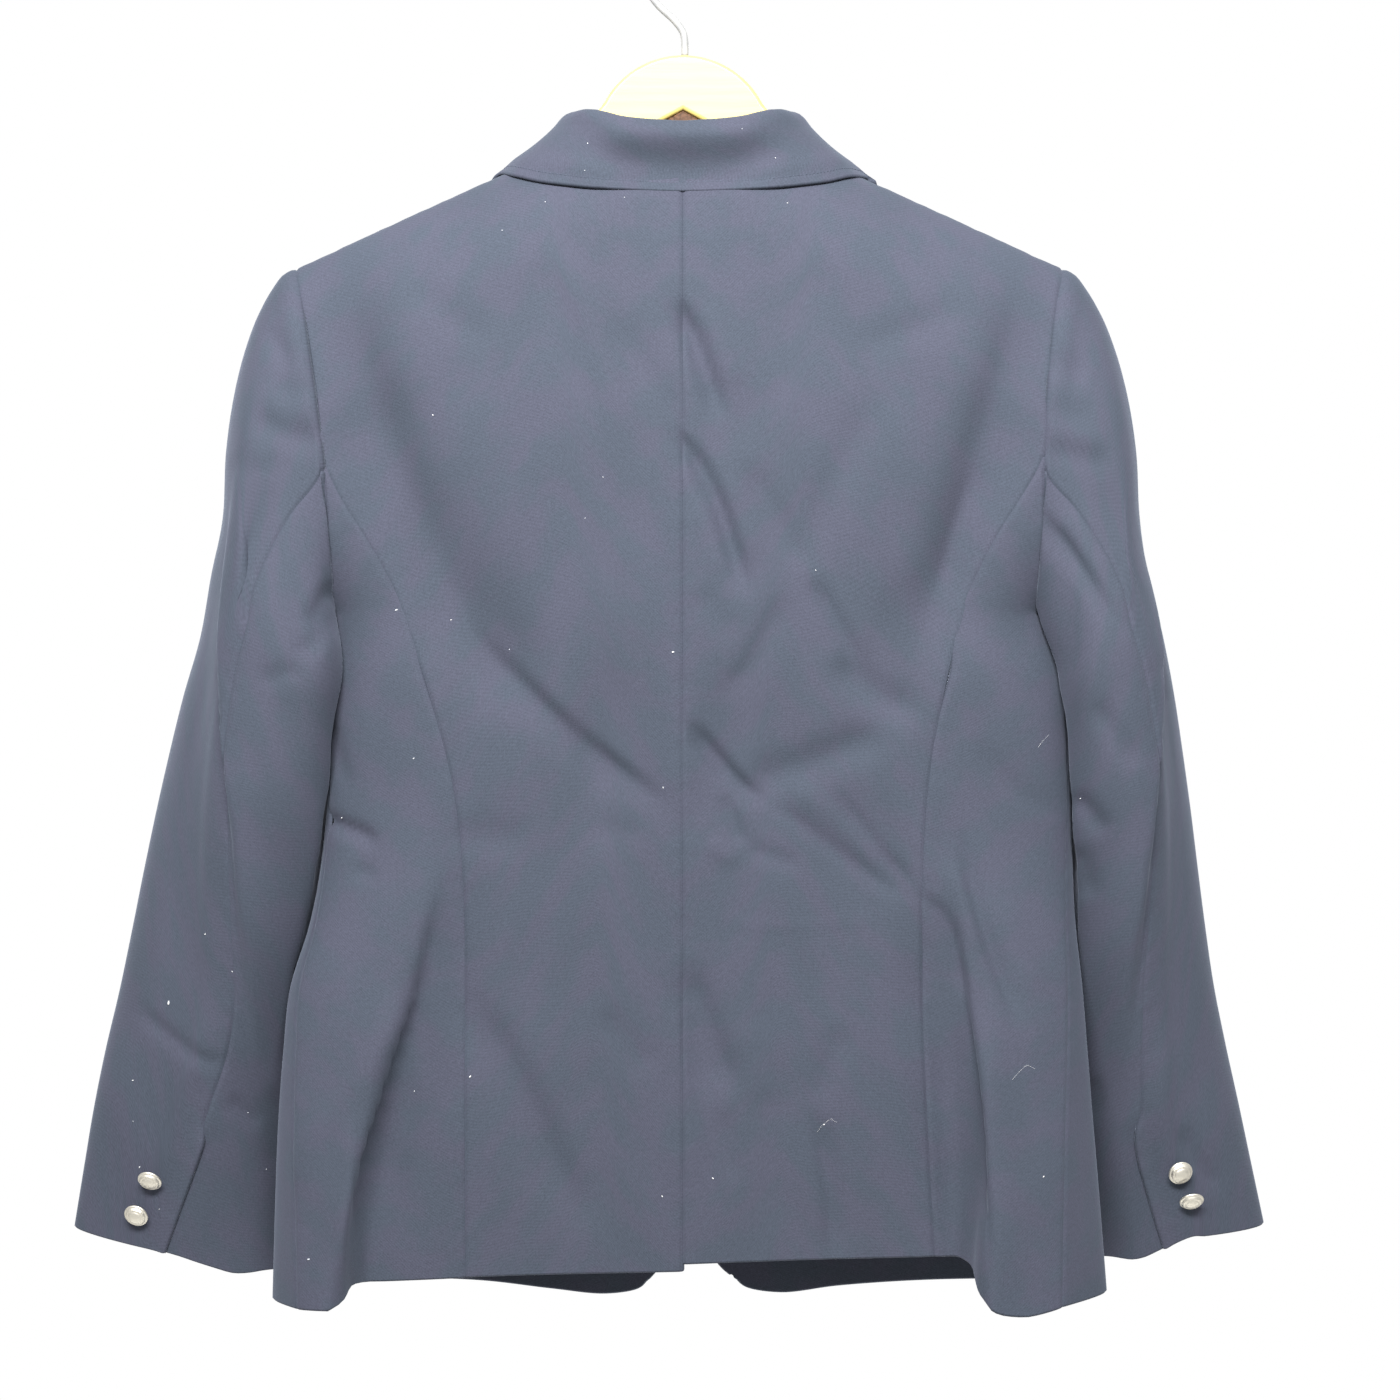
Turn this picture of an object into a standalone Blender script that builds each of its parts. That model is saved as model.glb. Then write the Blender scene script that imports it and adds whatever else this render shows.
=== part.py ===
"""A school blazer hanging on a plain wooden hanger.

The jacket is cut as a tailor cuts it: two backs, two side bodies, two fronts, two lapels, one collar
with its stand, and a top sleeve and an under sleeve on each side. Every piece is a thin wall of cloth
between seams. The pieces of the body lie on one surface, which is worked out from a short table of
level sections, and the sleeves are tubes that start in the armholes of that surface.

Sizes in the tables are millimetres. +Z is up, the fronts face -Y, and the wearer's left is at +X.
The origin is where the hanger's hook bears on its rail.
"""

import math

import bmesh
import bpy
import numpy as np
from mathutils import Vector

MM = 0.001
LEFT, RIGHT = 1, -1
SIDE_NAMES = {LEFT: "left", RIGHT: "right"}

# Cloth
WALL = 2.0            # shell cloth with its canvas and lining
SLEEVE_WALL = 1.8
COLLAR_WALL = 2.4     # two layers and interfacing
SEAM_GAP = 0.3        # between neighbouring pieces

# Mesh density: segments along each edge that two pieces share
BACK_ARMHOLE_STEPS = 7
PRINCESS_STEPS = 11
SIDE_STEPS = 14
FRONT_ARMHOLE_STEPS = 11
NECK_STEPS = 3
SHOULDER_STEPS = 4
FRONT_STEPS = 10
SLEEVE_CAP_STEPS = 6
SLEEVE_STEPS = 12
SIDE_ROUNDS = 30              # of evening out
ROLL_SPACING = 2.2            # crowds the rows towards the shoulder line, where the cloth rolls over

# Body: level sections of the closed jacket. Above the armpit the half widths come from the armhole.
SECTIONS = [
    # z      left   right  back   front  square
    (-90.0, 0.0, 0.0, 40.0, 33.0, 2.6),
    (-180.0, 0.0, 0.0, 49.0, 42.0, 2.6),
    (-290.0, 0.0, 0.0, 54.0, 50.0, 2.6),
    (-375.0, 196.0, 199.0, 53.0, 53.0, 2.6),
    (-417.0, 197.0, 213.0, 50.0, 52.0, 2.7),
    (-477.0, 199.0, 217.0, 46.0, 50.0, 2.8),
    (-534.0, 205.0, 218.0, 43.0, 49.0, 3.0),
    (-590.0, 219.0, 222.0, 42.0, 49.0, 3.3),
    (-660.0, 222.5, 225.0, 42.0, 50.0, 3.7),
    (-765.0, 223.5, 231.0, 42.0, 52.0, 4.0),
]
SECTION_COLUMNS = ("z", "left", "right", "back", "front", "square")

# Shoulder line, from the neck point down to the shoulder tip
NECK_POINT_X = 72.0
SHOULDER_TIP = {LEFT: 217.0, RIGHT: 212.5}
SHOULDER_TIP_Z = -181.0
SHOULDER_SLOPE = 0.46
SHOULDER_SOFTENING = 25.0     # rounds the line where its two halves meet above the neck
SHOULDER_ROLL = (45.0, 95.0)  # height over which the cloth rolls over the hanger: at the neck, at the tip

# Armhole, seen from behind
ARMPIT_Z = -375.0
ARMHOLE_MIDDLE_Z = -290.0
ARMHOLE_DEPTH_SHARE = 0.74    # how far the armhole stands back and front, as a share of the body's depth
FRONT_SCOOP = 7.0             # the front armhole is cut this much further in
ARMHOLE = [
    # z      left   right
    (-181.0, 217.0, 212.5),
    (-201.0, 212.5, 208.0),
    (-224.0, 208.3, 204.7),
    (-247.0, 204.5, 202.0),
    (-269.0, 201.3, 200.0),
    (-297.0, 197.6, 198.6),
    (-335.0, 196.0, 198.6),
    (-375.0, 196.0, 199.0),
]
ARMHOLE_COLUMNS = ("z", "left", "right")

# Princess seams, from the armhole down the back to the hem
PRINCESS = [
    # z      left   right
    (-287.5, 198.6, 199.0),
    (-314.0, 187.5, 184.5),
    (-352.0, 164.5, 162.5),
    (-401.0, 145.5, 147.0),
    (-455.0, 129.5, 137.0),
    (-510.0, 120.5, 131.0),
    (-586.0, 120.0, 132.0),
    (-745.0, 119.0, 139.0),
]
PRINCESS_BEND_Z = -395.0       # above it the seam curves, below it runs nearly straight
PRINCESS_BEND_SHARE = 0.4      # of the seam's steps that lie above the bend

# Side seams, as a share of the half width: just behind the widest point
SIDE_SEAM = [
    # z      left   right
    (-375.0, 1.000, 1.000),
    (-480.0, 0.990, 0.985),
    (-600.0, 0.960, 0.945),
    (-765.0, 0.930, 0.885),
]
SEAM_COLUMNS = ("z", "left", "right")

# Flares: below the waist the side bodies swing out behind the straight middle of the back
FLARES = [
    # z      in_left in_right rise_left rise_right blend kick
    (-500.0, 124.0, 130.0, 0.0, 0.0, 44.0, 0.0),
    (-560.0, 141.0, 145.0, 8.0, 9.0, 34.0, 2.0),
    (-620.0, 157.0, 154.0, 18.0, 21.0, 24.0, 3.0),
    (-690.0, 173.0, 156.0, 28.0, 31.0, 17.0, 4.5),
    (-755.0, 184.0, 158.0, 36.0, 40.0, 14.0, 5.0),
]
FLARE_COLUMNS = ("z", "in_left", "in_right", "rise_left", "rise_right", "blend", "kick")

# Hem height by the share of the way from centre back (0) to centre front (1)
HEM = [
    # share  left    right
    (0.000, -735.0, -731.0),
    (0.120, -737.0, -728.0),
    (0.196, -740.0, -727.0),
    (0.208, -740.5, -748.0),
    (0.222, -741.0, -753.0),
    (0.238, -742.0, -754.0),
    (0.250, -752.0, -753.0),
    (0.300, -753.0, -748.0),
    (0.500, -753.0, -748.0),
    (0.700, -753.0, -752.0),
    (0.800, -754.0, -755.0),
    (0.860, -757.0, -757.0),
    (0.920, -763.0, -763.0),
    (1.000, -765.0, -764.5),
    (1.100, -765.0, -764.5),
]
HEM_COLUMNS = ("share", "left", "right")

# Drag folds across the back: troughs where the cloth hangs slack, with the side they lie on
BACK_FOLDS = [
    # x1     z1      x2     z2      depth  width
    (168.0, -262.0, 92.0, -402.0, 5.0, 21.0),
    (92.0, -402.0, 12.0, -482.0, 4.5, 13.0),
    (-172.0, -270.0, -112.0, -400.0, 5.0, 20.0),
    (-18.0, -250.0, -52.0, -318.0, 2.5, 9.0),
    (-60.0, -452.0, -14.0, -436.0, 2.5, 12.0),
    (-14.0, -446.0, -120.0, -536.0, 3.0, 10.0),
]
FOLD_COLUMNS = ("x1", "z1", "x2", "z2", "depth", "width")

# Fronts
FRONT_OVERLAP = 18.0          # each front passes centre front by this much
LAYER_STEP = 3.0              # the under front lies this far inside the top one
LAPEL_CROSSING_STEP = 6.5     # and this much more where its lapel tucks in
LAPEL_CROSSING = (-300.0, -345.0, -400.0, -425.0)
LAYER_HEIGHTS = (-250.0, -310.0)     # the step starts below the first and is full below the second
LAYER_WIDTHS = (26.0, 64.0)          # full inside the first, gone beyond the second
BACK_NECK_Z = -131.0
FRONT_NECK = (71.0, -148.5)
ROLL_TOP = (66.0, -152.5)
BREAK_POINT_Z = -405.0
FRONT_EDGE_STRAIGHT_TO = -590.0
FRONT_CORNER = {LEFT: (22.0, -757.0), RIGHT: (31.0, -756.0)}
CORNER_ROUNDING = 18.0
CUTAWAY = [(0.05, -630.0), (0.17, -670.0), (0.36, -705.0), (0.60, -733.0), (0.80, -748.0)]

# Lapels and collar
GORGE_NOTCH = (100.5, -179.0)
LAPEL_PEAK = (125.0, -199.0)
LAPEL_BELLY = 6.0
ROLL_LIFT, EDGE_LIFT = 3.8, 2.4    # height of the turned cloth's middle over the front
LAPEL_COLUMNS, LAPEL_ROWS, ROLL_COLUMNS = 6, 11, 4

COLLAR = [
    # share  neck_x  neck_z   roll_x  roll_y  roll_z   edge_x  edge_z
    (0.000, 0.0, -131.0, 0.0, 46.5, -112.0, 0.0, -145.0),
    (0.200, 28.0, -128.5, 30.0, 44.0, -109.5, 45.0, -143.5),
    (0.400, 60.0, -120.5, 53.0, 27.0, -101.5, 82.5, -137.5),
    (0.550, 72.0, -116.2, 64.0, 4.0, -101.0, 103.5, -129.5),
    (0.750, 72.0, -131.0, 66.5, -20.0, -119.0, 112.5, -148.5),
    (1.000, 71.0, -148.0, 65.0, -37.5, -149.5, 121.0, -170.0),
]
COLLAR_COLUMNS = ("share", "neck_x", "neck_z", "roll_x", "roll_y", "roll_z", "edge_x", "edge_z")
COLLAR_SHOULDER_SHARE = 0.55
COLLAR_ROLL = (3.6, 2.5)       # radius of the fold at centre back and at the front end
COLLAR_NOTCH_SHARE = 0.62
COLLAR_LEAF_SHARES = (0.0, 0.2, 0.41, COLLAR_NOTCH_SHARE, 0.81, 1.0)
COLLAR_STEPS = 13
COLLAR_BACK_LIFT = 3.6
STAND_GAP = 0.7
ROLL_GAP = 0.5

# Sleeves: level sections. outer, inner and the seams are distances from the middle of the body. Each
# section leans inwards at the back, and beyond a ridge its far half drops away from the near half.
SLEEVES = {
    LEFT: [
        # z       outer  inner  y      deep  lean  tilt  hind   ridge  drop  sag
        (-318.0, 259.0, 197.0, -1.0, 55.0, 8.0, 0.00, 214.0, 246.0, 2.0, 0.00),
        (-350.0, 268.0, 193.0, -3.0, 57.0, 16.0, 0.01, 226.0, 250.0, 6.0, 0.00),
        (-383.0, 275.5, 190.0, -5.0, 57.0, 22.0, 0.02, 236.5, 252.0, 11.0, 0.00),
        (-430.0, 289.0, 192.0, -9.0, 54.0, 24.0, 0.05, 245.5, 252.0, 14.0, 0.00),
        (-480.0, 300.0, 195.0, -14.0, 50.0, 18.0, 0.08, 251.0, 251.5, 16.0, 0.00),
        (-520.0, 308.0, 198.0, -20.0, 46.0, 12.0, 0.10, 251.0, 251.0, 15.0, 0.00),
        (-590.0, 321.5, 212.0, -32.0, 42.0, 4.0, 0.15, 250.0, 250.0, 9.0, 0.00),
        (-655.0, 335.5, 222.0, -40.0, 36.0, 0.0, 0.19, 268.0, 262.0, 3.0, 0.05),
        (-737.0, 349.5, 228.0, -46.0, 24.0, 0.0, 0.21, 297.0, 285.0, 0.0, 0.13),
    ],
    RIGHT: [
        (-318.0, 256.5, 197.5, -1.0, 55.0, 6.0, 0.00, 218.0, 250.0, 2.0, 0.00),
        (-350.0, 263.0, 199.0, -3.0, 57.0, 12.0, 0.01, 232.0, 253.0, 4.0, 0.00),
        (-383.0, 272.0, 203.0, -5.0, 56.0, 14.0, 0.02, 243.0, 257.0, 7.0, 0.00),
        (-430.0, 281.5, 211.0, -9.0, 54.0, 14.0, 0.05, 252.5, 259.5, 10.0, 0.00),
        (-480.0, 288.0, 210.0, -14.0, 50.0, 8.0, 0.08, 259.5, 260.0, 12.0, 0.00),
        (-520.0, 293.0, 211.0, -20.0, 47.0, 4.0, 0.10, 259.5, 259.5, 12.0, 0.00),
        (-590.0, 303.0, 216.0, -32.0, 43.0, 0.0, 0.14, 256.5, 256.5, 9.0, 0.00),
        (-655.0, 317.0, 224.0, -40.0, 38.0, 0.0, 0.13, 256.5, 257.0, 3.0, 0.15),
        (-727.0, 333.0, 236.5, -46.0, 28.0, 0.0, 0.10, 275.0, 270.0, 0.0, 0.38),
    ],
}
SLEEVE_COLUMNS = ("z", "outer", "inner", "y", "deep", "lean", "tilt", "hind", "ridge", "drop", "sag")
FORE_SEAM_SHARE = 0.30         # of the way from a sleeve's inner edge to its outer edge, in front
CUFF_CURL = 9.0                # the hem rises this much at the inner edge
CUFF_CURL_HEIGHTS = (-640.0, -730.0)
SLEEVE_CLEARANCE = 3.0         # between a sleeve and the side of the body it hangs against
HIND_SEAM_POINT = 8            # counted round the armhole from the shoulder tip, back first
FORE_SEAM_POINT = 24
UNDER_ARM_LEVEL = -414.0       # the sleeve's head ends here under the arm, and at its first section outside
HEAD_LEAVES = (0.69, 0.27)     # out and down, at the shoulder tip
UNDER_ARM_LEAVES = (0.45, 0.90)
HEAD_PULL = ((0.30, 0.30), (0.16, 0.50))  # at the armhole and the arm: first under the arm, then at the tip

# Buttons: a dome on a shank. x is the distance from the middle, tilt the angle it droops by.
BUTTON_PROFILE = [
    # share of the radius, height over the back
    (0.99, 0.6), (0.93, 1.6), (0.80, 2.7), (0.58, 3.6), (0.30, 4.1),
]
BUTTON_SIDES = 16
SHANK_RADIUS = 1.6
SHANK_LENGTH = 3.4
CUFF_BUTTON = 14.0
CUFF_BUTTONS = {
    # x      z       tilt
    LEFT: [(299.5, -691.0, 30.0), (308.0, -712.0, 20.0)],
    RIGHT: [(278.5, -687.0, 12.0), (285.5, -701.5, 38.0)],
}
FRONT_BUTTON = 20.0
FRONT_BUTTONS_Z = (-432.0, -520.0)

# Hanger: half outline of the board. Past the neck its top edge follows the shoulder line.
BOARD_THICKNESS = 14.0
BOARD_BEVEL = 2.5
BOARD_CLEARANCE = 3.1
BOARD_DROP = 1.4               # more towards the end, where the cloth rolls over more tightly
BOARD_DROP_X = (140.0, 190.0)
DOME_PEAK_Z = -62.7
DOME_RADIUS = 50.0
DOME_STEPS = 6
DOME_END = 62.0                # degrees from the peak
BOARD_NECK = [(52.5, -99.5), (59.0, -110.5), (65.0, -119.8)]
BOARD_TOP_X = (76.0, 106.0, 140.0, 174.0, 196.0)
BOARD_END_X = 203.0
BOARD_HEIGHT = (27.0, 16.0)    # below the neck, at the end
BOARD_NOTCH = [(0.0, -93.5), (22.0, -106.0)]
HOOK_WIRE = 4.0
HOOK_RADIUS = 20.5             # to the middle of the wire
HOOK_END = 205.0               # degrees, past the top, where the tip stops
HOOK_JOIN = -42.0              # degrees, where the stem runs into the loop
HOOK_STEM = [(-1.0, -62.2), (-1.0, -56.0), (-0.4, -50.5), (2.6, -45.0)]
HOOK_STEPS = 26
HOOK_SIDES = 10

# Colours, linear
NAVY = (0.082, 0.098, 0.135)
NICKEL = (0.62, 0.59, 0.53)
PALE_WOOD = (0.87, 0.78, 0.60)
WHITE_WIRE = (0.85, 0.85, 0.84)


# ---------------------------------------------------------------------------------------------------
# Small mathematics
# ---------------------------------------------------------------------------------------------------

def clamp(value, low=0.0, high=1.0):
    return max(low, min(high, value))


def mix(a, b, t):
    return a + (b - a) * t


def ease(t):
    t = clamp(t)
    return t * t * (3.0 - 2.0 * t)


def unit(vector):
    return vector / max(float(np.linalg.norm(vector)), 1e-12)


def read(table, columns, name, at):
    """A column's value at a place between rows, on a smooth curve that never overshoots its rows."""
    k = columns.index(name)
    rows = table if table[0][0] < table[-1][0] else table[::-1]
    xs = [row[0] for row in rows]
    ys = [row[k] for row in rows]
    if at <= xs[0]:
        return ys[0]
    if at >= xs[-1]:
        return ys[-1]
    i = next(n for n in range(len(xs) - 1) if at <= xs[n + 1])

    def slope(n):
        if n <= 0 or n >= len(xs) - 1:
            m = max(0, min(len(xs) - 2, n if n <= 0 else n - 1))
            return (ys[m + 1] - ys[m]) / (xs[m + 1] - xs[m])
        before = (ys[n] - ys[n - 1]) / (xs[n] - xs[n - 1])
        after = (ys[n + 1] - ys[n]) / (xs[n + 1] - xs[n])
        if before * after <= 0.0:
            return 0.0
        return 2.0 * before * after / (before + after)

    step = xs[i + 1] - xs[i]
    t = (at - xs[i]) / step
    a, b = slope(i) * step, slope(i + 1) * step
    return (
        ys[i] * (1 + 2 * t) * (1 - t) ** 2
        + a * t * (1 - t) ** 2
        + ys[i + 1] * t * t * (3 - 2 * t)
        - b * t * t * (1 - t)
    )


def smooth_line(points, steps):
    """Points evenly spaced along a soft curve through the given ones."""
    points = [np.array(p, float) for p in points]
    lengths = [0.0]
    for a, b in zip(points, points[1:]):
        lengths.append(lengths[-1] + float(np.linalg.norm(b - a)))
    columns = ("at",) + tuple(f"c{k}" for k in range(len(points[0])))
    table = [(s, *p) for s, p in zip(lengths, points)]
    return [
        np.array([read(table, columns, c, lengths[-1] * n / steps) for c in columns[1:]])
        for n in range(steps + 1)
    ]


def fill(top, bottom, left, right):
    """Coons patch: a grid of parameter points from four edges that meet at the corners."""
    rows, columns = len(left) - 1, len(top) - 1

    def shares(edge):
        run = [0.0]
        for a, b in zip(edge, edge[1:]):
            run.append(run[-1] + max(float(np.linalg.norm(b - a)), 1e-9))
        return [s / run[-1] for s in run]

    across = [mix(a, b, 0.5) for a, b in zip(shares(top), shares(bottom))]
    down = [mix(a, b, 0.5) for a, b in zip(shares(left), shares(right))]
    grid = []
    for i in range(rows + 1):
        v = down[i]
        line = []
        for j in range(columns + 1):
            u = across[j]
            line.append(
                (1 - v) * top[j] + v * bottom[j] + (1 - u) * left[i] + u * right[i]
                - (1 - u) * (1 - v) * top[0] - u * (1 - v) * top[-1]
                - (1 - u) * v * bottom[0] - u * v * bottom[-1]
            )
        grid.append(line)
    return grid


def relax(grid, rounds):
    """Evens out the inside of a grid, so that no row crosses a curved edge."""
    for _ in range(rounds):
        for i in range(1, len(grid) - 1):
            for j in range(1, len(grid[0]) - 1):
                grid[i][j] = 0.25 * (grid[i - 1][j] + grid[i + 1][j] + grid[i][j - 1] + grid[i][j + 1])
    return grid


# ---------------------------------------------------------------------------------------------------
# The body's surface
# ---------------------------------------------------------------------------------------------------

def shoulder_z(side, x):
    """Height of the shoulder line at a distance from the middle."""
    reach = math.hypot(x, SHOULDER_SOFTENING)
    return SHOULDER_TIP_Z + SHOULDER_SLOPE * (SHOULDER_TIP[side] - reach)


def shoulder_roll(side, x):
    return mix(*SHOULDER_ROLL, clamp(abs(x) / SHOULDER_TIP[side]))


def armhole_x(side, z, front=False):
    x = read(ARMHOLE, ARMHOLE_COLUMNS, SIDE_NAMES[side], z)
    if front:
        x -= FRONT_SCOOP * math.sin(math.pi * clamp((z - ARMPIT_Z) / (SHOULDER_TIP_Z - ARMPIT_Z)))
    return x


def half_width(side, z):
    """Half width of the closed body. Above the armpit it is the width at which the surface passes
    through the armhole's edge."""
    if z <= ARMPIT_Z:
        return read(SECTIONS, SECTION_COLUMNS, SIDE_NAMES[side], z)
    square = read(SECTIONS, SECTION_COLUMNS, "square", z)
    below = clamp((ARMHOLE_MIDDLE_Z - z) / (ARMHOLE_MIDDLE_Z - ARMPIT_Z))
    share = ARMHOLE_DEPTH_SHARE * math.sqrt(1.0 - below * below)
    return armhole_x(side, z) / (1.0 - share**square) ** (1.0 / square)


def angle_of(side, x, z, front=False):
    """Angle round the body, from centre back, of the point at this width and height."""
    square = read(SECTIONS, SECTION_COLUMNS, "square", z)
    share = clamp(abs(x) / half_width(side, z), 0.0, 1.0)
    depth = (1.0 - share**square) ** (1.0 / square)
    angle = math.atan2(share, depth)
    if x < 0.0:
        angle = -angle
    return math.pi - angle if front else angle


def back_fold(x, z):
    """Depth of the drag folds at a place on the back."""
    total = 0.0
    for row in BACK_FOLDS:
        f = dict(zip(FOLD_COLUMNS, row))
        run = np.array([f["x2"] - f["x1"], f["z2"] - f["z1"]])
        length = float(np.linalg.norm(run))
        along = float(np.dot([x - f["x1"], z - f["z1"]], run)) / length
        off = float((x - f["x1"]) * run[1] - (z - f["z1"]) * run[0]) / length
        starts = ease((along + f["width"]) / (2 * f["width"]))
        ends = ease((length + f["width"] - along) / (2 * f["width"]))
        total += f["depth"] * starts * ends * math.exp(-((off / f["width"]) ** 2))
    return total


def body_point(side, angle, drop=None, z=None):
    """A point of the body. angle runs from centre back (0) by the side to centre front (pi).
    Its height is z, or the drop below the shoulder line."""
    level = z if z is not None else shoulder_z(side, 0.0) - drop
    for _ in range(3):
        square = read(SECTIONS, SECTION_COLUMNS, "square", level)
        s, c = math.sin(angle), math.cos(angle)
        size = (abs(s) ** square + abs(c) ** square) ** (-1.0 / square)
        x = half_width(side, level) * s * size
        line = shoulder_z(side, x)
        if z is not None:
            break
        level = line - drop
    depth_share = c * size
    below = clamp((line - level) / shoulder_roll(side, x))
    roll = math.sqrt(1.0 - (1.0 - below) ** 2)
    if depth_share >= 0.0:
        depth = read(SECTIONS, SECTION_COLUMNS, "back", level)
        inner = read(FLARES, FLARE_COLUMNS, "in_" + SIDE_NAMES[side], level)
        rise = read(FLARES, FLARE_COLUMNS, "rise_" + SIDE_NAMES[side], level)
        blend = read(FLARES, FLARE_COLUMNS, "blend", level)
        depth += rise * ease((x - inner) / blend + 0.5)
        x += read(FLARES, FLARE_COLUMNS, "kick", level) * math.sin(math.pi * ease(depth_share / 0.9)) * s
        y = depth * depth_share * roll
        y -= back_fold(side * x, level) * ease(depth_share / 0.45) * ease((line - level) / 40.0)
    else:
        depth = read(SECTIONS, SECTION_COLUMNS, "front", level)
        y = depth * depth_share * roll
        y += layer_step(side, x, level)
    return np.array([side * x, y, level])


def layer_step(side, x, z):
    """How far inside the top front the under front lies. The wearer's right front is on top."""
    if side == RIGHT:
        return 0.0
    top, upper, lower, bottom = LAPEL_CROSSING
    crossing = ease((z - bottom) / (lower - bottom)) * ease((z - top) / (upper - top))
    start = ease((LAYER_HEIGHTS[0] - z) / (LAYER_HEIGHTS[0] - LAYER_HEIGHTS[1]))
    near = ease((LAYER_WIDTHS[1] - x) / (LAYER_WIDTHS[1] - LAYER_WIDTHS[0]))
    return near * start * (LAYER_STEP + LAPEL_CROSSING_STEP * crossing)


def body_normal(side, angle, z):
    """Outward normal, from neighbouring points at the same drop below the shoulder line."""
    x = side * body_point(side, angle, z=z)[0]
    drop = max(shoulder_z(side, x) - z, 0.0)
    turn, fall = 0.004, 0.02 + 0.2 * ease(drop / 30.0)
    low = max(drop - fall, 0.0)
    around = body_point(side, angle + turn, drop=drop) - body_point(side, angle - turn, drop=drop)
    down = body_point(side, angle, drop=drop + fall) - body_point(side, angle, drop=low)
    return side * unit(np.cross(around, down))


def on_body(side, x, z, front=False, lift=0.0):
    """The body's surface at a width and height, moved out by lift."""
    z = min(z, shoulder_z(side, x) - 0.001)
    angle = angle_of(side, x, z, front)
    point = body_point(side, angle, z=z)
    if lift:
        point = point + lift * body_normal(side, angle, z)
    return point


# ---------------------------------------------------------------------------------------------------
# Seam lines, as (angle, z) on the body
# ---------------------------------------------------------------------------------------------------

def line_at(side, x, z, front=False):
    return np.array([angle_of(side, x, z, front), z])


def neck_points(side):
    """The back neck, from centre back to the neck point."""
    points = []
    for n in range(NECK_STEPS + 1):
        share = math.sin(0.5 * math.pi * n / NECK_STEPS)
        x = NECK_POINT_X * share
        z = mix(BACK_NECK_Z, shoulder_z(side, NECK_POINT_X), share**2.4)
        points.append(line_at(side, x, min(z, shoulder_z(side, x))))
    return points


def shoulder_points(side, front=False):
    """The shoulder seam, from the neck point to the tip."""
    points = []
    for n in range(SHOULDER_STEPS + 1):
        x = mix(NECK_POINT_X, SHOULDER_TIP[side], n / SHOULDER_STEPS)
        points.append(line_at(side, x, shoulder_z(side, x), front))
    return points


def back_armhole_points(side):
    """From the shoulder tip down to where the princess seam starts."""
    tip, end = shoulder_z(side, SHOULDER_TIP[side]), PRINCESS[0][0]
    points = []
    for n in range(BACK_ARMHOLE_STEPS + 1):
        z = mix(tip, end, (n / BACK_ARMHOLE_STEPS) ** ROLL_SPACING)
        points.append(line_at(side, armhole_x(side, z), z))
    return points


def princess_points(side):
    top = PRINCESS[0][0]
    foot_x = read(PRINCESS, SEAM_COLUMNS, SIDE_NAMES[side], PRINCESS[-1][0])
    foot = hem_z(side, angle_of(side, foot_x, HEM[0][1]))
    points = []
    for n in range(PRINCESS_STEPS + 1):
        share = n / PRINCESS_STEPS
        if share < PRINCESS_BEND_SHARE:
            z = mix(top, PRINCESS_BEND_Z, share / PRINCESS_BEND_SHARE)
        else:
            z = mix(PRINCESS_BEND_Z, foot, (share - PRINCESS_BEND_SHARE) / (1.0 - PRINCESS_BEND_SHARE))
        x = read(PRINCESS, SEAM_COLUMNS, SIDE_NAMES[side], z)
        points.append(line_at(side, min(x, armhole_x(side, z)) if z > ARMPIT_Z else x, z))
    return points


def under_arm_points(side):
    """The bottom of the armhole, from the princess seam round to the side seam."""
    points = []
    top = PRINCESS[0][0]
    for n in range(SIDE_STEPS + 1):
        share = n / SIDE_STEPS
        z = mix(top, ARMPIT_Z, math.sin(0.5 * math.pi * share))
        points.append(line_at(side, armhole_x(side, z), z))
    points[-1] = np.array([0.5 * math.pi, ARMPIT_Z])
    return points


def side_seam_points(side):
    points = []
    foot = hem_z(side, 0.4 * math.pi)
    for n in range(PRINCESS_STEPS + 1):
        z = mix(ARMPIT_Z, foot, n / PRINCESS_STEPS)
        share = read(SIDE_SEAM, SEAM_COLUMNS, SIDE_NAMES[side], z)
        points.append(line_at(side, share * half_width(side, z), z))
    points[0] = np.array([0.5 * math.pi, ARMPIT_Z])
    points[-1][1] = hem_z(side, points[-1][0])
    return points


def front_armhole_points(side):
    """From the shoulder tip down the front to the armpit."""
    tip = shoulder_z(side, SHOULDER_TIP[side])
    points = []
    for n in range(FRONT_ARMHOLE_STEPS + 1):
        z = mix(tip, ARMPIT_Z, (n / FRONT_ARMHOLE_STEPS) ** ROLL_SPACING)
        points.append(line_at(side, armhole_x(side, z, front=True), z, front=True))
    points[-1] = np.array([0.5 * math.pi, ARMPIT_Z])
    return points


def hem_z(side, angle):
    return read(HEM, HEM_COLUMNS, SIDE_NAMES[side], angle / math.pi)


def hem_points(side, first, last, steps):
    points = []
    for n in range(steps + 1):
        angle = mix(first, last, n / steps)
        points.append(np.array([angle, hem_z(side, angle)]))
    return points


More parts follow.
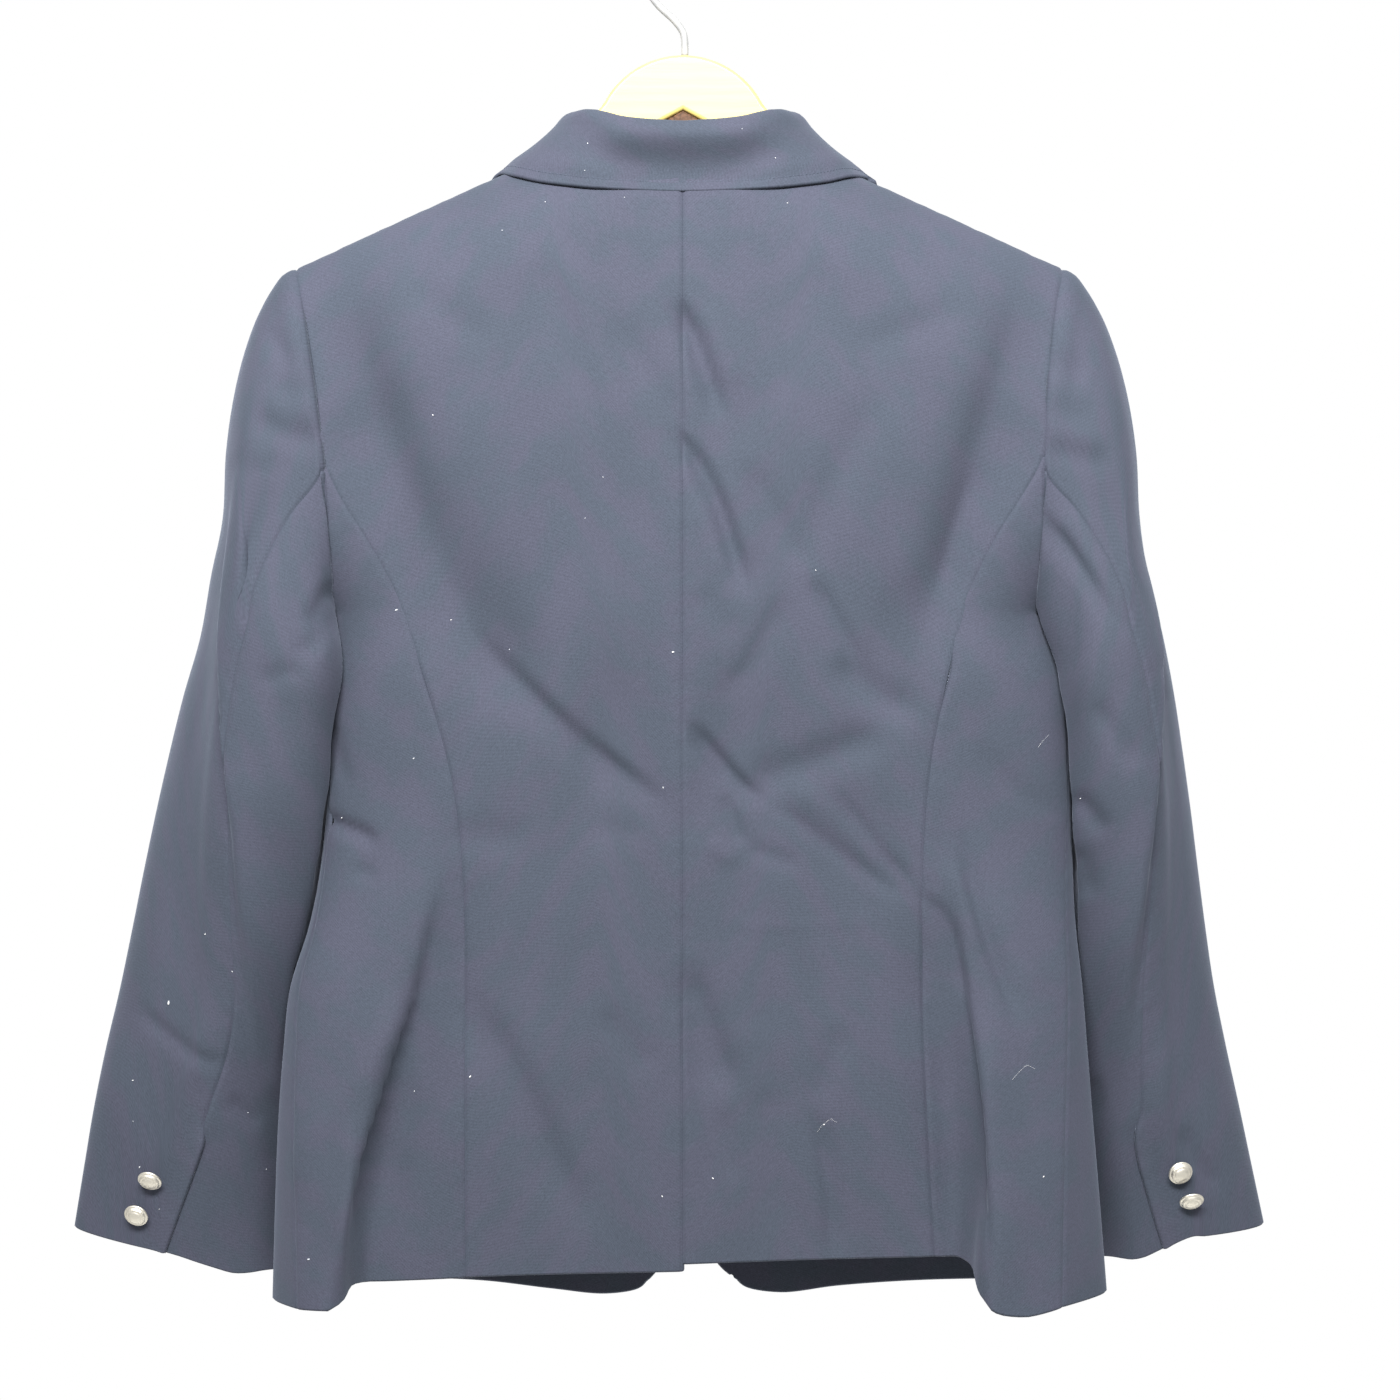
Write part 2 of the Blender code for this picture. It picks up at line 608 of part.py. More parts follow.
def front_edge_points(side):
    """Neck, roll line, straight edge and rounded corner of a front, in step with its other long edge."""
    overlap = -FRONT_OVERLAP
    corner = np.array(FRONT_CORNER[side])
    roll = [
        (mix(ROLL_TOP[0], overlap, t), mix(ROLL_TOP[1], BREAK_POINT_Z, t))
        for t in (0.03, 0.15, 0.35, 0.55, 0.75, 1.0)
    ]
    ridge = shoulder_z(side, NECK_POINT_X)
    stops = [(NECK_POINT_X, ridge), (NECK_POINT_X, ridge - 1.0), (NECK_POINT_X, ridge - 4.6)]
    stops += [(NECK_POINT_X, ridge - 14.0), FRONT_NECK, *roll]
    straight = [(overlap, BREAK_POINT_Z - 30.0), (overlap, -480.0), (overlap, -540.0),
                (overlap, FRONT_EDGE_STRAIGHT_TO)]
    curve = [(mix(overlap, corner[0], share), z) for share, z in CUTAWAY]
    curve.append(tuple(corner))
    stops = stops + straight + curve
    rows = FRONT_ARMHOLE_STEPS + PRINCESS_STEPS
    fixed = resample_keeping(stops, rows)
    return [line_at(side, x, min(z, shoulder_z(side, x)), front=True) for x, z in fixed]


def resample_keeping(stops, steps):
    """Spreads steps over the stretches between stops in proportion to their length, keeping each stop."""
    stops = [np.array(s, float) for s in stops]
    lengths = [float(np.linalg.norm(b - a)) for a, b in zip(stops, stops[1:])]
    counts = [1] * len(lengths)
    while sum(counts) < steps:
        longest = max(range(len(lengths)), key=lambda n: lengths[n] / counts[n])
        counts[longest] += 1
    points = [stops[0]]
    for a, b, count in zip(stops, stops[1:], counts):
        points += [mix(a, b, n / count) for n in range(1, count + 1)]
    return points


# ---------------------------------------------------------------------------------------------------
# Solids
# ---------------------------------------------------------------------------------------------------

def material(name, colour, roughness, metallic=0.0):
    found = bpy.data.materials.get(name)
    if found:
        return found
    made = bpy.data.materials.new(name)
    made.use_nodes = True
    shader = made.node_tree.nodes["Principled BSDF"]
    shader.inputs["Base Color"].default_value = (*colour, 1.0)
    shader.inputs["Roughness"].default_value = roughness
    shader.inputs["Metallic"].default_value = metallic
    return made


def add_object(name, vertices, faces, finish, smooth=True):
    mesh = bpy.data.meshes.new(name)
    mesh.from_pydata([Vector(v) * MM for v in vertices], [], faces)
    mesh.validate()
    solid = bmesh.new()
    solid.from_mesh(mesh)
    bmesh.ops.recalc_face_normals(solid, faces=solid.faces[:])
    solid.to_mesh(mesh)
    solid.free()
    if smooth:
        mesh.shade_smooth()
        mesh.set_sharp_from_angle(angle=math.radians(50.0))
    mesh.materials.append(finish)
    made = bpy.data.objects.new(name, mesh)
    bpy.context.scene.collection.objects.link(made)
    return made


def inwards(before, point, after, neighbour):
    """Direction from an edge point into its panel, square to the edge."""
    along = unit(after - before)
    into = neighbour - point
    return unit(into - along * float(np.dot(into, along)))


def draw_in(grid, amount=0.5 * SEAM_GAP):
    """Pulls the edge rows and columns of a grid in along the surface, which opens the seams."""
    rows, columns = len(grid), len(grid[0])
    moved = [[p.copy() for p in row] for row in grid]
    for j in range(columns):
        a, b = max(j - 1, 0), min(j + 1, columns - 1)
        for edge, next_to in ((0, 1), (rows - 1, rows - 2)):
            line = grid[edge]
            moved[edge][j] += amount * inwards(line[a], line[j], line[b], grid[next_to][j])
    for i in range(rows):
        a, b = max(i - 1, 0), min(i + 1, rows - 1)
        for edge, next_to in ((0, 1), (columns - 1, columns - 2)):
            into = inwards(grid[a][edge], grid[i][edge], grid[b][edge], grid[i][next_to])
            moved[i][edge] += amount * into
    return moved


def wall(name, outer, inner, finish):
    """A closed wall between two grids of the same size."""
    rows, columns = len(outer), len(outer[0])
    vertices = [p for row in outer for p in row] + [p for row in inner for p in row]
    half = rows * columns

    def at(i, j, inside=False):
        return i * columns + j + (half if inside else 0)

    faces = []
    for i in range(rows - 1):
        for j in range(columns - 1):
            faces.append((at(i, j), at(i, j + 1), at(i + 1, j + 1), at(i + 1, j)))
            faces.append((at(i, j, True), at(i + 1, j, True), at(i + 1, j + 1, True), at(i, j + 1, True)))
    border = [(0, j) for j in range(columns)]
    border += [(i, columns - 1) for i in range(1, rows)]
    border += [(rows - 1, j) for j in range(columns - 2, -1, -1)]
    border += [(i, 0) for i in range(rows - 2, 0, -1)]
    for a, b in zip(border, border[1:] + border[:1]):
        # Two pieces that meet at a seam split its strip the same way, so they can't touch.
        if vertices[at(*a)][2] > vertices[at(*b)][2]:
            faces += [(at(*a), at(*a, True), at(*b, True)), (at(*a), at(*b, True), at(*b))]
        else:
            faces += [(at(*a), at(*a, True), at(*b)), (at(*a, True), at(*b, True), at(*b))]
    return add_object(name, vertices, faces, finish)


def grid_normals(points, flip=1.0):
    """Normals of a grid from its own neighbouring points."""
    rows, columns = len(points), len(points[0])
    normals = []
    for i in range(rows):
        line = []
        for j in range(columns):
            across = points[i][min(j + 1, columns - 1)] - points[i][max(j - 1, 0)]
            down = points[min(i + 1, rows - 1)][j] - points[max(i - 1, 0)][j]
            line.append(flip * unit(np.cross(across, down)))
        normals.append(line)
    return normals


def body_panel(name, side, lines, finish, thickness=WALL):
    """A wall on the body's surface from a grid of (angle, z)."""
    outer = [[body_point(side, a, z=z) for a, z in row] for row in lines]
    normals = [[body_normal(side, a, z) for a, z in row] for row in lines]
    outer = draw_in(outer)
    inner = [[p - thickness * n for p, n in zip(*rows)] for rows in zip(outer, normals)]
    return wall(name, outer, inner, finish)


# ---------------------------------------------------------------------------------------------------
# Pieces of the body
# ---------------------------------------------------------------------------------------------------

def make_back(side, cloth):
    top = neck_points(side) + shoulder_points(side)[1:]
    right = back_armhole_points(side) + princess_points(side)[1:]
    top_z, hem = top[0][1], hem_z(side, 0.0)
    tall = (right[0][1] - right[-1][1])
    left = [np.array([0.0, mix(top_z, hem, (right[0][1] - p[1]) / tall)]) for p in right]
    bottom_angle = right[-1][0]
    bottom = hem_points(side, 0.0, bottom_angle, len(top) - 1)
    right[-1] = bottom[-1].copy()
    return body_panel(f"back_{SIDE_NAMES[side]}", side, fill(top, bottom, left, right), cloth)


def make_side_body(side, cloth):
    top = under_arm_points(side)
    left = princess_points(side)
    right = side_seam_points(side)
    bottom = hem_points(side, left[-1][0], right[-1][0], SIDE_STEPS)
    left[0], right[0] = top[0].copy(), top[-1].copy()
    left[-1], right[-1] = bottom[0].copy(), bottom[-1].copy()
    lines = relax(fill(top, bottom, left, right), SIDE_ROUNDS)
    return body_panel(f"side_body_{SIDE_NAMES[side]}", side, lines, cloth)


def make_front(side, cloth):
    left = front_armhole_points(side) + side_seam_points(side)[1:]
    right = front_edge_points(side)
    top = list(reversed(shoulder_points(side, front=True)))
    steps = FRONT_STEPS
    top = [np.array(p) for p in smooth_line(top, steps)]
    for p in top:
        square = read(SECTIONS, SECTION_COLUMNS, "square", p[1])
        s, c = abs(math.sin(p[0])), abs(math.cos(p[0]))
        x = half_width(side, p[1]) * s * (s**square + c**square) ** (-1.0 / square)
        p[1] = shoulder_z(side, x)
    corner = right[-1]
    corner_x = FRONT_CORNER[side][0]
    first = left[-1][0]
    start = angle_of(side, corner_x + CORNER_ROUNDING, HEM[-1][1], front=True)
    bottom = []
    for n in range(steps + 1):
        share = math.sin(0.5 * math.pi * n / steps)
        angle = mix(first, corner[0], share)
        z = hem_z(side, angle)
        if angle > start:
            t = (angle - start) / (corner[0] - start)
            z = mix(z, corner[1], t * t)
        bottom.append(np.array([angle, z]))
    return body_panel(f"front_{SIDE_NAMES[side]}", side, fill(top, bottom, left, right), cloth)


# ---------------------------------------------------------------------------------------------------
# Lapels and collar
# ---------------------------------------------------------------------------------------------------

def fold_ring(centre, out, up, radius, columns):
    """Points round a fold, from its inner side over the top to its outer side, ends left out."""
    points = []
    for n in range(1, columns):
        turn = math.pi * n / columns
        points.append(centre - out * radius * math.cos(turn) + up * radius * math.sin(turn))
    return points


def thicken(name, middle, thickness, finish, flip=1.0):
    """A wall either side of a middle surface."""
    middle = draw_in(middle)
    normals = grid_normals(middle, flip)
    outer = [[p + 0.5 * thickness * n for p, n in zip(*rows)] for rows in zip(middle, normals)]
    inner = [[p - 0.5 * thickness * n for p, n in zip(*rows)] for rows in zip(middle, normals)]
    return wall(name, outer, inner, finish)


def make_lapel(side, cloth):
    """The front turned back at the roll line: the fold itself, then the cloth that lies on the chest."""
    overlap = -FRONT_OVERLAP
    top_in, top_out = np.array(ROLL_TOP), np.array(LAPEL_PEAK)
    foot_in = np.array([overlap, BREAK_POINT_Z])
    foot_out = np.array([overlap + 5.0, BREAK_POINT_Z + 1.0])
    edge_out = unit(np.array([foot_out[1] - top_out[1], top_out[0] - foot_out[0]]))
    if edge_out[0] < 0.0:
        edge_out = -edge_out
    notch = np.array(GORGE_NOTCH)
    gorge = float(np.linalg.norm(notch - top_in) / np.linalg.norm(top_out - top_in))
    middle = []
    for i in range(LAPEL_ROWS + 1):
        v = i / LAPEL_ROWS
        start = mix(top_in, foot_in, v)
        end = mix(top_out, foot_out, v) + edge_out * LAPEL_BELLY * math.sin(math.pi * v)
        row = []
        for j in range(LAPEL_COLUMNS + 1):
            u = j / LAPEL_COLUMNS
            u = gorge if j == LAPEL_COLUMNS - 2 else u
            x, z = mix(start, end, u)
            lift = mix(ROLL_LIFT, EDGE_LIFT, ease(u / 0.5))
            row.append(on_body(side, x, z, front=True, lift=lift))
        x, z = start
        base = on_body(side, x, z, front=True)
        out = unit(on_body(side, x, z, front=True, lift=1.0) - base)
        along = unit(on_body(side, *mix(top_in, foot_in, min(v + 0.01, 1.0)), front=True)
                     - on_body(side, *mix(top_in, foot_in, max(v - 0.01, 0.0)), front=True))
        up = np.cross(along, out)
        if up[0] * side > 0.0:
            up = -up
        radius = 0.5 * (ROLL_LIFT + 0.5 * WALL)
        centre = base + out * (ROLL_LIFT - radius) + up * ROLL_GAP
        first = centre - out * radius
        middle.append([first] + fold_ring(centre, out, up, radius, ROLL_COLUMNS) + row)
    return thicken(f"lapel_{SIDE_NAMES[side]}", middle, WALL, cloth, flip=side)


def collar_section(side, share):
    """One section of the collar: up the stand, over the fold and down the leaf."""
    def col(name):
        return read(COLLAR, COLLAR_COLUMNS, name, share)

    in_front = share > COLLAR_SHOULDER_SHARE
    neck_x, neck_z = col("neck_x"), col("neck_z")
    neck_z = min(neck_z, shoulder_z(side, neck_x))
    base = on_body(side, neck_x, neck_z, in_front)
    out = unit(on_body(side, neck_x, neck_z, in_front, lift=1.0) - base)
    neck = base - 0.5 * WALL * out
    roll = np.array([side * col("roll_x"), col("roll_y"), col("roll_z")])
    edge_x, edge_z = col("edge_x"), col("edge_z")
    edge_z = min(edge_z, shoulder_z(side, edge_x))
    lift = mix(COLLAR_BACK_LIFT, EDGE_LIFT, ease((share - 0.4) / 0.5))
    edge = on_body(side, edge_x, edge_z, in_front, lift=lift)
    up = -unit(unit(neck - roll) + unit(edge - roll))
    out = unit(out - up * float(np.dot(out, up)))
    radius = mix(*COLLAR_ROLL, ease((share - 0.4) / 0.6))
    inner, outer = roll - out * radius, roll + out * radius
    neck = neck + up * STAND_GAP
    points = [neck, mix(neck, inner, 0.5), inner]
    points += fold_ring(roll, out, up, radius, ROLL_COLUMNS)
    hug = ease((share - COLLAR_SHOULDER_SHARE) / 0.3)
    fold, tip = np.array([side * outer[0], outer[2]]), np.array([edge_x, edge_z])
    bend = np.array(GORGE_NOTCH) - mix(fold, tip, COLLAR_NOTCH_SHARE)
    bend = bend * ease((share - 0.72) / 0.28)
    drop = 0.45 * float(np.linalg.norm(edge - outer))
    knee = outer - up * drop
    for p in COLLAR_LEAF_SHARES:
        free = (1 - p) ** 2 * outer + 2 * p * (1 - p) * knee + p * p * edge
        if hug > 0.0:
            tent = p / COLLAR_NOTCH_SHARE if p < COLLAR_NOTCH_SHARE else (1 - p) / (1 - COLLAR_NOTCH_SHARE)
            x, z = mix(fold, tip, p) + bend * tent
            laid = on_body(side, x, z, front=True, lift=mix(ROLL_LIFT, EDGE_LIFT, ease(p / 0.5)))
            free = mix(free, laid, hug)
        points.append(free)
    return points


def make_collar(cloth):
    sections = []
    for n in range(COLLAR_STEPS, 0, -1):
        sections.append(collar_section(RIGHT, n / COLLAR_STEPS))
    for n in range(COLLAR_STEPS + 1):
        sections.append(collar_section(LEFT, n / COLLAR_STEPS))
    return thicken("collar", sections, COLLAR_WALL, cloth)


# ---------------------------------------------------------------------------------------------------
# Sleeves
# ---------------------------------------------------------------------------------------------------

def armhole_loop(side):
    """The armhole, from the shoulder tip down the back, under the arm and up the front."""
    lines = back_armhole_points(side)[:-1] + under_arm_points(side)[:-1]
    lines += list(reversed(front_armhole_points(side)))[:-1]
    return lines


def sleeve_ring(side, z):
    """A sleeve's section at a level, with its centre, half width and lean angle."""
    ring = {name: read(SLEEVES[side], SLEEVE_COLUMNS, name, z) for name in SLEEVE_COLUMNS[1:]}
    ring["x"] = 0.5 * (ring["outer"] + ring["inner"])
    ring["half"] = 0.5 * (ring["outer"] - ring["inner"])
    ring["lag"] = math.degrees(math.asin(ring["lean"] / ring["half"]))
    return ring


def ring_angle(ring, x, behind=True):
    """The angle at which a sleeve's section passes this distance from the middle."""
    swing = math.degrees(math.asin(clamp((x - ring["x"]) / ring["half"], -0.97, 0.97)))
    return ring["lag"] + (swing if behind else 180.0 - swing)


def sleeve_point(side, z, angle):
    """A point of the sleeve below its head. angle runs from behind (0) by the outside (90)."""
    ring = sleeve_ring(side, z)
    outside = ring["lag"] + 90.0
    dx = ring["half"] * math.sin(math.radians(angle - ring["lag"]))
    y = ring["y"] + ring["deep"] * math.cos(math.radians(angle))
    ridge = ring_angle(ring, ring["ridge"])
    turned = angle % 360.0
    beyond = (turned - ridge) / max(outside - ridge, 1.0)
    if 0.0 < beyond:
        y -= ring["drop"] * ease(beyond / 0.35) * (1.0 - ease((turned - outside) / 70.0))
    low = ease((CUFF_CURL_HEIGHTS[0] - z) / (CUFF_CURL_HEIGHTS[0] - CUFF_CURL_HEIGHTS[1]))
    curl = CUFF_CURL * low * ease((-dx / ring["half"] - 0.5) / 0.5)
    height = z + ring["tilt"] * dx + ring["sag"] * min(dx, 0.0) + curl
    x = max(ring["x"] + dx, body_edge(side, y, height) + SLEEVE_CLEARANCE)
    return np.array([side * x, y, height])


def body_edge(side, y, z):
    """How far out the side of the body reaches at a depth and a height."""
    name = "back" if y >= 0.0 else "front"
    share = abs(y) / read(SECTIONS, SECTION_COLUMNS, name, z)
    if share >= 1.0:
        return 0.0
    square = read(SECTIONS, SECTION_COLUMNS, "square", z)
    edge = half_width(side, z) * (1.0 - share**square) ** (1.0 / square)
    if y > 0.0:
        edge += read(FLARES, FLARE_COLUMNS, "kick", z) * math.sin(math.pi * ease(share / 0.9))
    return edge


def seam_angles(side, z, count, hind, fore):
    """Angles round a sleeve ring, so that both seams fall on points. The order follows the armhole."""
    ring = sleeve_ring(side, z)
    outside = ring["lag"] + 90.0
    hind_angle = ring_angle(ring, ring["hind"])
    fore_x = mix(ring["inner"], ring["outer"], FORE_SEAM_SHARE)
    fore_angle = ring_angle(ring, fore_x, behind=False) - 360.0
    angles = []
    for n in range(count):
        if n <= hind:
            angles.append(mix(outside, hind_angle, n / hind))
        elif n <= fore:
            angles.append(mix(hind_angle, fore_angle, (n - hind) / (fore - hind)))
        else:
            angles.append(mix(fore_angle, outside - 360.0, (n - fore) / (count - fore)))
    return angles


def head_row(side, seam, normals, arm, share):
    """A ring of the sleeve's head, part of the way from the armhole to the arm."""
    row = []
    for edge, normal, end in zip(seam, normals, arm):
        high = ease((edge[2] - ARMPIT_Z) / (SHOULDER_TIP_Z - ARMPIT_Z))
        start = edge + np.array([side * SEAM_GAP, 0.0, 0.0])
        out, down = mix(np.array(UNDER_ARM_LEAVES), np.array(HEAD_LEAVES), high)
        leave = np.array([side * out, 0.0, -down])
        leave = unit(leave - normal * float(np.dot(leave, normal)) * high)
        pull = float(np.linalg.norm(end - start)) * mix(np.array(HEAD_PULL[0]), np.array(HEAD_PULL[1]), high)
        first = start + leave * pull[0]
        second = end + np.array([0.0, 0.0, pull[1]])
        left = 1.0 - share
        point = left**3 * start + 3 * share * left**2 * first + 3 * share**2 * left * second + share**3 * end
        if point[2] < ARMPIT_Z:
            edge_x = body_edge(side, point[1], point[2]) + mix(SEAM_GAP, SLEEVE_CLEARANCE, share)
            point[0] = side * max(side * point[0], edge_x)
        row.append(point)
    return row


def sleeve_rows(side):
    """Rings of the whole sleeve from armhole to cuff, as a grid that closes on itself."""
    loop = armhole_loop(side)
    count = len(loop)
    seam = [body_point(side, a, z=z) for a, z in loop]
    normals = [body_normal(side, a, z) for a, z in loop]
    head_z, cuff_z = SLEEVES[side][0][0], SLEEVES[side][-1][0]
    arm = []
    for i in range(SLEEVE_STEPS + 1):
        ring = []
        for k, edge in enumerate(seam):
            high = ease((edge[2] - ARMPIT_Z) / (SHOULDER_TIP_Z - ARMPIT_Z))
            z = mix(mix(UNDER_ARM_LEVEL, head_z, high), cuff_z, i / SLEEVE_STEPS)
            angle = seam_angles(side, z, count, HIND_SEAM_POINT, FORE_SEAM_POINT)[k]
            ring.append(sleeve_point(side, z, angle))
        arm.append(ring)
    head = [head_row(side, seam, normals, arm[0], i / SLEEVE_CAP_STEPS) for i in range(SLEEVE_CAP_STEPS)]
    return head + arm


def sleeve_normals(side, rows):
    count = len(rows[0])
    normals = []
    for i, row in enumerate(rows):
        line = []
        for k in range(count):
            around = row[(k + 1) % count] - row[k - 1]
            down = rows[min(i + 1, len(rows) - 1)][k] - rows[max(i - 1, 0)][k]
            line.append(side * unit(np.cross(down, around)))
        normals.append(line)
    return normals


def make_sleeve(side, cloth):
    rows = sleeve_rows(side)
    normals = sleeve_normals(side, rows)
    count = len(rows[0])
    name = SIDE_NAMES[side]
    top = [n % count for n in range(FORE_SEAM_POINT, count + HIND_SEAM_POINT + 1)]
    under = list(range(HIND_SEAM_POINT, FORE_SEAM_POINT + 1))
    for piece, picked in (("top_sleeve", top), ("under_sleeve", under)):
        outer = draw_in([[row[k] for k in picked] for row in rows])
        lines = [[line[k] for k in picked] for line in normals]
        inner = [[p - SLEEVE_WALL * n for p, n in zip(*pair)] for pair in zip(outer, lines)]
        wall(f"{piece}_{name}", outer, inner, cloth)


# ---------------------------------------------------------------------------------------------------
# Buttons
# ---------------------------------------------------------------------------------------------------

def make_button(name, place, normal, diameter, tilt, finish):
    """A domed button over a place on the cloth. It droops by tilt until its rim is near the cloth."""
    radius, turn = 0.5 * diameter, math.radians(tilt)
    down = np.array([0.0, 0.0, -1.0])
    down = unit(down - normal * float(np.dot(down, normal)))
    axis = normal * math.cos(turn) + down * math.sin(turn)
    low = down * math.cos(turn) - normal * math.sin(turn)
    side = np.cross(axis, low)
    shank_lift = SHANK_RADIUS * math.sin(turn)
    rim_lift = radius * math.sin(turn) - SHANK_LENGTH * math.cos(turn)
    lift = max(shank_lift, rim_lift) + SEAM_GAP
    foot = place + normal * lift
    profile = [(SHANK_RADIUS, 0.0), (SHANK_RADIUS, SHANK_LENGTH), (0.9 * radius, SHANK_LENGTH)]
    profile += [(share * radius, SHANK_LENGTH + height) for share, height in BUTTON_PROFILE]
    top = SHANK_LENGTH + BUTTON_PROFILE[-1][1] + 0.15
    vertices = [foot]
    for reach, height in profile:
        for n in range(BUTTON_SIDES):
            swing = 2.0 * math.pi * n / BUTTON_SIDES
            vertices.append(foot + axis * height + reach * (low * math.cos(swing) + side * math.sin(swing)))
    vertices.append(foot + axis * top)
    faces = []
    for n in range(BUTTON_SIDES):
        m = (n + 1) % BUTTON_SIDES
        faces.append((0, 1 + m, 1 + n))
        for k in range(len(profile) - 1):
            a = 1 + k * BUTTON_SIDES
            b = a + BUTTON_SIDES
            faces.append((a + n, a + m, b + m, b + n))
        last = 1 + (len(profile) - 1) * BUTTON_SIDES
        faces.append((last + n, last + m, len(vertices) - 1))
    add_object(name, vertices, faces, finish)


def make_buttons(finish):
    for side in (LEFT, RIGHT):
        for n, (x, z, tilt) in enumerate(CUFF_BUTTONS[side]):
            place, normal = sleeve_place(side, x, z)
            name = f"cuff_button_{SIDE_NAMES[side]}_{n + 1}"
            make_button(name, place, normal, CUFF_BUTTON, tilt, finish)
    for n, z in enumerate(FRONT_BUTTONS_Z):
        place = on_body(RIGHT, 0.0, z, front=True)
        normal = body_normal(RIGHT, angle_of(RIGHT, 0.0, z, front=True), z)
        make_button(f"front_button_{n + 1}", place, normal, FRONT_BUTTON, 0.0, finish)


def sleeve_place(side, x, z):
    """The place and normal on the back of a sleeve at a distance from the middle and a height."""
    level = z
    for _ in range(4):
        angle = ring_angle(sleeve_ring(side, level), x)
        place = sleeve_point(side, level, angle)
        level += z - place[2]
    around = sleeve_point(side, level, angle + 4.0) - sleeve_point(side, level, angle - 4.0)
    down = sleeve_point(side, level - 4.0, angle) - sleeve_point(side, level + 4.0, angle)
    return place, side * unit(np.cross(around, down))


# ---------------------------------------------------------------------------------------------------
# Hanger
# ---------------------------------------------------------------------------------------------------

def board_half(side):
    """Half of the board's outline, from the dome's peak round to the notch, as (x, z)."""
    points = []
    for n in range(DOME_STEPS + 1):
        turn = math.radians(DOME_END) * n / DOME_STEPS
        points.append((DOME_RADIUS * math.sin(turn), DOME_PEAK_Z - DOME_RADIUS * (1.0 - math.cos(turn))))
    points += BOARD_NECK
    top = []
    for x in BOARD_TOP_X:
        drop = BOARD_DROP * ease((x - BOARD_DROP_X[0]) / (BOARD_DROP_X[1] - BOARD_DROP_X[0]))
        top.append((x, shoulder_z(side, x) - BOARD_CLEARANCE - drop))
    points += top
    end_x = BOARD_END_X
    end_z = shoulder_z(side, end_x) - BOARD_CLEARANCE - BOARD_DROP
    low_z = top[-1][1] - BOARD_HEIGHT[1]
    points += [(end_x, end_z - 3.5), (end_x, low_z + 3.0), (BOARD_TOP_X[-1], low_z)]
    for x, z in reversed(top[:-1]):
        share = (x - BOARD_TOP_X[0]) / (BOARD_TOP_X[-1] - BOARD_TOP_X[0])
        points.append((x, z - mix(*BOARD_HEIGHT, share)))
    points += list(reversed(BOARD_NOTCH[1:]))
    return [(side * x, z) for x, z in points]


def make_board(finish):
    left, right = board_half(LEFT), board_half(RIGHT)
    outline = left + [(0.0, BOARD_NOTCH[0][1])] + list(reversed(right))[:-1]
    half = 0.5 * BOARD_THICKNESS
    shape = bmesh.new()
    back = [shape.verts.new(Vector((x, half, z)) * MM) for x, z in outline]
    face = shape.faces.new(back)
    swept = bmesh.ops.extrude_face_region(shape, geom=[face])
    front = [v for v in swept["geom"] if isinstance(v, bmesh.types.BMVert)]
    bmesh.ops.translate(shape, verts=front, vec=Vector((0.0, -BOARD_THICKNESS, 0.0)) * MM)
    bmesh.ops.recalc_face_normals(shape, faces=shape.faces[:])
    mesh = bpy.data.meshes.new("hanger_board")
    shape.to_mesh(mesh)
    shape.free()
    mesh.shade_smooth()
    mesh.set_sharp_from_angle(angle=math.radians(40.0))
    mesh.materials.append(finish)
    board = bpy.data.objects.new("hanger_board", mesh)
    bpy.context.scene.collection.objects.link(board)
    bevel = board.modifiers.new("edges", "BEVEL")
    bevel.width = BOARD_BEVEL * MM
    bevel.segments = 2
    bevel.limit_method = "ANGLE"
    bevel.angle_limit = math.radians(60.0)


def hook_path():
    """The middle of the hook's wire, from the stem over the rail to the tip."""
    centre = np.array([0.0, 0.5 * HOOK_WIRE - HOOK_RADIUS])
    stops = [np.array(p) for p in HOOK_STEM]
    for n in range(13):
        turn = math.radians(mix(HOOK_JOIN, HOOK_END, n / 12))
        stops.append(centre + HOOK_RADIUS * np.array([math.cos(turn), math.sin(turn)]))
    lengths = [float(np.linalg.norm(b - a)) for a, b in zip(stops, stops[1:])]
    table = [(sum(lengths[:n]), *p) for n, p in enumerate(stops)]
    total = sum(lengths)
    columns = ("at", "x", "z")
    return [
        np.array([read(table, columns, "x", total * n / HOOK_STEPS), 0.0,
                  read(table, columns, "z", total * n / HOOK_STEPS)])
        for n in range(HOOK_STEPS + 1)
    ]


def make_hook(finish):
    path = hook_path()
    depth = np.array([0.0, 1.0, 0.0])
    vertices, faces = [], []
    for n, point in enumerate(path):
        along = unit(path[min(n + 1, len(path) - 1)] - path[max(n - 1, 0)])
        across = np.cross(depth, along)
        for k in range(HOOK_SIDES):
            turn = 2.0 * math.pi * k / HOOK_SIDES
            vertices.append(point + 0.5 * HOOK_WIRE * (across * math.cos(turn) + depth * math.sin(turn)))
    for n in range(len(path) - 1):
        for k in range(HOOK_SIDES):
            a, b = n * HOOK_SIDES + k, n * HOOK_SIDES + (k + 1) % HOOK_SIDES
            faces.append((a, b, b + HOOK_SIDES, a + HOOK_SIDES))
    faces.append(tuple(range(HOOK_SIDES)))
    faces.append(tuple(range(len(vertices) - HOOK_SIDES, len(vertices))))
    add_object("hanger_hook", vertices, faces, finish)


# ---------------------------------------------------------------------------------------------------
# The scene
# ---------------------------------------------------------------------------------------------------

def main():
    for old in list(bpy.data.objects):
        bpy.data.objects.remove(old)
    cloth = material("navy_cloth", NAVY, 0.9)
    for side in (LEFT, RIGHT):
        make_back(side, cloth)
        make_side_body(side, cloth)
        make_front(side, cloth)
        make_lapel(side, cloth)
        make_sleeve(side, cloth)
    make_collar(cloth)
    make_buttons(material("nickel", NICKEL, 0.35, metallic=1.0))
    make_board(material("pale_wood", PALE_WOOD, 0.5))
    make_hook(material("coated_wire", WHITE_WIRE, 0.4))


main()
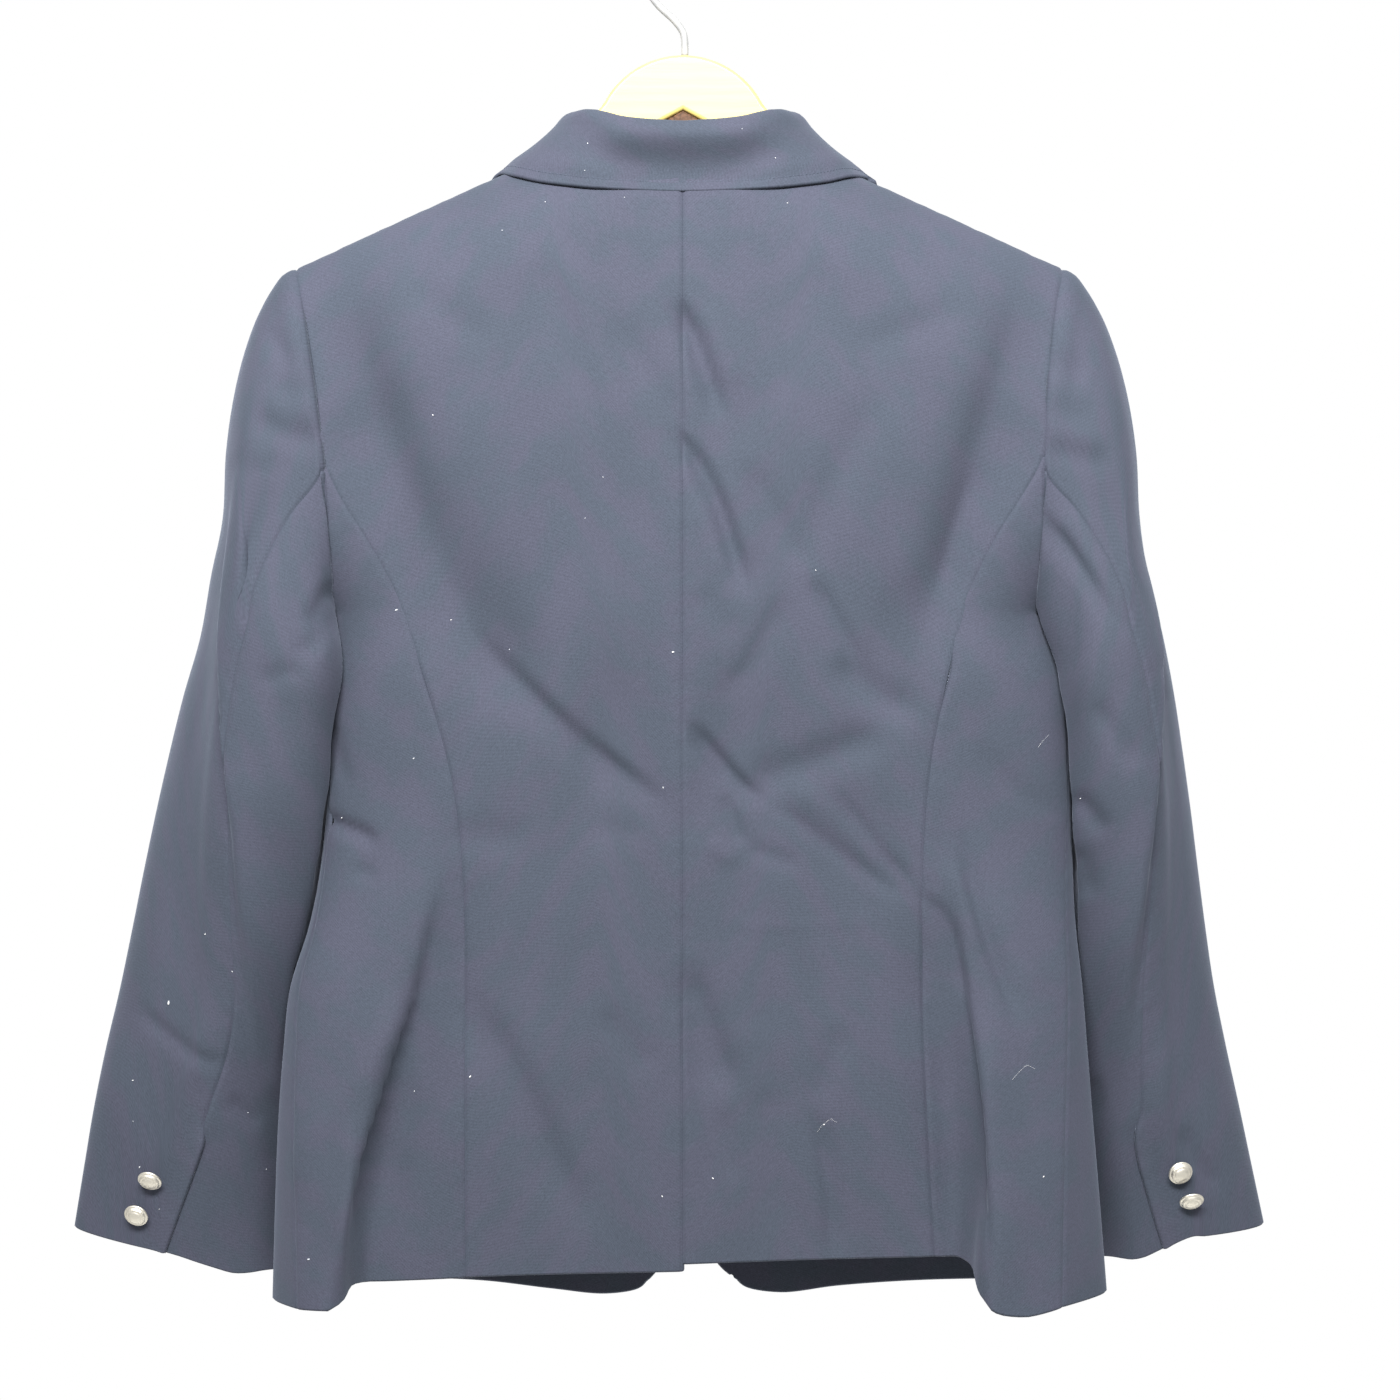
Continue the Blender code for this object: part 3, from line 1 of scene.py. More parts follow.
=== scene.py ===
"""A school blazer on a plain wooden hanger, seen from behind.

The jacket is a navy worsted twill, cut for a girl or a woman: two backs, two side bodies, two fronts
with lapels, a collar, two-piece sleeves and domed metal buttons. Each piece is a thin shell on the form
of its solid, with its seams, stitches and creases. Sizes in the tables are millimetres.
"""

from math import asin, atan2, copysign, cos, degrees, exp, hypot, pi, radians, sin, sqrt

import bmesh
import bpy
import numpy as np
from bpy.props import FloatProperty, FloatVectorProperty, PointerProperty
from bpy.types import Operator, Panel, PropertyGroup
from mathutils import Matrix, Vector
from mathutils.bvhtree import BVHTree
from numpy.linalg import norm


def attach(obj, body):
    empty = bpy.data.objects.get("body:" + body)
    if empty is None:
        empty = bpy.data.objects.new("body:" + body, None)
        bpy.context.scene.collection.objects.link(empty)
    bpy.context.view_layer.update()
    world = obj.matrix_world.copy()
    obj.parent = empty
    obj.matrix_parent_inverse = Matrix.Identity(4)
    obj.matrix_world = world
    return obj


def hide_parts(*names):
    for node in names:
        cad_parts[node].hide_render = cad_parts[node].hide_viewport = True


bl_info = {
    "name": "School blazer",
    "version": (1, 0, 0),
    "blender": (4, 5, 0),
    "location": "3D View > Sidebar > Blazer",
    "description": "Dresses the solids of a school blazer on its hanger",
    "category": "Object",
}

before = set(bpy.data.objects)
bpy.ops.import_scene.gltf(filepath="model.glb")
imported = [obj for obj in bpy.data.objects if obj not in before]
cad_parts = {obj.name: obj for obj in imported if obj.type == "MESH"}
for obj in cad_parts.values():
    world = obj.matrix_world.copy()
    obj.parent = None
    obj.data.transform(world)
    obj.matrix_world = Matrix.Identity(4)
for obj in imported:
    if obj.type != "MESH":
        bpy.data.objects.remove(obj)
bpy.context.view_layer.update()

MM = 0.001
LEFT, RIGHT = 1, -1
SIDE_NAMES = {LEFT: "left", RIGHT: "right"}

# Cloth
WALL = 2.0  # shell cloth with its canvas and lining
SLEEVE_WALL = 1.8
COLLAR_WALL = 2.4  # two layers and interfacing
SEAM_GAP = 0.3  # between neighbouring pieces

# Mesh density: segments along each edge that two pieces share
BACK_ARMHOLE_STEPS = 7
PRINCESS_STEPS = 11
SIDE_STEPS = 14
FRONT_ARMHOLE_STEPS = 11
NECK_STEPS = 3
SHOULDER_STEPS = 4
FRONT_STEPS = 10
SLEEVE_CAP_STEPS = 6
SLEEVE_STEPS = 12
ROLL_SPACING = 2.2  # crowds the rows towards the shoulder line, where the cloth rolls over

# Body: level sections of the closed jacket. Above the armpit the half widths come from the armhole.
SECTIONS = [
    ("z", "left", "right", "back", "front", "square"),
    (-90, 0, 0, 40, 33, 2.6),
    (-180, 0, 0, 49, 42, 2.6),
    (-290, 0, 0, 54, 50, 2.6),
    (-375, 196, 199, 53, 53, 2.6),
    (-417, 197, 213, 50, 52, 2.7),
    (-477, 199, 217, 46, 50, 2.8),
    (-534, 205, 218, 43, 49, 3),
    (-590, 219, 222, 42, 49, 3.3),
    (-660, 222.5, 225, 42, 50, 3.7),
    (-765, 223.5, 231, 42, 52, 4),
]

# Shoulder line, from the neck point down to the shoulder tip
NECK_POINT_X = 72.0
SHOULDER_TIP = {LEFT: 217.0, RIGHT: 212.5}
SHOULDER_TIP_Z = -181.0
SHOULDER_SLOPE = 0.46
SHOULDER_SOFTENING = 25.0  # rounds the line where its two halves meet above the neck
SHOULDER_ROLL = (45.0, 95.0)  # height over which the cloth rolls over the hanger: at the neck, at the tip

# Armhole, seen from behind
ARMPIT_Z = -375.0
ARMPIT = np.array([0.5 * pi, ARMPIT_Z])  # its angle and height, on the side seam
ARMHOLE_MIDDLE_Z = -290.0
ARMHOLE_DEPTH_SHARE = 0.74  # how far the armhole stands back and front, as a share of the body's depth
FRONT_SCOOP = 7.0  # the front armhole is cut this much further in
ARMHOLE = [
    ("z", "left", "right"),
    (-181, 217, 212.5),
    (-201, 212.5, 208),
    (-224, 208.3, 204.7),
    (-247, 204.5, 202),
    (-269, 201.3, 200),
    (-297, 197.6, 198.6),
    (-335, 196, 198.6),
    (-375, 196, 199),
]

# Princess seams, from the armhole down the back to the hem
PRINCESS = [
    ("z", "left", "right"),
    (-287.5, 198.6, 199),
    (-314, 187.5, 184.5),
    (-352, 164.5, 162.5),
    (-401, 145.5, 147),
    (-455, 129.5, 137),
    (-510, 120.5, 131),
    (-586, 120, 132),
    (-745, 119, 139),
]
PRINCESS_TOP = PRINCESS[1][0]
PRINCESS_BEND_Z = -395.0  # above it the seam curves, below it runs nearly straight
PRINCESS_BEND_SHARE = 0.4  # of the seam's steps that lie above the bend

# Side seams, as a share of the half width: just behind the widest point
SIDE_SEAM = [
    ("z", "left", "right"),
    (-375, 1, 1),
    (-480, 0.990, 0.985),
    (-600, 0.960, 0.945),
    (-765, 0.930, 0.885),
]

# Flares: below the waist the side bodies swing out behind the straight middle of the back
FLARES = [
    ("z", "in_left", "in_right", "rise_left", "rise_right", "blend", "kick"),
    (-500, 124, 130, 0, 0, 44, 0),
    (-560, 141, 145, 8, 9, 34, 2),
    (-620, 157, 154, 18, 21, 24, 3),
    (-690, 173, 156, 28, 31, 17, 4.5),
    (-755, 184, 158, 36, 40, 14, 5),
]

# Hem height by the share of the way from centre back (0) to centre front (1)
HEM = [
    ("share", "left", "right"),
    (0, -735, -731),
    (0.120, -737, -728),
    (0.196, -740, -727),
    (0.208, -740.5, -748),
    (0.222, -741, -753),
    (0.238, -742, -754),
    (0.250, -752, -753),
    (0.300, -753, -748),
    (0.500, -753, -748),
    (0.700, -753, -752),
    (0.800, -754, -755),
    (0.860, -757, -757),
    (0.920, -763, -763),
    (1, -765, -764.5),
    (1.100, -765, -764.5),
]

# Drag folds across the back: troughs where the cloth hangs slack, with the side they lie on
BACK_FOLDS = [
    # x1     z1      x2     z2      depth  width
    (168, -262, 92, -402, 5, 21),
    (92, -402, 12, -482, 4.5, 13),
    (-172, -270, -112, -400, 5, 20),
    (-18, -250, -52, -318, 2.5, 9),
    (-60, -452, -14, -436, 2.5, 12),
    (-14, -446, -120, -536, 3, 10),
]

# Fronts
FRONT_OVERLAP = 18.0  # each front passes centre front by this much
LAYER_STEP = 3.0  # the under front lies this far inside the top one
LAPEL_CROSSING_STEP = 6.5  # and this much more where its lapel tucks in
LAPEL_CROSSING = (-300.0, -345.0, -400.0, -425.0)
LAYER_HEIGHTS = (-250.0, -310.0)  # the step starts below the first and is full below the second
LAYER_WIDTHS = (26.0, 64.0)  # full inside the first, gone beyond the second
BACK_NECK_Z = -131.0
FRONT_NECK = (71.0, -148.5)
ROLL_TOP = (66.0, -152.5)
BREAK_POINT_Z = -405.0
FRONT_EDGE_STRAIGHT_TO = -590.0
FRONT_CORNER = {LEFT: (22.0, -757.0), RIGHT: (31.0, -756.0)}
CORNER_ROUNDING = 18.0
CUTAWAY = [(0.05, -630.0), (0.17, -670.0), (0.36, -705.0), (0.60, -733.0), (0.80, -748.0)]

# Lapels and collar
GORGE_NOTCH = (100.5, -179.0)
LAPEL_PEAK = (125.0, -199.0)
LAPEL_BELLY = 6.0
ROLL_LIFT, EDGE_LIFT = 3.8, 2.4  # height of the turned cloth's middle over the front
LAPEL_COLUMNS, LAPEL_ROWS, ROLL_COLUMNS = 6, 11, 4

COLLAR = [
    ("share", "neck_x", "neck_z", "roll_x", "roll_y", "roll_z", "edge_x", "edge_z"),
    (0, 0, -131, 0, 46.5, -112, 0, -145),
    (0.200, 28, -128.5, 30, 44, -109.5, 45, -143.5),
    (0.400, 60, -120.5, 53, 27, -101.5, 82.5, -137.5),
    (0.550, 72, -116.2, 64, 4, -101, 103.5, -129.5),
    (0.750, 72, -131, 66.5, -20, -119, 112.5, -148.5),
    (1, 71, -148, 65, -37.5, -149.5, 121, -170),
]
COLLAR_SHOULDER_SHARE = 0.55
COLLAR_ROLL = (3.6, 2.5)  # radius of the fold at centre back and at the front end
COLLAR_NOTCH_SHARE = 0.62
COLLAR_LEAF_SHARES = (0.0, 0.2, 0.41, COLLAR_NOTCH_SHARE, 0.81, 1.0)
COLLAR_STEPS = 13
COLLAR_BACK_LIFT = 3.6
STAND_GAP = 0.7
ROLL_GAP = 0.5

# Sleeves: level sections. outer, inner and the seams are distances from the middle of the body. Each
# section leans inwards at the back, and beyond a ridge its far half drops away from the near half.
SLEEVES = {
    LEFT: [
        ("z", "outer", "inner", "y", "deep", "lean", "tilt", "hind", "ridge", "drop", "sag"),
        (-318, 259, 197, -1, 55, 8, 0, 214, 246, 2, 0),
        (-350, 268, 193, -3, 57, 16, 0.01, 226, 250, 6, 0),
        (-383, 275.5, 190, -5, 57, 22, 0.02, 236.5, 252, 11, 0),
        (-430, 289, 192, -9, 54, 24, 0.05, 245.5, 252, 14, 0),
        (-480, 300, 195, -14, 50, 18, 0.08, 251, 251.5, 16, 0),
        (-520, 308, 198, -20, 46, 12, 0.10, 251, 251, 15, 0),
        (-590, 321.5, 212, -32, 42, 4, 0.15, 250, 250, 9, 0),
        (-655, 335.5, 222, -40, 36, 0, 0.19, 268, 262, 3, 0.05),
        (-737, 349.5, 228, -46, 24, 0, 0.21, 297, 285, 0, 0.13),
    ],
    RIGHT: [
        ("z", "outer", "inner", "y", "deep", "lean", "tilt", "hind", "ridge", "drop", "sag"),
        (-318, 256.5, 197.5, -1, 55, 6, 0, 218, 250, 2, 0),
        (-350, 263, 199, -3, 57, 12, 0.01, 232, 253, 4, 0),
        (-383, 272, 203, -5, 56, 14, 0.02, 243, 257, 7, 0),
        (-430, 281.5, 211, -9, 54, 14, 0.05, 252.5, 259.5, 10, 0),
        (-480, 288, 210, -14, 50, 8, 0.08, 259.5, 260, 12, 0),
        (-520, 293, 211, -20, 47, 4, 0.10, 259.5, 259.5, 12, 0),
        (-590, 303, 216, -32, 43, 0, 0.14, 256.5, 256.5, 9, 0),
        (-655, 317, 224, -40, 38, 0, 0.13, 256.5, 257, 3, 0.15),
        (-727, 333, 236.5, -46, 28, 0, 0.10, 275, 270, 0, 0.38),
    ],
}
FORE_SEAM_SHARE = 0.30  # of the way from a sleeve's inner edge to its outer edge, in front
CUFF_CURL = 9.0  # the hem rises this much at the inner edge
CUFF_CURL_HEIGHTS = (-640.0, -730.0)
SLEEVE_CLEARANCE = 3.0  # between a sleeve and the side of the body it hangs against
HIND_SEAM_POINT = 8  # counted round the armhole from the shoulder tip, back first
FORE_SEAM_POINT = 24
UNDER_ARM_LEVEL = -414.0  # the sleeve's head ends here under the arm, and at its first section outside
HEAD_LEAVES = (0.69, 0.27)  # out and down, at the shoulder tip
UNDER_ARM_LEAVES = (0.45, 0.90)
HEAD_PULL = ((0.30, 0.30), (0.16, 0.50))  # at the armhole and the arm: first under the arm, then at the tip

# Buttons: a dome on a shank. x is the distance from the middle, tilt the angle it droops by.
SHANK_RADIUS = 1.6
SHANK_LENGTH = 3.4
CUFF_BUTTON = 14.0
CUFF_BUTTONS = {
    # x      z       tilt
    LEFT: [(299.5, -691.0, 30.0), (308.0, -712.0, 20.0)],
    RIGHT: [(278.5, -687.0, 12.0), (285.5, -701.5, 38.0)],
}
FRONT_BUTTON = 20.0
FRONT_BUTTONS_Z = (-432.0, -520.0)

# Hanger: half outline of the board. Past the neck its top edge follows the shoulder line.
BOARD_THICKNESS = 14.0
BOARD_BEVEL = 2.5
BOARD_CLEARANCE = 3.1
BOARD_DROP = 1.4  # more towards the end, where the cloth rolls over more tightly
BOARD_DROP_X = (140.0, 190.0)
DOME_PEAK_Z = -62.7
DOME_RADIUS = 50.0
DOME_STEPS = 12
DOME_END = 62.0  # degrees from the peak
BOARD_NECK = [(52.5, -99.5), (59.0, -110.5), (65.0, -119.8)]
BOARD_TOP_X = (76.0, 106.0, 140.0, 174.0, 196.0)
BOARD_END_X = 203.0
BOARD_HEIGHT = (27.0, 16.0)  # below the neck, at the end
BOARD_NOTCH = [(0.0, -93.5), (22.0, -106.0)]
HOOK_WIRE = 4.0
HOOK_RADIUS = 20.5  # to the middle of the wire
HOOK_END = 205.0  # degrees, past the top, where the tip stops
HOOK_JOIN = -42.0  # degrees, where the stem runs into the loop
HOOK_STEM = [(-1.0, -62.2), (-1.0, -56.0), (-0.4, -50.5), (2.6, -45.0)]

# Looks
NAVY = "#3d434e"
PLUM = "#414350"  # the navy's other shade, in soft patches
KEY_POWER = 34.0
SKY_STRENGTH = 1.0
ROOM_LOW, ROOM_HIGH = 0.10, 0.90  # strength of the room's light, below and above
VIEW_X, VIEW_Z = -9.5, -422.8  # middle of the picture
PHOTO_MIDDLE = 700.0  # pixels
PHOTO_MM = 0.543  # one pixel of the photo, on the back
SENSOR_MM = 36.0  # of the camera, in width
FLOOR_HALF = 3.0  # metres
LIGHTS = (
    # name, place (m), size (m), share of the key light, height it is aimed at (m), spread (degrees)
    ("key_light", (0.14, 1.9, 0.9), (1.6, 0.5), 1.0, 0.03, 78.0),
    ("front_light", (0.3, -1.7, 0.0), (1.6, 1.2), 0.5, -0.42, 180.0),
)
ARMPIT_PRESS = [
    # middle height, half height, reach: the sleeve's cloth lies against the body under the arm
    (-318, 22, 2.6),
    (-344, 24, 3),
    (-374, 26, 3.4),
    (-394, 24, 4.6),
]
SIDE_TIP = 2.4  # the side body's point at the armhole is cut off this far down
LEAF_BEND, LEAF_REACH = 2.2, 13.0  # the collar's free edge bends back towards the jacket
HEAD_PUFF = 1.2  # the sleeve head stands over the armhole seam
VENT_LAP, VENT_OVERLAP = 5.0, 3.0  # width of the raised edge of the cuff's vent, and how far it laps
COLLAR_END_STITCH = 26.0  # the stitching turns the collar's corner and runs this far
LAPEL_END_STITCH = 26.0
STITCH_RADII = (0.35, 0.5, 0.5, 0.35)  # along one stitch, as shares of the thread
# Place along one stitch, as a share of the pitch, and height in threads
STITCH_ARC = ((-0.40, -0.35), (-0.24, 0.25), (0.24, 0.25), (0.40, -0.35))
# Place along a speck of lint, as a share of its size, and height over the cloth
LINT_ARC = ((-0.6, 0.0), (-0.15, 0.1), (0.3, 0.12), (0.6, 0.02))
HAIR_MM = 0.08
LINT = [
    # pixels of the photo, size in mm, turn
    (393, 609, 1.2, 0.4), (335, 820, 1.0, 1.2), (816, 570, 0.6, 2.0), (1087, 800, 0.9, 0.7),
    (587, 139, 0.7, 1.9), (584, 167, 0.6, 0.3), (788, 200, 0.7, 0.1), (742, 128, 0.6, 1.4),
    (776, 154, 0.5, 2.2), (624, 195, 0.6, 2.8), (544, 198, 0.6, 0.9), (501, 227, 0.7, 0.5),
    (603, 477, 0.6, 2.4), (585, 518, 0.6, 1.1), (448, 619, 0.7, 0.2), (508, 649, 0.7, 1.7),
    (432, 414, 0.9, 2.6), (411, 759, 0.9, 0.6), (663, 788, 0.9, 1.5), (673, 652, 1.2, 0.1),
    (411, 1096, 0.7, 1.3), (468, 1080, 1.2, 0.8), (662, 1200, 0.9, 2.1), (825, 1128, 0.8, 0.7),
    (713, 1182, 1.0, 2.5), (1043, 1176, 1.0, 1.0), (309, 1259, 1.3, 0.3), (111, 1095, 0.9, 0.3),
    (111, 1138, 0.6, 2.0), (117, 1186, 1.0, 1.2), (137, 1230, 0.6, 0.5), (231, 1128, 0.6, 2.7),
    (247, 1190, 0.7, 1.6), (151, 1013, 2.0, 1.5), (193, 940, 0.9, 0.6), (221, 978, 0.8, 2.3),
]
HAIRS = [
    [(1043, 748), (1048, 742), (1055, 735)],
    [(818, 1136), (824, 1128), (832, 1122), (838, 1126)],
    [(1012, 1080), (1020, 1072), (1028, 1066), (1036, 1070)],
]
BUTTON_SIDES = 60
BUTTON_ROPES = 22
BUTTON_RINGS = [
    # share of the radius, height over the back, rope height
    (0.90, 0.0, 0.0), (0.98, 0.25, 0.0), (1.0, 0.6, 0.0), (0.985, 1.0, 0.0), (0.95, 1.3, 0.0),
    (0.90, 1.42, 0.0), (0.86, 1.45, 0.0), (0.83, 1.75, 0.0), (0.79, 2.15, 0.10), (0.74, 2.55, 0.16),
    (0.69, 2.85, 0.10), (0.65, 2.85, 0.0), (0.61, 2.80, 0.0), (0.57, 3.10, 0.0), (0.50, 3.45, 0.0),
    (0.40, 3.75, 0.0), (0.28, 3.98, 0.0), (0.15, 4.12, 0.0), (0.06, 4.17, 0.0),
]


# Small mathematics

def from_photo(x, y):
    """Where a pixel of the photo lies on the jacket's back, as x and z in mm."""
    return VIEW_X + (PHOTO_MIDDLE - x) * PHOTO_MM, VIEW_Z + (PHOTO_MIDDLE - y) * PHOTO_MM


def clamp(value, low=0.0, high=1.0):
    return max(low, min(high, value))


def mix(a, b, t):
    return a + (b - a) * t


def ease(t):
    t = clamp(t)
    return t * t * (3.0 - 2.0 * t)


def unit(vector):
    return vector / max(norm(vector), 1e-12)


def read(table, name, at):
    """A column's value at a place between rows, on a smooth curve that never overshoots its rows. The
    first row of a table names its columns."""
    k = table[0].index(name)
    rows = table[1:] if table[1][0] < table[-1][0] else table[:0:-1]
    xs = [row[0] for row in rows]
    ys = [row[k] for row in rows]
    if at <= xs[0]:
        return ys[0]
    if at >= xs[-1]:
        return ys[-1]
    i = next(n for n in range(len(xs) - 1) if at <= xs[n + 1])

    def slope(n):
        if n <= 0 or n >= len(xs) - 1:
            m = max(0, min(len(xs) - 2, n if n <= 0 else n - 1))
            return (ys[m + 1] - ys[m]) / (xs[m + 1] - xs[m])
        before = (ys[n] - ys[n - 1]) / (xs[n] - xs[n - 1])
        after = (ys[n + 1] - ys[n]) / (xs[n + 1] - xs[n])
        if before * after <= 0.0:
            return 0.0
        return 2.0 * before * after / (before + after)

    step = xs[i + 1] - xs[i]
    return hermite(ys[i], slope(i) * step, ys[i + 1], slope(i + 1) * step, (at - xs[i]) / step)


def hermite(a, leave, b, arrive, t):
    """A place on the smooth curve from a to b with these slopes at its ends."""
    return (
        a * (1 + 2 * t) * (1 - t) ** 2
        + leave * t * (1 - t) ** 2
        + b * t * t * (3 - 2 * t)
        - arrive * t * t * (1 - t)
    )


def smooth_line(points, steps):
    """Points evenly spaced along a soft curve through the given ones."""
    points = [np.array(p, float) for p in points]
    lengths = [0.0]
    for a, b in zip(points, points[1:]):
        lengths.append(lengths[-1] + norm(b - a))
    axes = range(len(points[0]))
    table = [("at", *axes)] + [(s, *p) for s, p in zip(lengths, points)]
    places = [lengths[-1] * n / steps for n in range(steps + 1)]
    return [np.array([read(table, axis, place) for axis in axes]) for place in places]


def fill(top, bottom, left, right):
    """Coons patch: a grid of parameter points from four edges that meet at the corners."""
    def shares(edge):
        run = [0.0]
        for a, b in zip(edge, edge[1:]):
            run.append(run[-1] + max(norm(b - a), 1e-9))
        return [s / run[-1] for s in run]

    across = [mix(a, b, 0.5) for a, b in zip(shares(top), shares(bottom))]
    down = [mix(a, b, 0.5) for a, b in zip(shares(left), shares(right))]
    return [[
        (1 - v) * top[j] + v * bottom[j] + (1 - u) * left[i] + u * right[i]
        - (1 - u) * (1 - v) * top[0] - u * (1 - v) * top[-1]
        - (1 - u) * v * bottom[0] - u * v * bottom[-1]
        for j, u in enumerate(across)
    ] for i, v in enumerate(down)]


# The body's surface

def shoulder_z(side, x):
    """Height of the shoulder line at a distance from the middle."""
    reach = hypot(x, SHOULDER_SOFTENING)
    return SHOULDER_TIP_Z + SHOULDER_SLOPE * (SHOULDER_TIP[side] - reach)


def shoulder_roll(side, x):
    return mix(*SHOULDER_ROLL, clamp(abs(x) / SHOULDER_TIP[side]))


def armhole_x(side, z, front=False):
    x = read(ARMHOLE, SIDE_NAMES[side], z)
    if front:
        x -= FRONT_SCOOP * sin(pi * clamp((z - ARMPIT_Z) / (SHOULDER_TIP_Z - ARMPIT_Z)))
    return x


def half_width(side, z):
    """Half width of the closed body. Above the armpit it is the width at which the surface passes
    through the armhole's edge."""
    if z <= ARMPIT_Z:
        return read(SECTIONS, SIDE_NAMES[side], z)
    square = read(SECTIONS, "square", z)
    below = clamp((ARMHOLE_MIDDLE_Z - z) / (ARMHOLE_MIDDLE_Z - ARMPIT_Z))
    return armhole_x(side, z) / rounded(ARMHOLE_DEPTH_SHARE * sqrt(1.0 - below * below), square)


def rounded(share, square):
    """The other half axis' share on a squarish oval, where one half axis has this share."""
    return (1.0 - share**square) ** (1.0 / square)


def angle_of(side, x, z, front=False):
    """Angle round the body, from centre back, of the point at this width and height."""
    share = clamp(abs(x) / half_width(side, z))
    angle = copysign(atan2(share, rounded(share, read(SECTIONS, "square", z))), x)
    return pi - angle if front else angle


def back_fold(x, z):
    """Depth of the drag folds at a place on the back."""
    total = 0.0
    for x1, z1, x2, z2, depth, width in BACK_FOLDS:
        run = np.array([x2 - x1, z2 - z1])
        length = norm(run)
        along = np.dot([x - x1, z - z1], run) / length
        off = float((x - x1) * run[1] - (z - z1) * run[0]) / length
        ends = ease((along + width) / (2 * width)) * ease((length + width - along) / (2 * width))
        total += depth * ends * exp(-((off / width) ** 2))
    return total


def body_point(side, angle, drop=None, z=None):
    """A point of the body. angle runs from centre back (0) by the side to centre front (pi).
    Its height is z, or the drop below the shoulder line."""
    level = z if z is not None else shoulder_z(side, 0.0) - drop
    for _ in range(3):
        square = read(SECTIONS, "square", level)
        s, c = sin(angle), cos(angle)
        size = (abs(s) ** square + abs(c) ** square) ** (-1.0 / square)
        x = half_width(side, level) * s * size
        line = shoulder_z(side, x)
        if z is not None:
            break
        level = line - drop
    depth_share = c * size
    below = clamp((line - level) / shoulder_roll(side, x))
    roll = sqrt(1.0 - (1.0 - below) ** 2)
    if depth_share >= 0.0:
        depth = read(SECTIONS, "back", level)
        inner = read(FLARES, "in_" + SIDE_NAMES[side], level)
        rise = read(FLARES, "rise_" + SIDE_NAMES[side], level)
        depth += rise * ease((x - inner) / read(FLARES, "blend", level) + 0.5)
        x += read(FLARES, "kick", level) * sin(pi * ease(depth_share / 0.9)) * s
        y = depth * depth_share * roll
        y -= back_fold(side * x, level) * ease(depth_share / 0.45) * ease((line - level) / 40.0)
    else:
        y = read(SECTIONS, "front", level) * depth_share * roll + layer_step(side, x, level)
    return np.array([side * x, y, level])


def layer_step(side, x, z):
    """How far inside the top front the under front lies. The wearer's right front is on top."""
    if side == RIGHT:
        return 0.0
    top, upper, lower, bottom = LAPEL_CROSSING
    crossing = ease((z - bottom) / (lower - bottom)) * ease((z - top) / (upper - top))
    start = ease((LAYER_HEIGHTS[0] - z) / (LAYER_HEIGHTS[0] - LAYER_HEIGHTS[1]))
    near = ease((LAYER_WIDTHS[1] - x) / (LAYER_WIDTHS[1] - LAYER_WIDTHS[0]))
    return near * start * (LAYER_STEP + LAPEL_CROSSING_STEP * crossing)


def body_normal(side, angle, z):
    """Outward normal, from neighbouring points at the same drop below the shoulder line."""
    x = side * body_point(side, angle, z=z)[0]
    drop = max(shoulder_z(side, x) - z, 0.0)
    turn, fall = 0.004, 0.02 + 0.2 * ease(drop / 30.0)
    low = max(drop - fall, 0.0)
    around = body_point(side, angle + turn, drop=drop) - body_point(side, angle - turn, drop=drop)
    down = body_point(side, angle, drop=drop + fall) - body_point(side, angle, drop=low)
    return side * unit(np.cross(around, down))


def on_body(side, x, z, front=False, lift=0.0):
    """The body's surface at a width and height, moved out by lift."""
    z = min(z, shoulder_z(side, x) - 0.001)
    angle = angle_of(side, x, z, front)
    point = body_point(side, angle, z=z)
    if lift:
        point = point + lift * body_normal(side, angle, z)
    return point


# Seam lines, as (angle, z) on the body

def line_at(side, x, z, front=False):
    return np.array([angle_of(side, x, z, front), z])


def points_along(steps, place):
    """The places that a function gives for evenly spread shares, from 0 to 1."""
    return [place(n / steps) for n in range(steps + 1)]


def neck_points(side):
    """The back neck, from centre back to the neck point."""
    def place(share):
        share = sin(0.5 * pi * share)
        x = NECK_POINT_X * share
        z = mix(BACK_NECK_Z, shoulder_z(side, NECK_POINT_X), share**2.4)
        return line_at(side, x, min(z, shoulder_z(side, x)))

    return points_along(NECK_STEPS, place)


def shoulder_points(side, front=False):
    """The shoulder seam, from the neck point to the tip."""
    def place(share):
        x = mix(NECK_POINT_X, SHOULDER_TIP[side], share)
        return line_at(side, x, shoulder_z(side, x), front)

    return points_along(SHOULDER_STEPS, place)


def armhole_points(side, end, steps, front=False):
    """The armhole, from the shoulder tip down the back or the front to a height."""
    def place(share):
        z = mix(shoulder_z(side, SHOULDER_TIP[side]), end, share**ROLL_SPACING)
        return line_at(side, armhole_x(side, z, front), z, front)

    return points_along(steps, place)


def back_armhole_points(side):
    """From the shoulder tip down to where the princess seam starts."""
    return armhole_points(side, PRINCESS_TOP, BACK_ARMHOLE_STEPS)


def princess_points(side):
    """The princess seam, from the armhole down to the hem."""
    foot_x = read(PRINCESS, SIDE_NAMES[side], PRINCESS[-1][0])
    foot = hem_z(side, angle_of(side, foot_x, HEM[1][1]))

    def place(share):
        if share < PRINCESS_BEND_SHARE:
            z = mix(PRINCESS_TOP, PRINCESS_BEND_Z, share / PRINCESS_BEND_SHARE)
        else:
            z = mix(PRINCESS_BEND_Z, foot, (share - PRINCESS_BEND_SHARE) / (1.0 - PRINCESS_BEND_SHARE))
        x = read(PRINCESS, SIDE_NAMES[side], z)
        return line_at(side, min(x, armhole_x(side, z)) if z > ARMPIT_Z else x, z)

    return points_along(PRINCESS_STEPS, place)


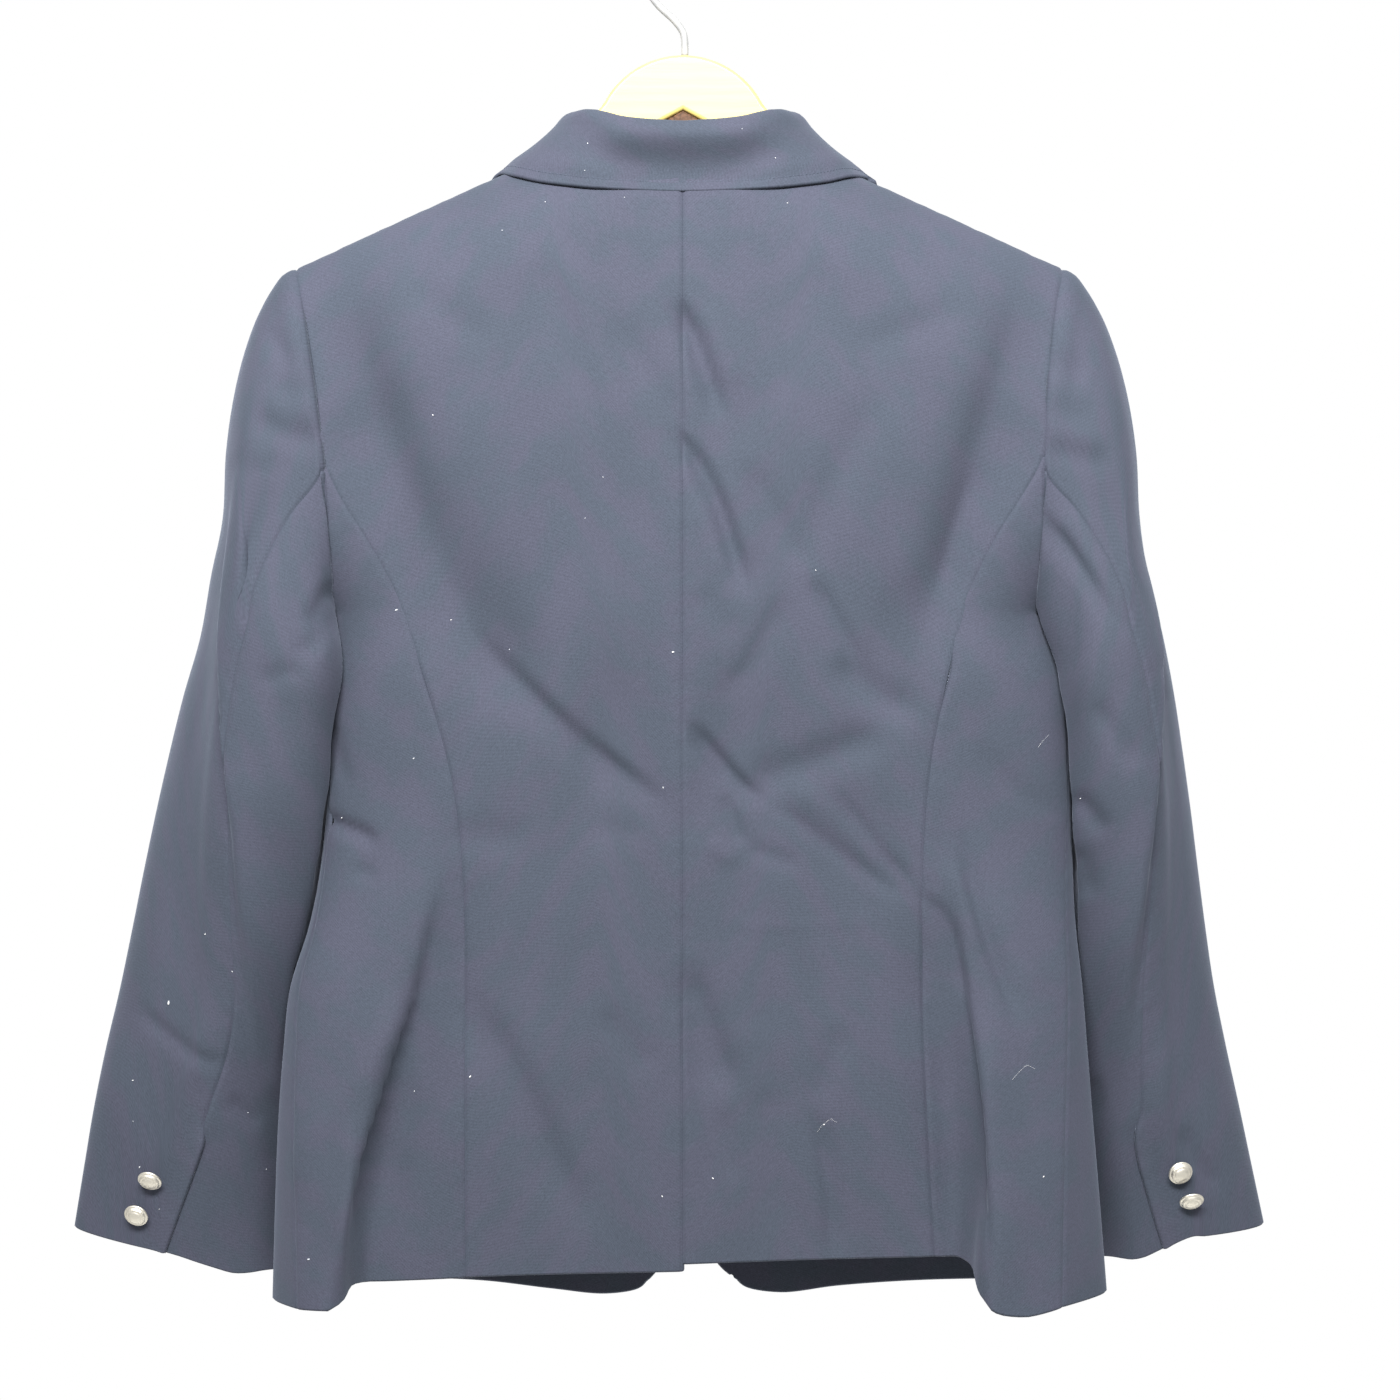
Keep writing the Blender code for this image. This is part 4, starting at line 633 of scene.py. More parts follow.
def under_arm_points(side):
    """The bottom of the armhole, from the princess seam round to the side seam."""
    def place(share):
        z = mix(PRINCESS_TOP, ARMPIT_Z, sin(0.5 * pi * share))
        return line_at(side, armhole_x(side, z), z)

    return points_along(SIDE_STEPS, place)[:-1] + [ARMPIT]


def side_seam_points(side):
    """The side seam, from the armpit down to the hem."""
    foot = hem_z(side, 0.4 * pi)

    def place(share):
        z = mix(ARMPIT_Z, foot, share)
        return line_at(side, read(SIDE_SEAM, SIDE_NAMES[side], z) * half_width(side, z), z)

    points = points_along(PRINCESS_STEPS, place)
    points[0] = ARMPIT
    points[-1][1] = hem_z(side, points[-1][0])
    return points


def front_armhole_points(side):
    """From the shoulder tip down the front to the armpit."""
    return armhole_points(side, ARMPIT_Z, FRONT_ARMHOLE_STEPS, front=True)[:-1] + [ARMPIT]


def hem_z(side, angle):
    """Height of the hem at an angle round the body."""
    return read(HEM, SIDE_NAMES[side], angle / pi)


def hem_points(side, first, last, steps):
    """The hem from one angle to another."""
    def place(share):
        angle = mix(first, last, share)
        return np.array([angle, hem_z(side, angle)])

    return points_along(steps, place)


def front_edge_points(side):
    """Neck, roll line, straight edge and rounded corner of a front, in step with its other long edge."""
    overlap = -FRONT_OVERLAP
    corner = FRONT_CORNER[side]
    ridge = shoulder_z(side, NECK_POINT_X)
    stops = [(NECK_POINT_X, ridge - drop) for drop in (0.0, 1.0, 4.6, 14.0)] + [FRONT_NECK]
    stops += [(mix(ROLL_TOP[0], overlap, t), mix(ROLL_TOP[1], BREAK_POINT_Z, t))
              for t in (0.03, 0.15, 0.35, 0.55, 0.75, 1.0)]
    stops += [(overlap, z) for z in (BREAK_POINT_Z - 30.0, -480.0, -540.0, FRONT_EDGE_STRAIGHT_TO)]
    stops += [(mix(overlap, corner[0], share), z) for share, z in CUTAWAY] + [corner]
    fixed = resample_keeping(stops, FRONT_ARMHOLE_STEPS + PRINCESS_STEPS)
    return [line_at(side, x, min(z, shoulder_z(side, x)), front=True) for x, z in fixed]


def resample_keeping(stops, steps):
    """Spreads steps over the stretches between stops in proportion to their length, keeping each stop."""
    stops = [np.array(s, float) for s in stops]
    lengths = [norm(b - a) for a, b in zip(stops, stops[1:])]
    counts = [1] * len(lengths)
    while sum(counts) < steps:
        longest = max(range(len(lengths)), key=lambda n: lengths[n] / counts[n])
        counts[longest] += 1
    points = [stops[0]]
    for a, b, count in zip(stops, stops[1:], counts):
        points += [mix(a, b, n / count) for n in range(1, count + 1)]
    return points


def inwards(before, point, after, neighbour):
    """Direction from an edge point into its panel, square to the edge."""
    along = unit(after - before)
    into = neighbour - point
    return unit(into - along * np.dot(into, along))


def draw_in(grid, amount=0.5 * SEAM_GAP):
    """Pulls the edge rows and columns of a grid in along the surface, which opens the seams."""
    def pulls(rows):
        """For the first and last row: its points' moves towards the row beside it."""
        for edge, next_to in ((0, 1), (len(rows) - 1, len(rows) - 2)):
            line, last = rows[edge], len(rows[edge]) - 1
            for j, point in enumerate(line):
                before, after = line[max(j - 1, 0)], line[min(j + 1, last)]
                yield edge, j, amount * inwards(before, point, after, rows[next_to][j])

    moved = [[p.copy() for p in row] for row in grid]
    for i, j, move in pulls(grid):
        moved[i][j] += move
    for j, i, move in pulls(list(zip(*grid))):
        moved[i][j] += move
    return moved


def back_lines(side):
    """Rows of a back, from the neck and shoulder down to the hem."""
    top = neck_points(side) + shoulder_points(side)[1:]
    right = back_armhole_points(side) + princess_points(side)[1:]
    top_z, hem = top[0][1], hem_z(side, 0.0)
    tall = right[0][1] - right[-1][1]
    left = [np.array([0.0, mix(top_z, hem, (right[0][1] - p[1]) / tall)]) for p in right]
    bottom = hem_points(side, 0.0, right[-1][0], len(top) - 1)
    right[-1] = bottom[-1].copy()
    return fill(top, bottom, left, right)


def side_body_lines(side):
    """Rows from the princess seam across to the armhole and, below the arm, to the side seam."""
    left = princess_points(side)
    right = under_arm_points(side) + side_seam_points(side)[1:]
    edges = []
    for edge in (left, right):
        places = np.array([body_point(side, a, z=z) for a, z in edge])
        run = np.concatenate([[0.0], np.cumsum(norm(np.diff(places, axis=0), axis=1))])
        edges.append((np.array(edge)[:, None, :], run))
    (left, left_run), (right, right_run) = edges
    shares = right_run / right_run[-1]
    shares[0] = SIDE_TIP / right_run[-1]
    left = list(spline(left, left_run, shares * left_run[-1])[:, 0])
    right = list(spline(right, right_run, shares * right_run[-1])[:, 0])
    top = [mix(left[0], right[0], n / SIDE_STEPS) for n in range(SIDE_STEPS + 1)]
    bottom = hem_points(side, left[-1][0], right[-1][0], SIDE_STEPS)
    left[-1], right[-1] = bottom[0].copy(), bottom[-1].copy()
    return fill(top, bottom, left, right)


def front_lines(side):
    """Rows of a front, from the shoulder down to the hem, from the side seam across to the edge."""
    left = front_armhole_points(side) + side_seam_points(side)[1:]
    right = front_edge_points(side)
    top = smooth_line(list(reversed(shoulder_points(side, front=True))), FRONT_STEPS)
    for p in top:
        square = read(SECTIONS, "square", p[1])
        s, c = abs(sin(p[0])), abs(cos(p[0]))
        x = half_width(side, p[1]) * s * (s**square + c**square) ** (-1.0 / square)
        p[1] = shoulder_z(side, x)
    corner, first = right[-1], left[-1][0]
    start = angle_of(side, FRONT_CORNER[side][0] + CORNER_ROUNDING, HEM[-1][1], front=True)

    def hem_place(share):
        angle = mix(first, corner[0], sin(0.5 * pi * share))
        rounding = max((angle - start) / (corner[0] - start), 0.0)
        return np.array([angle, mix(hem_z(side, angle), corner[1], rounding**2)])

    return fill(top, points_along(FRONT_STEPS, hem_place), left, right)


# Lapels and collar

def fold_ring(centre, out, up, radius, columns):
    """Points round a fold, from its inner side over the top to its outer side, ends left out."""
    turns = [pi * n / columns for n in range(1, columns)]
    return [centre - out * radius * cos(turn) + up * radius * sin(turn) for turn in turns]


def lapel_middle(side):
    """The front turned back at the roll line: the fold itself, then the cloth that lies on the chest."""
    def laid(place, lift=0.0):
        return on_body(side, *place, front=True, lift=lift)

    overlap = -FRONT_OVERLAP
    top_in, top_out = np.array(ROLL_TOP), np.array(LAPEL_PEAK)
    foot_in = np.array([overlap, BREAK_POINT_Z])
    foot_out = np.array([overlap + 5.0, BREAK_POINT_Z + 1.0])
    edge_out = unit(np.array([foot_out[1] - top_out[1], top_out[0] - foot_out[0]]))
    if edge_out[0] < 0.0:
        edge_out = -edge_out
    gorge = float(norm(np.array(GORGE_NOTCH) - top_in) / norm(top_out - top_in))
    shares = [j / LAPEL_COLUMNS for j in range(LAPEL_COLUMNS + 1)]
    shares[-3] = gorge
    radius = 0.5 * (ROLL_LIFT + 0.5 * WALL)
    middle = []
    for i in range(LAPEL_ROWS + 1):
        v = i / LAPEL_ROWS
        start = mix(top_in, foot_in, v)
        end = mix(top_out, foot_out, v) + edge_out * LAPEL_BELLY * sin(pi * v)
        row = [laid(mix(start, end, u), mix(ROLL_LIFT, EDGE_LIFT, ease(u / 0.5))) for u in shares]
        base = laid(start)
        out = unit(laid(start, 1.0) - base)
        along = unit(laid(mix(top_in, foot_in, min(v + 0.01, 1.0)))
                     - laid(mix(top_in, foot_in, max(v - 0.01, 0.0))))
        up = np.cross(along, out)
        if up[0] * side > 0.0:
            up = -up
        centre = base + out * (ROLL_LIFT - radius) + up * ROLL_GAP
        middle.append([centre - out * radius] + fold_ring(centre, out, up, radius, ROLL_COLUMNS) + row)
    return middle


def collar_section(side, share):
    """One section of the collar: up the stand, over the fold and down the leaf."""
    neck_x, neck_z, *roll, edge_x, edge_z = (read(COLLAR, name, share) for name in COLLAR[0][1:])
    in_front = share > COLLAR_SHOULDER_SHARE
    neck_z = min(neck_z, shoulder_z(side, neck_x))
    base = on_body(side, neck_x, neck_z, in_front)
    out = unit(on_body(side, neck_x, neck_z, in_front, lift=1.0) - base)
    neck = base - 0.5 * WALL * out
    roll = np.array(roll) * (side, 1.0, 1.0)
    edge_z = min(edge_z, shoulder_z(side, edge_x))
    lift = mix(COLLAR_BACK_LIFT, EDGE_LIFT, ease((share - 0.4) / 0.5))
    edge = on_body(side, edge_x, edge_z, in_front, lift=lift)
    up = -unit(unit(neck - roll) + unit(edge - roll))
    out = unit(out - up * np.dot(out, up))
    radius = mix(*COLLAR_ROLL, ease((share - 0.4) / 0.6))
    inner, outer = roll - out * radius, roll + out * radius
    neck = neck + up * STAND_GAP
    points = [neck, mix(neck, inner, 0.5), inner, *fold_ring(roll, out, up, radius, ROLL_COLUMNS)]
    hug = ease((share - COLLAR_SHOULDER_SHARE) / 0.3)
    fold, tip = np.array([side * outer[0], outer[2]]), np.array([edge_x, edge_z])
    bend = np.array(GORGE_NOTCH) - mix(fold, tip, COLLAR_NOTCH_SHARE)
    bend = bend * ease((share - 0.72) / 0.28)
    knee = outer - up * 0.45 * norm(edge - outer)
    for p in COLLAR_LEAF_SHARES:
        free = (1 - p) ** 2 * outer + 2 * p * (1 - p) * knee + p * p * edge
        if hug > 0.0:
            tent = min(p / COLLAR_NOTCH_SHARE, (1 - p) / (1 - COLLAR_NOTCH_SHARE))
            lift = mix(ROLL_LIFT, EDGE_LIFT, ease(p / 0.5))
            laid = on_body(side, *(mix(fold, tip, p) + bend * tent), front=True, lift=lift)
            free = mix(free, laid, hug)
        points.append(free)
    return points


def collar_middle():
    """The collar's sections from the right front round the neck to the left front."""
    shares = [n / COLLAR_STEPS for n in range(COLLAR_STEPS + 1)]
    right = [collar_section(RIGHT, share) for share in reversed(shares[1:])]
    return right + [collar_section(LEFT, share) for share in shares]


# Sleeves

def armhole_loop(side):
    """The armhole, from the shoulder tip down the back, under the arm and up the front."""
    lines = back_armhole_points(side)[:-1] + under_arm_points(side)[:-1]
    lines += list(reversed(front_armhole_points(side)))[:-1]
    return lines


def sleeve_ring(side, z):
    """A sleeve's section at a level, with its centre, half width and lean angle."""
    ring = {name: read(SLEEVES[side], name, z) for name in SLEEVES[side][0][1:]}
    ring["x"] = 0.5 * (ring["outer"] + ring["inner"])
    ring["half"] = 0.5 * (ring["outer"] - ring["inner"])
    ring["lag"] = degrees(asin(ring["lean"] / ring["half"]))
    return ring


def ring_angle(ring, x, behind=True):
    """The angle at which a sleeve's section passes this distance from the middle."""
    swing = degrees(asin(clamp((x - ring["x"]) / ring["half"], -0.97, 0.97)))
    return ring["lag"] + (swing if behind else 180.0 - swing)


def sleeve_point(side, z, angle):
    """A point of the sleeve below its head. angle runs from behind (0) by the outside (90)."""
    ring = sleeve_ring(side, z)
    outside = ring["lag"] + 90.0
    dx = ring["half"] * sin(radians(angle - ring["lag"]))
    y = ring["y"] + ring["deep"] * cos(radians(angle))
    ridge = ring_angle(ring, ring["ridge"])
    turned = angle % 360.0
    beyond = (turned - ridge) / max(outside - ridge, 1.0)
    if 0.0 < beyond:
        y -= ring["drop"] * ease(beyond / 0.35) * (1.0 - ease((turned - outside) / 70.0))
    low = ease((CUFF_CURL_HEIGHTS[0] - z) / (CUFF_CURL_HEIGHTS[0] - CUFF_CURL_HEIGHTS[1]))
    curl = CUFF_CURL * low * ease((-dx / ring["half"] - 0.5) / 0.5)
    height = z + ring["tilt"] * dx + ring["sag"] * min(dx, 0.0) + curl
    x = max(ring["x"] + dx, body_edge(side, y, height) + SLEEVE_CLEARANCE)
    return np.array([side * x, y, height])


def body_edge(side, y, z):
    """How far out the side of the body reaches at a depth and a height."""
    share = abs(y) / read(SECTIONS, "back" if y >= 0.0 else "front", z)
    if share >= 1.0:
        return 0.0
    edge = half_width(side, z) * rounded(share, read(SECTIONS, "square", z))
    if y > 0.0:
        edge += read(FLARES, "kick", z) * sin(pi * ease(share / 0.9))
    return edge


def seam_angles(side, z, count, hind, fore):
    """Angles round a sleeve ring, so that both seams fall on points. The order follows the armhole."""
    ring = sleeve_ring(side, z)
    outside = ring["lag"] + 90.0
    hind_angle = ring_angle(ring, ring["hind"])
    fore_x = mix(ring["inner"], ring["outer"], FORE_SEAM_SHARE)
    fore_angle = ring_angle(ring, fore_x, behind=False) - 360.0
    stops = (0, hind, fore, count)
    return list(np.interp(range(count), stops, (outside, hind_angle, fore_angle, outside - 360.0)))


def head_row(side, seam, normals, arm, share):
    """A ring of the sleeve's head, part of the way from the armhole to the arm."""
    row = []
    for edge, normal, end in zip(seam, normals, arm):
        high = ease((edge[2] - ARMPIT_Z) / (SHOULDER_TIP_Z - ARMPIT_Z))
        start = edge + np.array([side * SEAM_GAP, 0.0, 0.0])
        out, down = mix(np.array(UNDER_ARM_LEAVES), np.array(HEAD_LEAVES), high)
        leave = np.array([side * out, 0.0, -down])
        leave = unit(leave - normal * np.dot(leave, normal) * high)
        pull = norm(end - start) * mix(np.array(HEAD_PULL[0]), np.array(HEAD_PULL[1]), high)
        first = start + leave * pull[0]
        second = end + np.array([0.0, 0.0, pull[1]])
        left = 1.0 - share
        point = left**3 * start + 3 * share * left**2 * first + 3 * share**2 * left * second + share**3 * end
        if point[2] < ARMPIT_Z:
            edge_x = body_edge(side, point[1], point[2]) + mix(SEAM_GAP, SLEEVE_CLEARANCE, share)
            point[0] = side * max(side * point[0], edge_x)
        row.append(point)
    return row


def sleeve_rows(side):
    """Rings of the whole sleeve from armhole to cuff, as a grid that closes on itself."""
    loop = armhole_loop(side)
    count = len(loop)
    seam = [body_point(side, a, z=z) for a, z in loop]
    normals = [body_normal(side, a, z) for a, z in loop]
    head_z, cuff_z = SLEEVES[side][1][0], SLEEVES[side][-1][0]
    arm = []
    for i in range(SLEEVE_STEPS + 1):
        ring = []
        for k, edge in enumerate(seam):
            high = ease((edge[2] - ARMPIT_Z) / (SHOULDER_TIP_Z - ARMPIT_Z))
            z = mix(mix(UNDER_ARM_LEVEL, head_z, high), cuff_z, i / SLEEVE_STEPS)
            angle = seam_angles(side, z, count, HIND_SEAM_POINT, FORE_SEAM_POINT)[k]
            ring.append(sleeve_point(side, z, angle))
        arm.append(ring)
    head = [head_row(side, seam, normals, arm[0], i / SLEEVE_CAP_STEPS) for i in range(SLEEVE_CAP_STEPS)]
    return head + arm


def sleeve_place(side, x, z):
    """The place and normal on the back of a sleeve at a distance from the middle and a height."""
    level = z
    for _ in range(4):
        angle = ring_angle(sleeve_ring(side, level), x)
        place = sleeve_point(side, level, angle)
        level += z - place[2]
    around = sleeve_point(side, level, angle + 4.0) - sleeve_point(side, level, angle - 4.0)
    down = sleeve_point(side, level - 4.0, angle) - sleeve_point(side, level + 4.0, angle)
    return place, side * unit(np.cross(around, down))


# Hanger

def board_half(side):
    """Half of the board's outline, from the dome's peak round to the notch, as (x, z)."""
    turns = [radians(DOME_END) * n / DOME_STEPS for n in range(DOME_STEPS + 1)]
    points = [(DOME_RADIUS * sin(t), DOME_PEAK_Z - DOME_RADIUS * (1.0 - cos(t))) for t in turns]
    points += BOARD_NECK
    top = []
    for x in BOARD_TOP_X:
        drop = BOARD_DROP * ease((x - BOARD_DROP_X[0]) / (BOARD_DROP_X[1] - BOARD_DROP_X[0]))
        top.append((x, shoulder_z(side, x) - BOARD_CLEARANCE - drop))
    points += top
    end_z = shoulder_z(side, BOARD_END_X) - BOARD_CLEARANCE - BOARD_DROP
    low_z = top[-1][1] - BOARD_HEIGHT[1]
    points += [(BOARD_END_X, end_z - 3.5), (BOARD_END_X, low_z + 3.0), (BOARD_TOP_X[-1], low_z)]
    for x, z in reversed(top[:-1]):
        share = (x - BOARD_TOP_X[0]) / (BOARD_TOP_X[-1] - BOARD_TOP_X[0])
        points.append((x, z - mix(*BOARD_HEIGHT, share)))
    points += BOARD_NOTCH[1:]
    return [(side * x, z) for x, z in points]


def hook_path(steps):
    """The middle of the hook's wire, from the stem over the rail to the tip."""
    centre = np.array([0.0, 0.5 * HOOK_WIRE - HOOK_RADIUS])
    stops = [np.array(p) for p in HOOK_STEM]
    for n in range(13):
        turn = radians(mix(HOOK_JOIN, HOOK_END, n / 12))
        stops.append(centre + HOOK_RADIUS * np.array([cos(turn), sin(turn)]))
    return [np.array([x, 0.0, z]) for x, z in smooth_line(stops, steps)]


# Materials

GRAIN = "grain"  # the flat map of each piece, in metres along and across its cloth

WALE_MM = 1.35  # the real twill lines are 0.5 mm apart: drawn coarser, so that they show
YARN_MM = 0.9
NEP_MM = 2.2  # uneven yarn, seen as a soft mottle
WEAR_MM = 55.0
PATCH_MM = 26.0
TAFFETA_RIB_MM = 0.8  # the real ribs are 0.2 mm apart: drawn coarser too


def linear(hex_colour):
    """An sRGB hex colour as linear red, green, blue and alpha."""
    channels = [int(hex_colour[k:k + 2], 16) / 255.0 for k in (1, 3, 5)]
    return tuple(c / 12.92 if c <= 0.04045 else ((c + 0.055) / 1.055) ** 2.4 for c in channels) + (1.0,)


def set_stops(elements, stops):
    """Places and hex colours of a colour ramp."""
    while len(elements) < len(stops):
        elements.new(0.5)
    for element, (place, colour) in zip(elements, stops):
        element.position = place
        element.color = linear(colour) if isinstance(colour, str) else colour


def add_node(tree, kind, settings=None, links=None):
    """Adds a node. settings go to its properties, input values or ramp stops, links to its inputs."""
    node = tree.nodes.new("ShaderNode" + kind)
    for name, value in (settings or {}).items():
        if name == "stops":
            set_stops(node.color_ramp.elements, value)
        elif isinstance(name, str) and hasattr(node, name):
            setattr(node, name, value)
        else:
            node.inputs[name].default_value = value
    for name, (source, output) in (links or {}).items():
        tree.links.new(source.outputs[output], node.inputs[name])
    return node


def new_material(name, **settings):
    """A material and its node tree. The shader's steady numbers are set on its own sockets."""
    made = bpy.data.materials.new(name)
    made.use_nodes = True
    shader = made.node_tree.nodes["Principled BSDF"]
    for socket, value in {"Metallic": 0.0, **settings}.items():
        shader.inputs[socket.replace("_", " ")].default_value = value
    return made, made.node_tree


def finish_material(made, colour, height=None, strength=0.0, depth=0.0, rough=None):
    """Links a colour, a relief from a height, and a roughness to a material's shader. Each is a node and
    its output."""
    tree = made.node_tree
    wanted = {"Base Color": colour, "Roughness": rough}
    if height:
        bump = add_node(tree, "Bump", {"Strength": strength, "Distance": depth},
                        {"Height": height})
        wanted["Normal"] = (bump, "Normal")
    for socket, source in wanted.items():
        if source:
            tree.links.new(source[0].outputs[source[1]], tree.nodes["Principled BSDF"].inputs[socket])
    return made


def plain_finish(name, size_mm, detail, stops, strength=0.0, depth=0.0, **settings):
    """A finish whose colour, and relief if it has one, follow one even grain."""
    made, tree = new_material(name, **settings)
    place = add_node(tree, "TexCoord")
    grain = add_node(tree, "TexNoise", {"Scale": 1.0 / (size_mm * MM), "Detail": detail},
                     {"Vector": (place, "Object")})
    colour = add_node(tree, "ValToRGB", {"stops": stops}, {"Fac": (grain, "Fac")})
    return finish_material(made, (colour, "Color"), (grain, "Fac") if strength else None, strength, depth)


def worsted_twill(name):
    """Worsted twill, woven and pressed: matt, with fine slanting lines and a faint fuzz seen at a slant."""
    made, tree = new_material(name, Roughness=0.86, IOR=1.5, Specular_IOR_Level=0.22, Sheen_Weight=0.25,
                              Sheen_Roughness=0.45, Sheen_Tint=linear("#aab4c8"))
    grain = add_node(tree, "UVMap", {"uv_map": GRAIN})
    turned = add_node(tree, "Mapping", {"Rotation": (0.0, 0.0, radians(52.0))},
                      {"Vector": (grain, "UV")})
    # A wave's lines lie 2 pi / 20 apart at scale 1.
    wale = add_node(tree, "TexWave", {
        "Scale": pi / (10.0 * WALE_MM * MM), "Distortion": 0.6, "Detail": 1.0, "Detail Scale": 2.0,
    }, {"Vector": (turned, "Vector")})
    yarn, nep, wear, patch = [
        add_node(tree, "TexNoise", {"Scale": 1.0 / (size * MM), "Detail": detail},
                 {"Vector": (grain, "UV")})
        for size, detail in ((YARN_MM, 2.0), (NEP_MM, 3.0), (WEAR_MM, 4.0), (PATCH_MM, 3.0))
    ]
    weave = add_node(tree, "Math", {"operation": "MULTIPLY_ADD", 1: 0.14},
                     {0: (wale, "Fac"), 2: (yarn, "Fac")})
    share = weave
    for source, weight in ((nep, 0.5), (wear, 0.35)):
        share = add_node(tree, "Math", {"operation": "MULTIPLY_ADD", 1: weight},
                         {0: (source, "Fac"), 2: (share, "Value")})
    even = add_node(tree, "MapRange", {"From Min": 0.56, "From Max": 1.36},
                    {"Value": (share, "Value")})
    navy, plum = [
        add_node(tree, "ValToRGB", {
            "stops": [(0.1, scaled(shade, 0.78)), (0.9, scaled(shade, 1.22))],
        }, {"Fac": (even, "Result")})
        for shade in (cloth_settings().navy, linear(PLUM))
    ]
    patches = add_node(tree, "ValToRGB", {"stops": [(0.42, "#000000"), (0.58, "#ffffff")]},
                       {"Fac": (patch, "Fac")})
    both = add_node(tree, "Mix", {"data_type": "RGBA"},
                    {"Factor": (patches, "Color"), 6: (navy, "Color"), 7: (plum, "Color")})
    return finish_material(made, (both, 2), (weave, "Value"), 0.35, 0.00035)


def scaled(colour, factor):
    """A linear colour made lighter or darker."""
    return tuple(min(c * factor, 1.0) for c in colour[:3]) + (1.0,)


def taffeta_lining(name):
    """Polyester taffeta, woven from smooth filament: darker than the twill, with a soft shine."""
    made, tree = new_material(name, Roughness=0.42, IOR=1.54, Specular_IOR_Level=0.4, Sheen_Weight=0.1,
                              Sheen_Roughness=0.3)
    grain = add_node(tree, "UVMap", {"uv_map": GRAIN})
    threads = add_node(tree, "TexWave", {
        "bands_direction": "Y", "Scale": pi / (10.0 * TAFFETA_RIB_MM * MM), "Distortion": 0.4,
    }, {"Vector": (grain, "UV")})
    mottle = add_node(tree, "TexNoise", {"Scale": 1.0 / (14.0 * MM), "Detail": 3.0},
                      {"Vector": (grain, "UV")})
    colour = add_node(tree, "ValToRGB", {"stops": [(0.3, "#2c313f"), (0.75, "#3a4152")]},
                      {"Fac": (mottle, "Fac")})
    return finish_material(made, (colour, "Color"), (threads, "Fac"), 0.15, 0.0002)


def polyester_thread(name):
    """Polyester sewing thread, spun and dyed to match: a little lighter and smoother than the cloth."""
    return plain_finish(name, 0.6, 1.0, [(0.3, "#3c4250"), (0.7, "#4b5262")],
                        Roughness=0.55, IOR=1.5, Specular_IOR_Level=0.4)


def cotton_lint(name):
    """White cotton lint: short dry fibres that catch the light."""
    return plain_finish(name, 1.5, 2.0, [(0.35, "#b9bcc4"), (0.65, "#f2f1ee")],
                        Roughness=0.9, IOR=1.5, Specular_IOR_Level=0.2, Sheen_Weight=0.3)


def cast_nickel(name):
    """Nickel-plated brass, cast and aged: bright on the high spots and brownish in the hollows."""
    made, tree = new_material(name, Metallic=1.0, Roughness=0.34)
    place = add_node(tree, "TexCoord")
    pits, worn = [
        add_node(tree, "TexNoise", {"Scale": 1.0 / (size * MM), "Detail": detail},
                 {"Vector": (place, "Object")})
        for size, detail in ((1.1, 4.0), (4.0, 2.0))
    ]
    hollow = add_node(tree, "AmbientOcclusion", {"Distance": 1.2 * MM, "samples": 8})
    patina = add_node(tree, "Math", {"operation": "MULTIPLY_ADD", 1: 0.35},
                      {0: (pits, "Fac"), 2: (hollow, "AO")})
    colour = add_node(tree, "ValToRGB", {
        "stops": [(0.55, "#57503f"), (0.78, "#c4bcab"), (1.0, "#ece7da")],
    }, {"Fac": (patina, "Value")})
    rough = add_node(tree, "MapRange", {"To Min": 0.36, "To Max": 0.56}, {"Value": (worn, "Fac")})
    return finish_material(made, (colour, "Color"), (pits, "Fac"), 0.25, 0.0002, (rough, "Result"))


def lacquered_pale_wood(name):
    """Pale schima wood, sawn, sanded and lacquered: fine straight grain under a clear satin coat."""
    made, tree = new_material(name, Roughness=0.42, IOR=1.5, Specular_IOR_Level=0.5, Coat_Weight=0.35,
                              Coat_Roughness=0.22, Coat_IOR=1.5)
    place = add_node(tree, "TexCoord")
    drawn = add_node(tree, "Mapping", {"Scale": (0.06, 1.0, 1.0)}, {"Vector": (place, "Object")})
    fibre = add_node(tree, "TexNoise", {"Scale": 1.0 / (1.1 * MM), "Detail": 5.0},
                     {"Vector": (drawn, "Vector")})
    rings = add_node(tree, "TexWave", {
        "bands_direction": "Z", "Scale": pi / (10.0 * 7.0 * MM), "Distortion": 3.0, "Detail": 2.0,
        "Detail Scale": 1.2,
    }, {"Vector": (drawn, "Vector")})
    figure = add_node(tree, "Math", {"operation": "MULTIPLY_ADD", 1: 0.45},
                      {0: (rings, "Fac"), 2: (fibre, "Fac")})
    even = add_node(tree, "Math", {"operation": "MULTIPLY", 1: 0.69}, {0: (figure, "Value")})
    colour = add_node(tree, "ValToRGB", {"stops": [(0.15, "#c8b368"), (0.85, "#d8c576")]},
                      {"Fac": (even, "Value")})
    return finish_material(made, (colour, "Color"), (fibre, "Fac"), 0.12, 0.0002)


def stained_block(name):
    """Dark brown, dull, with rough streaks: painted shade that stands for the shaded wood inside the
    hanger's notch.
    """
    return plain_finish(name, 2.0, 4.0, [(0.3, "#35251a"), (0.7, "#6a4c38")], 0.3, 0.0004,
                        Roughness=0.7, IOR=1.5, Specular_IOR_Level=0.3)


def vinyl_coated_wire(name):
    """Steel wire dipped in white vinyl: smooth, a little glossy, with faint runs in the coating."""
    return plain_finish(name, 6.0, 2.0, [(0.3, "#8c8d8e"), (0.7, "#a0a09e")], 0.1, 0.0003,
                        Roughness=0.36, IOR=1.53, Specular_IOR_Level=0.5)


def matt_floor_paint(name):
    """Matt floor paint, rolled: pale and even, with a faint mottle."""
    return plain_finish(name, 120.0, 3.0, [(0.3, "#e4e3e0"), (0.7, "#ecebe8")],
                        Roughness=0.8, IOR=1.5, Specular_IOR_Level=0.2)


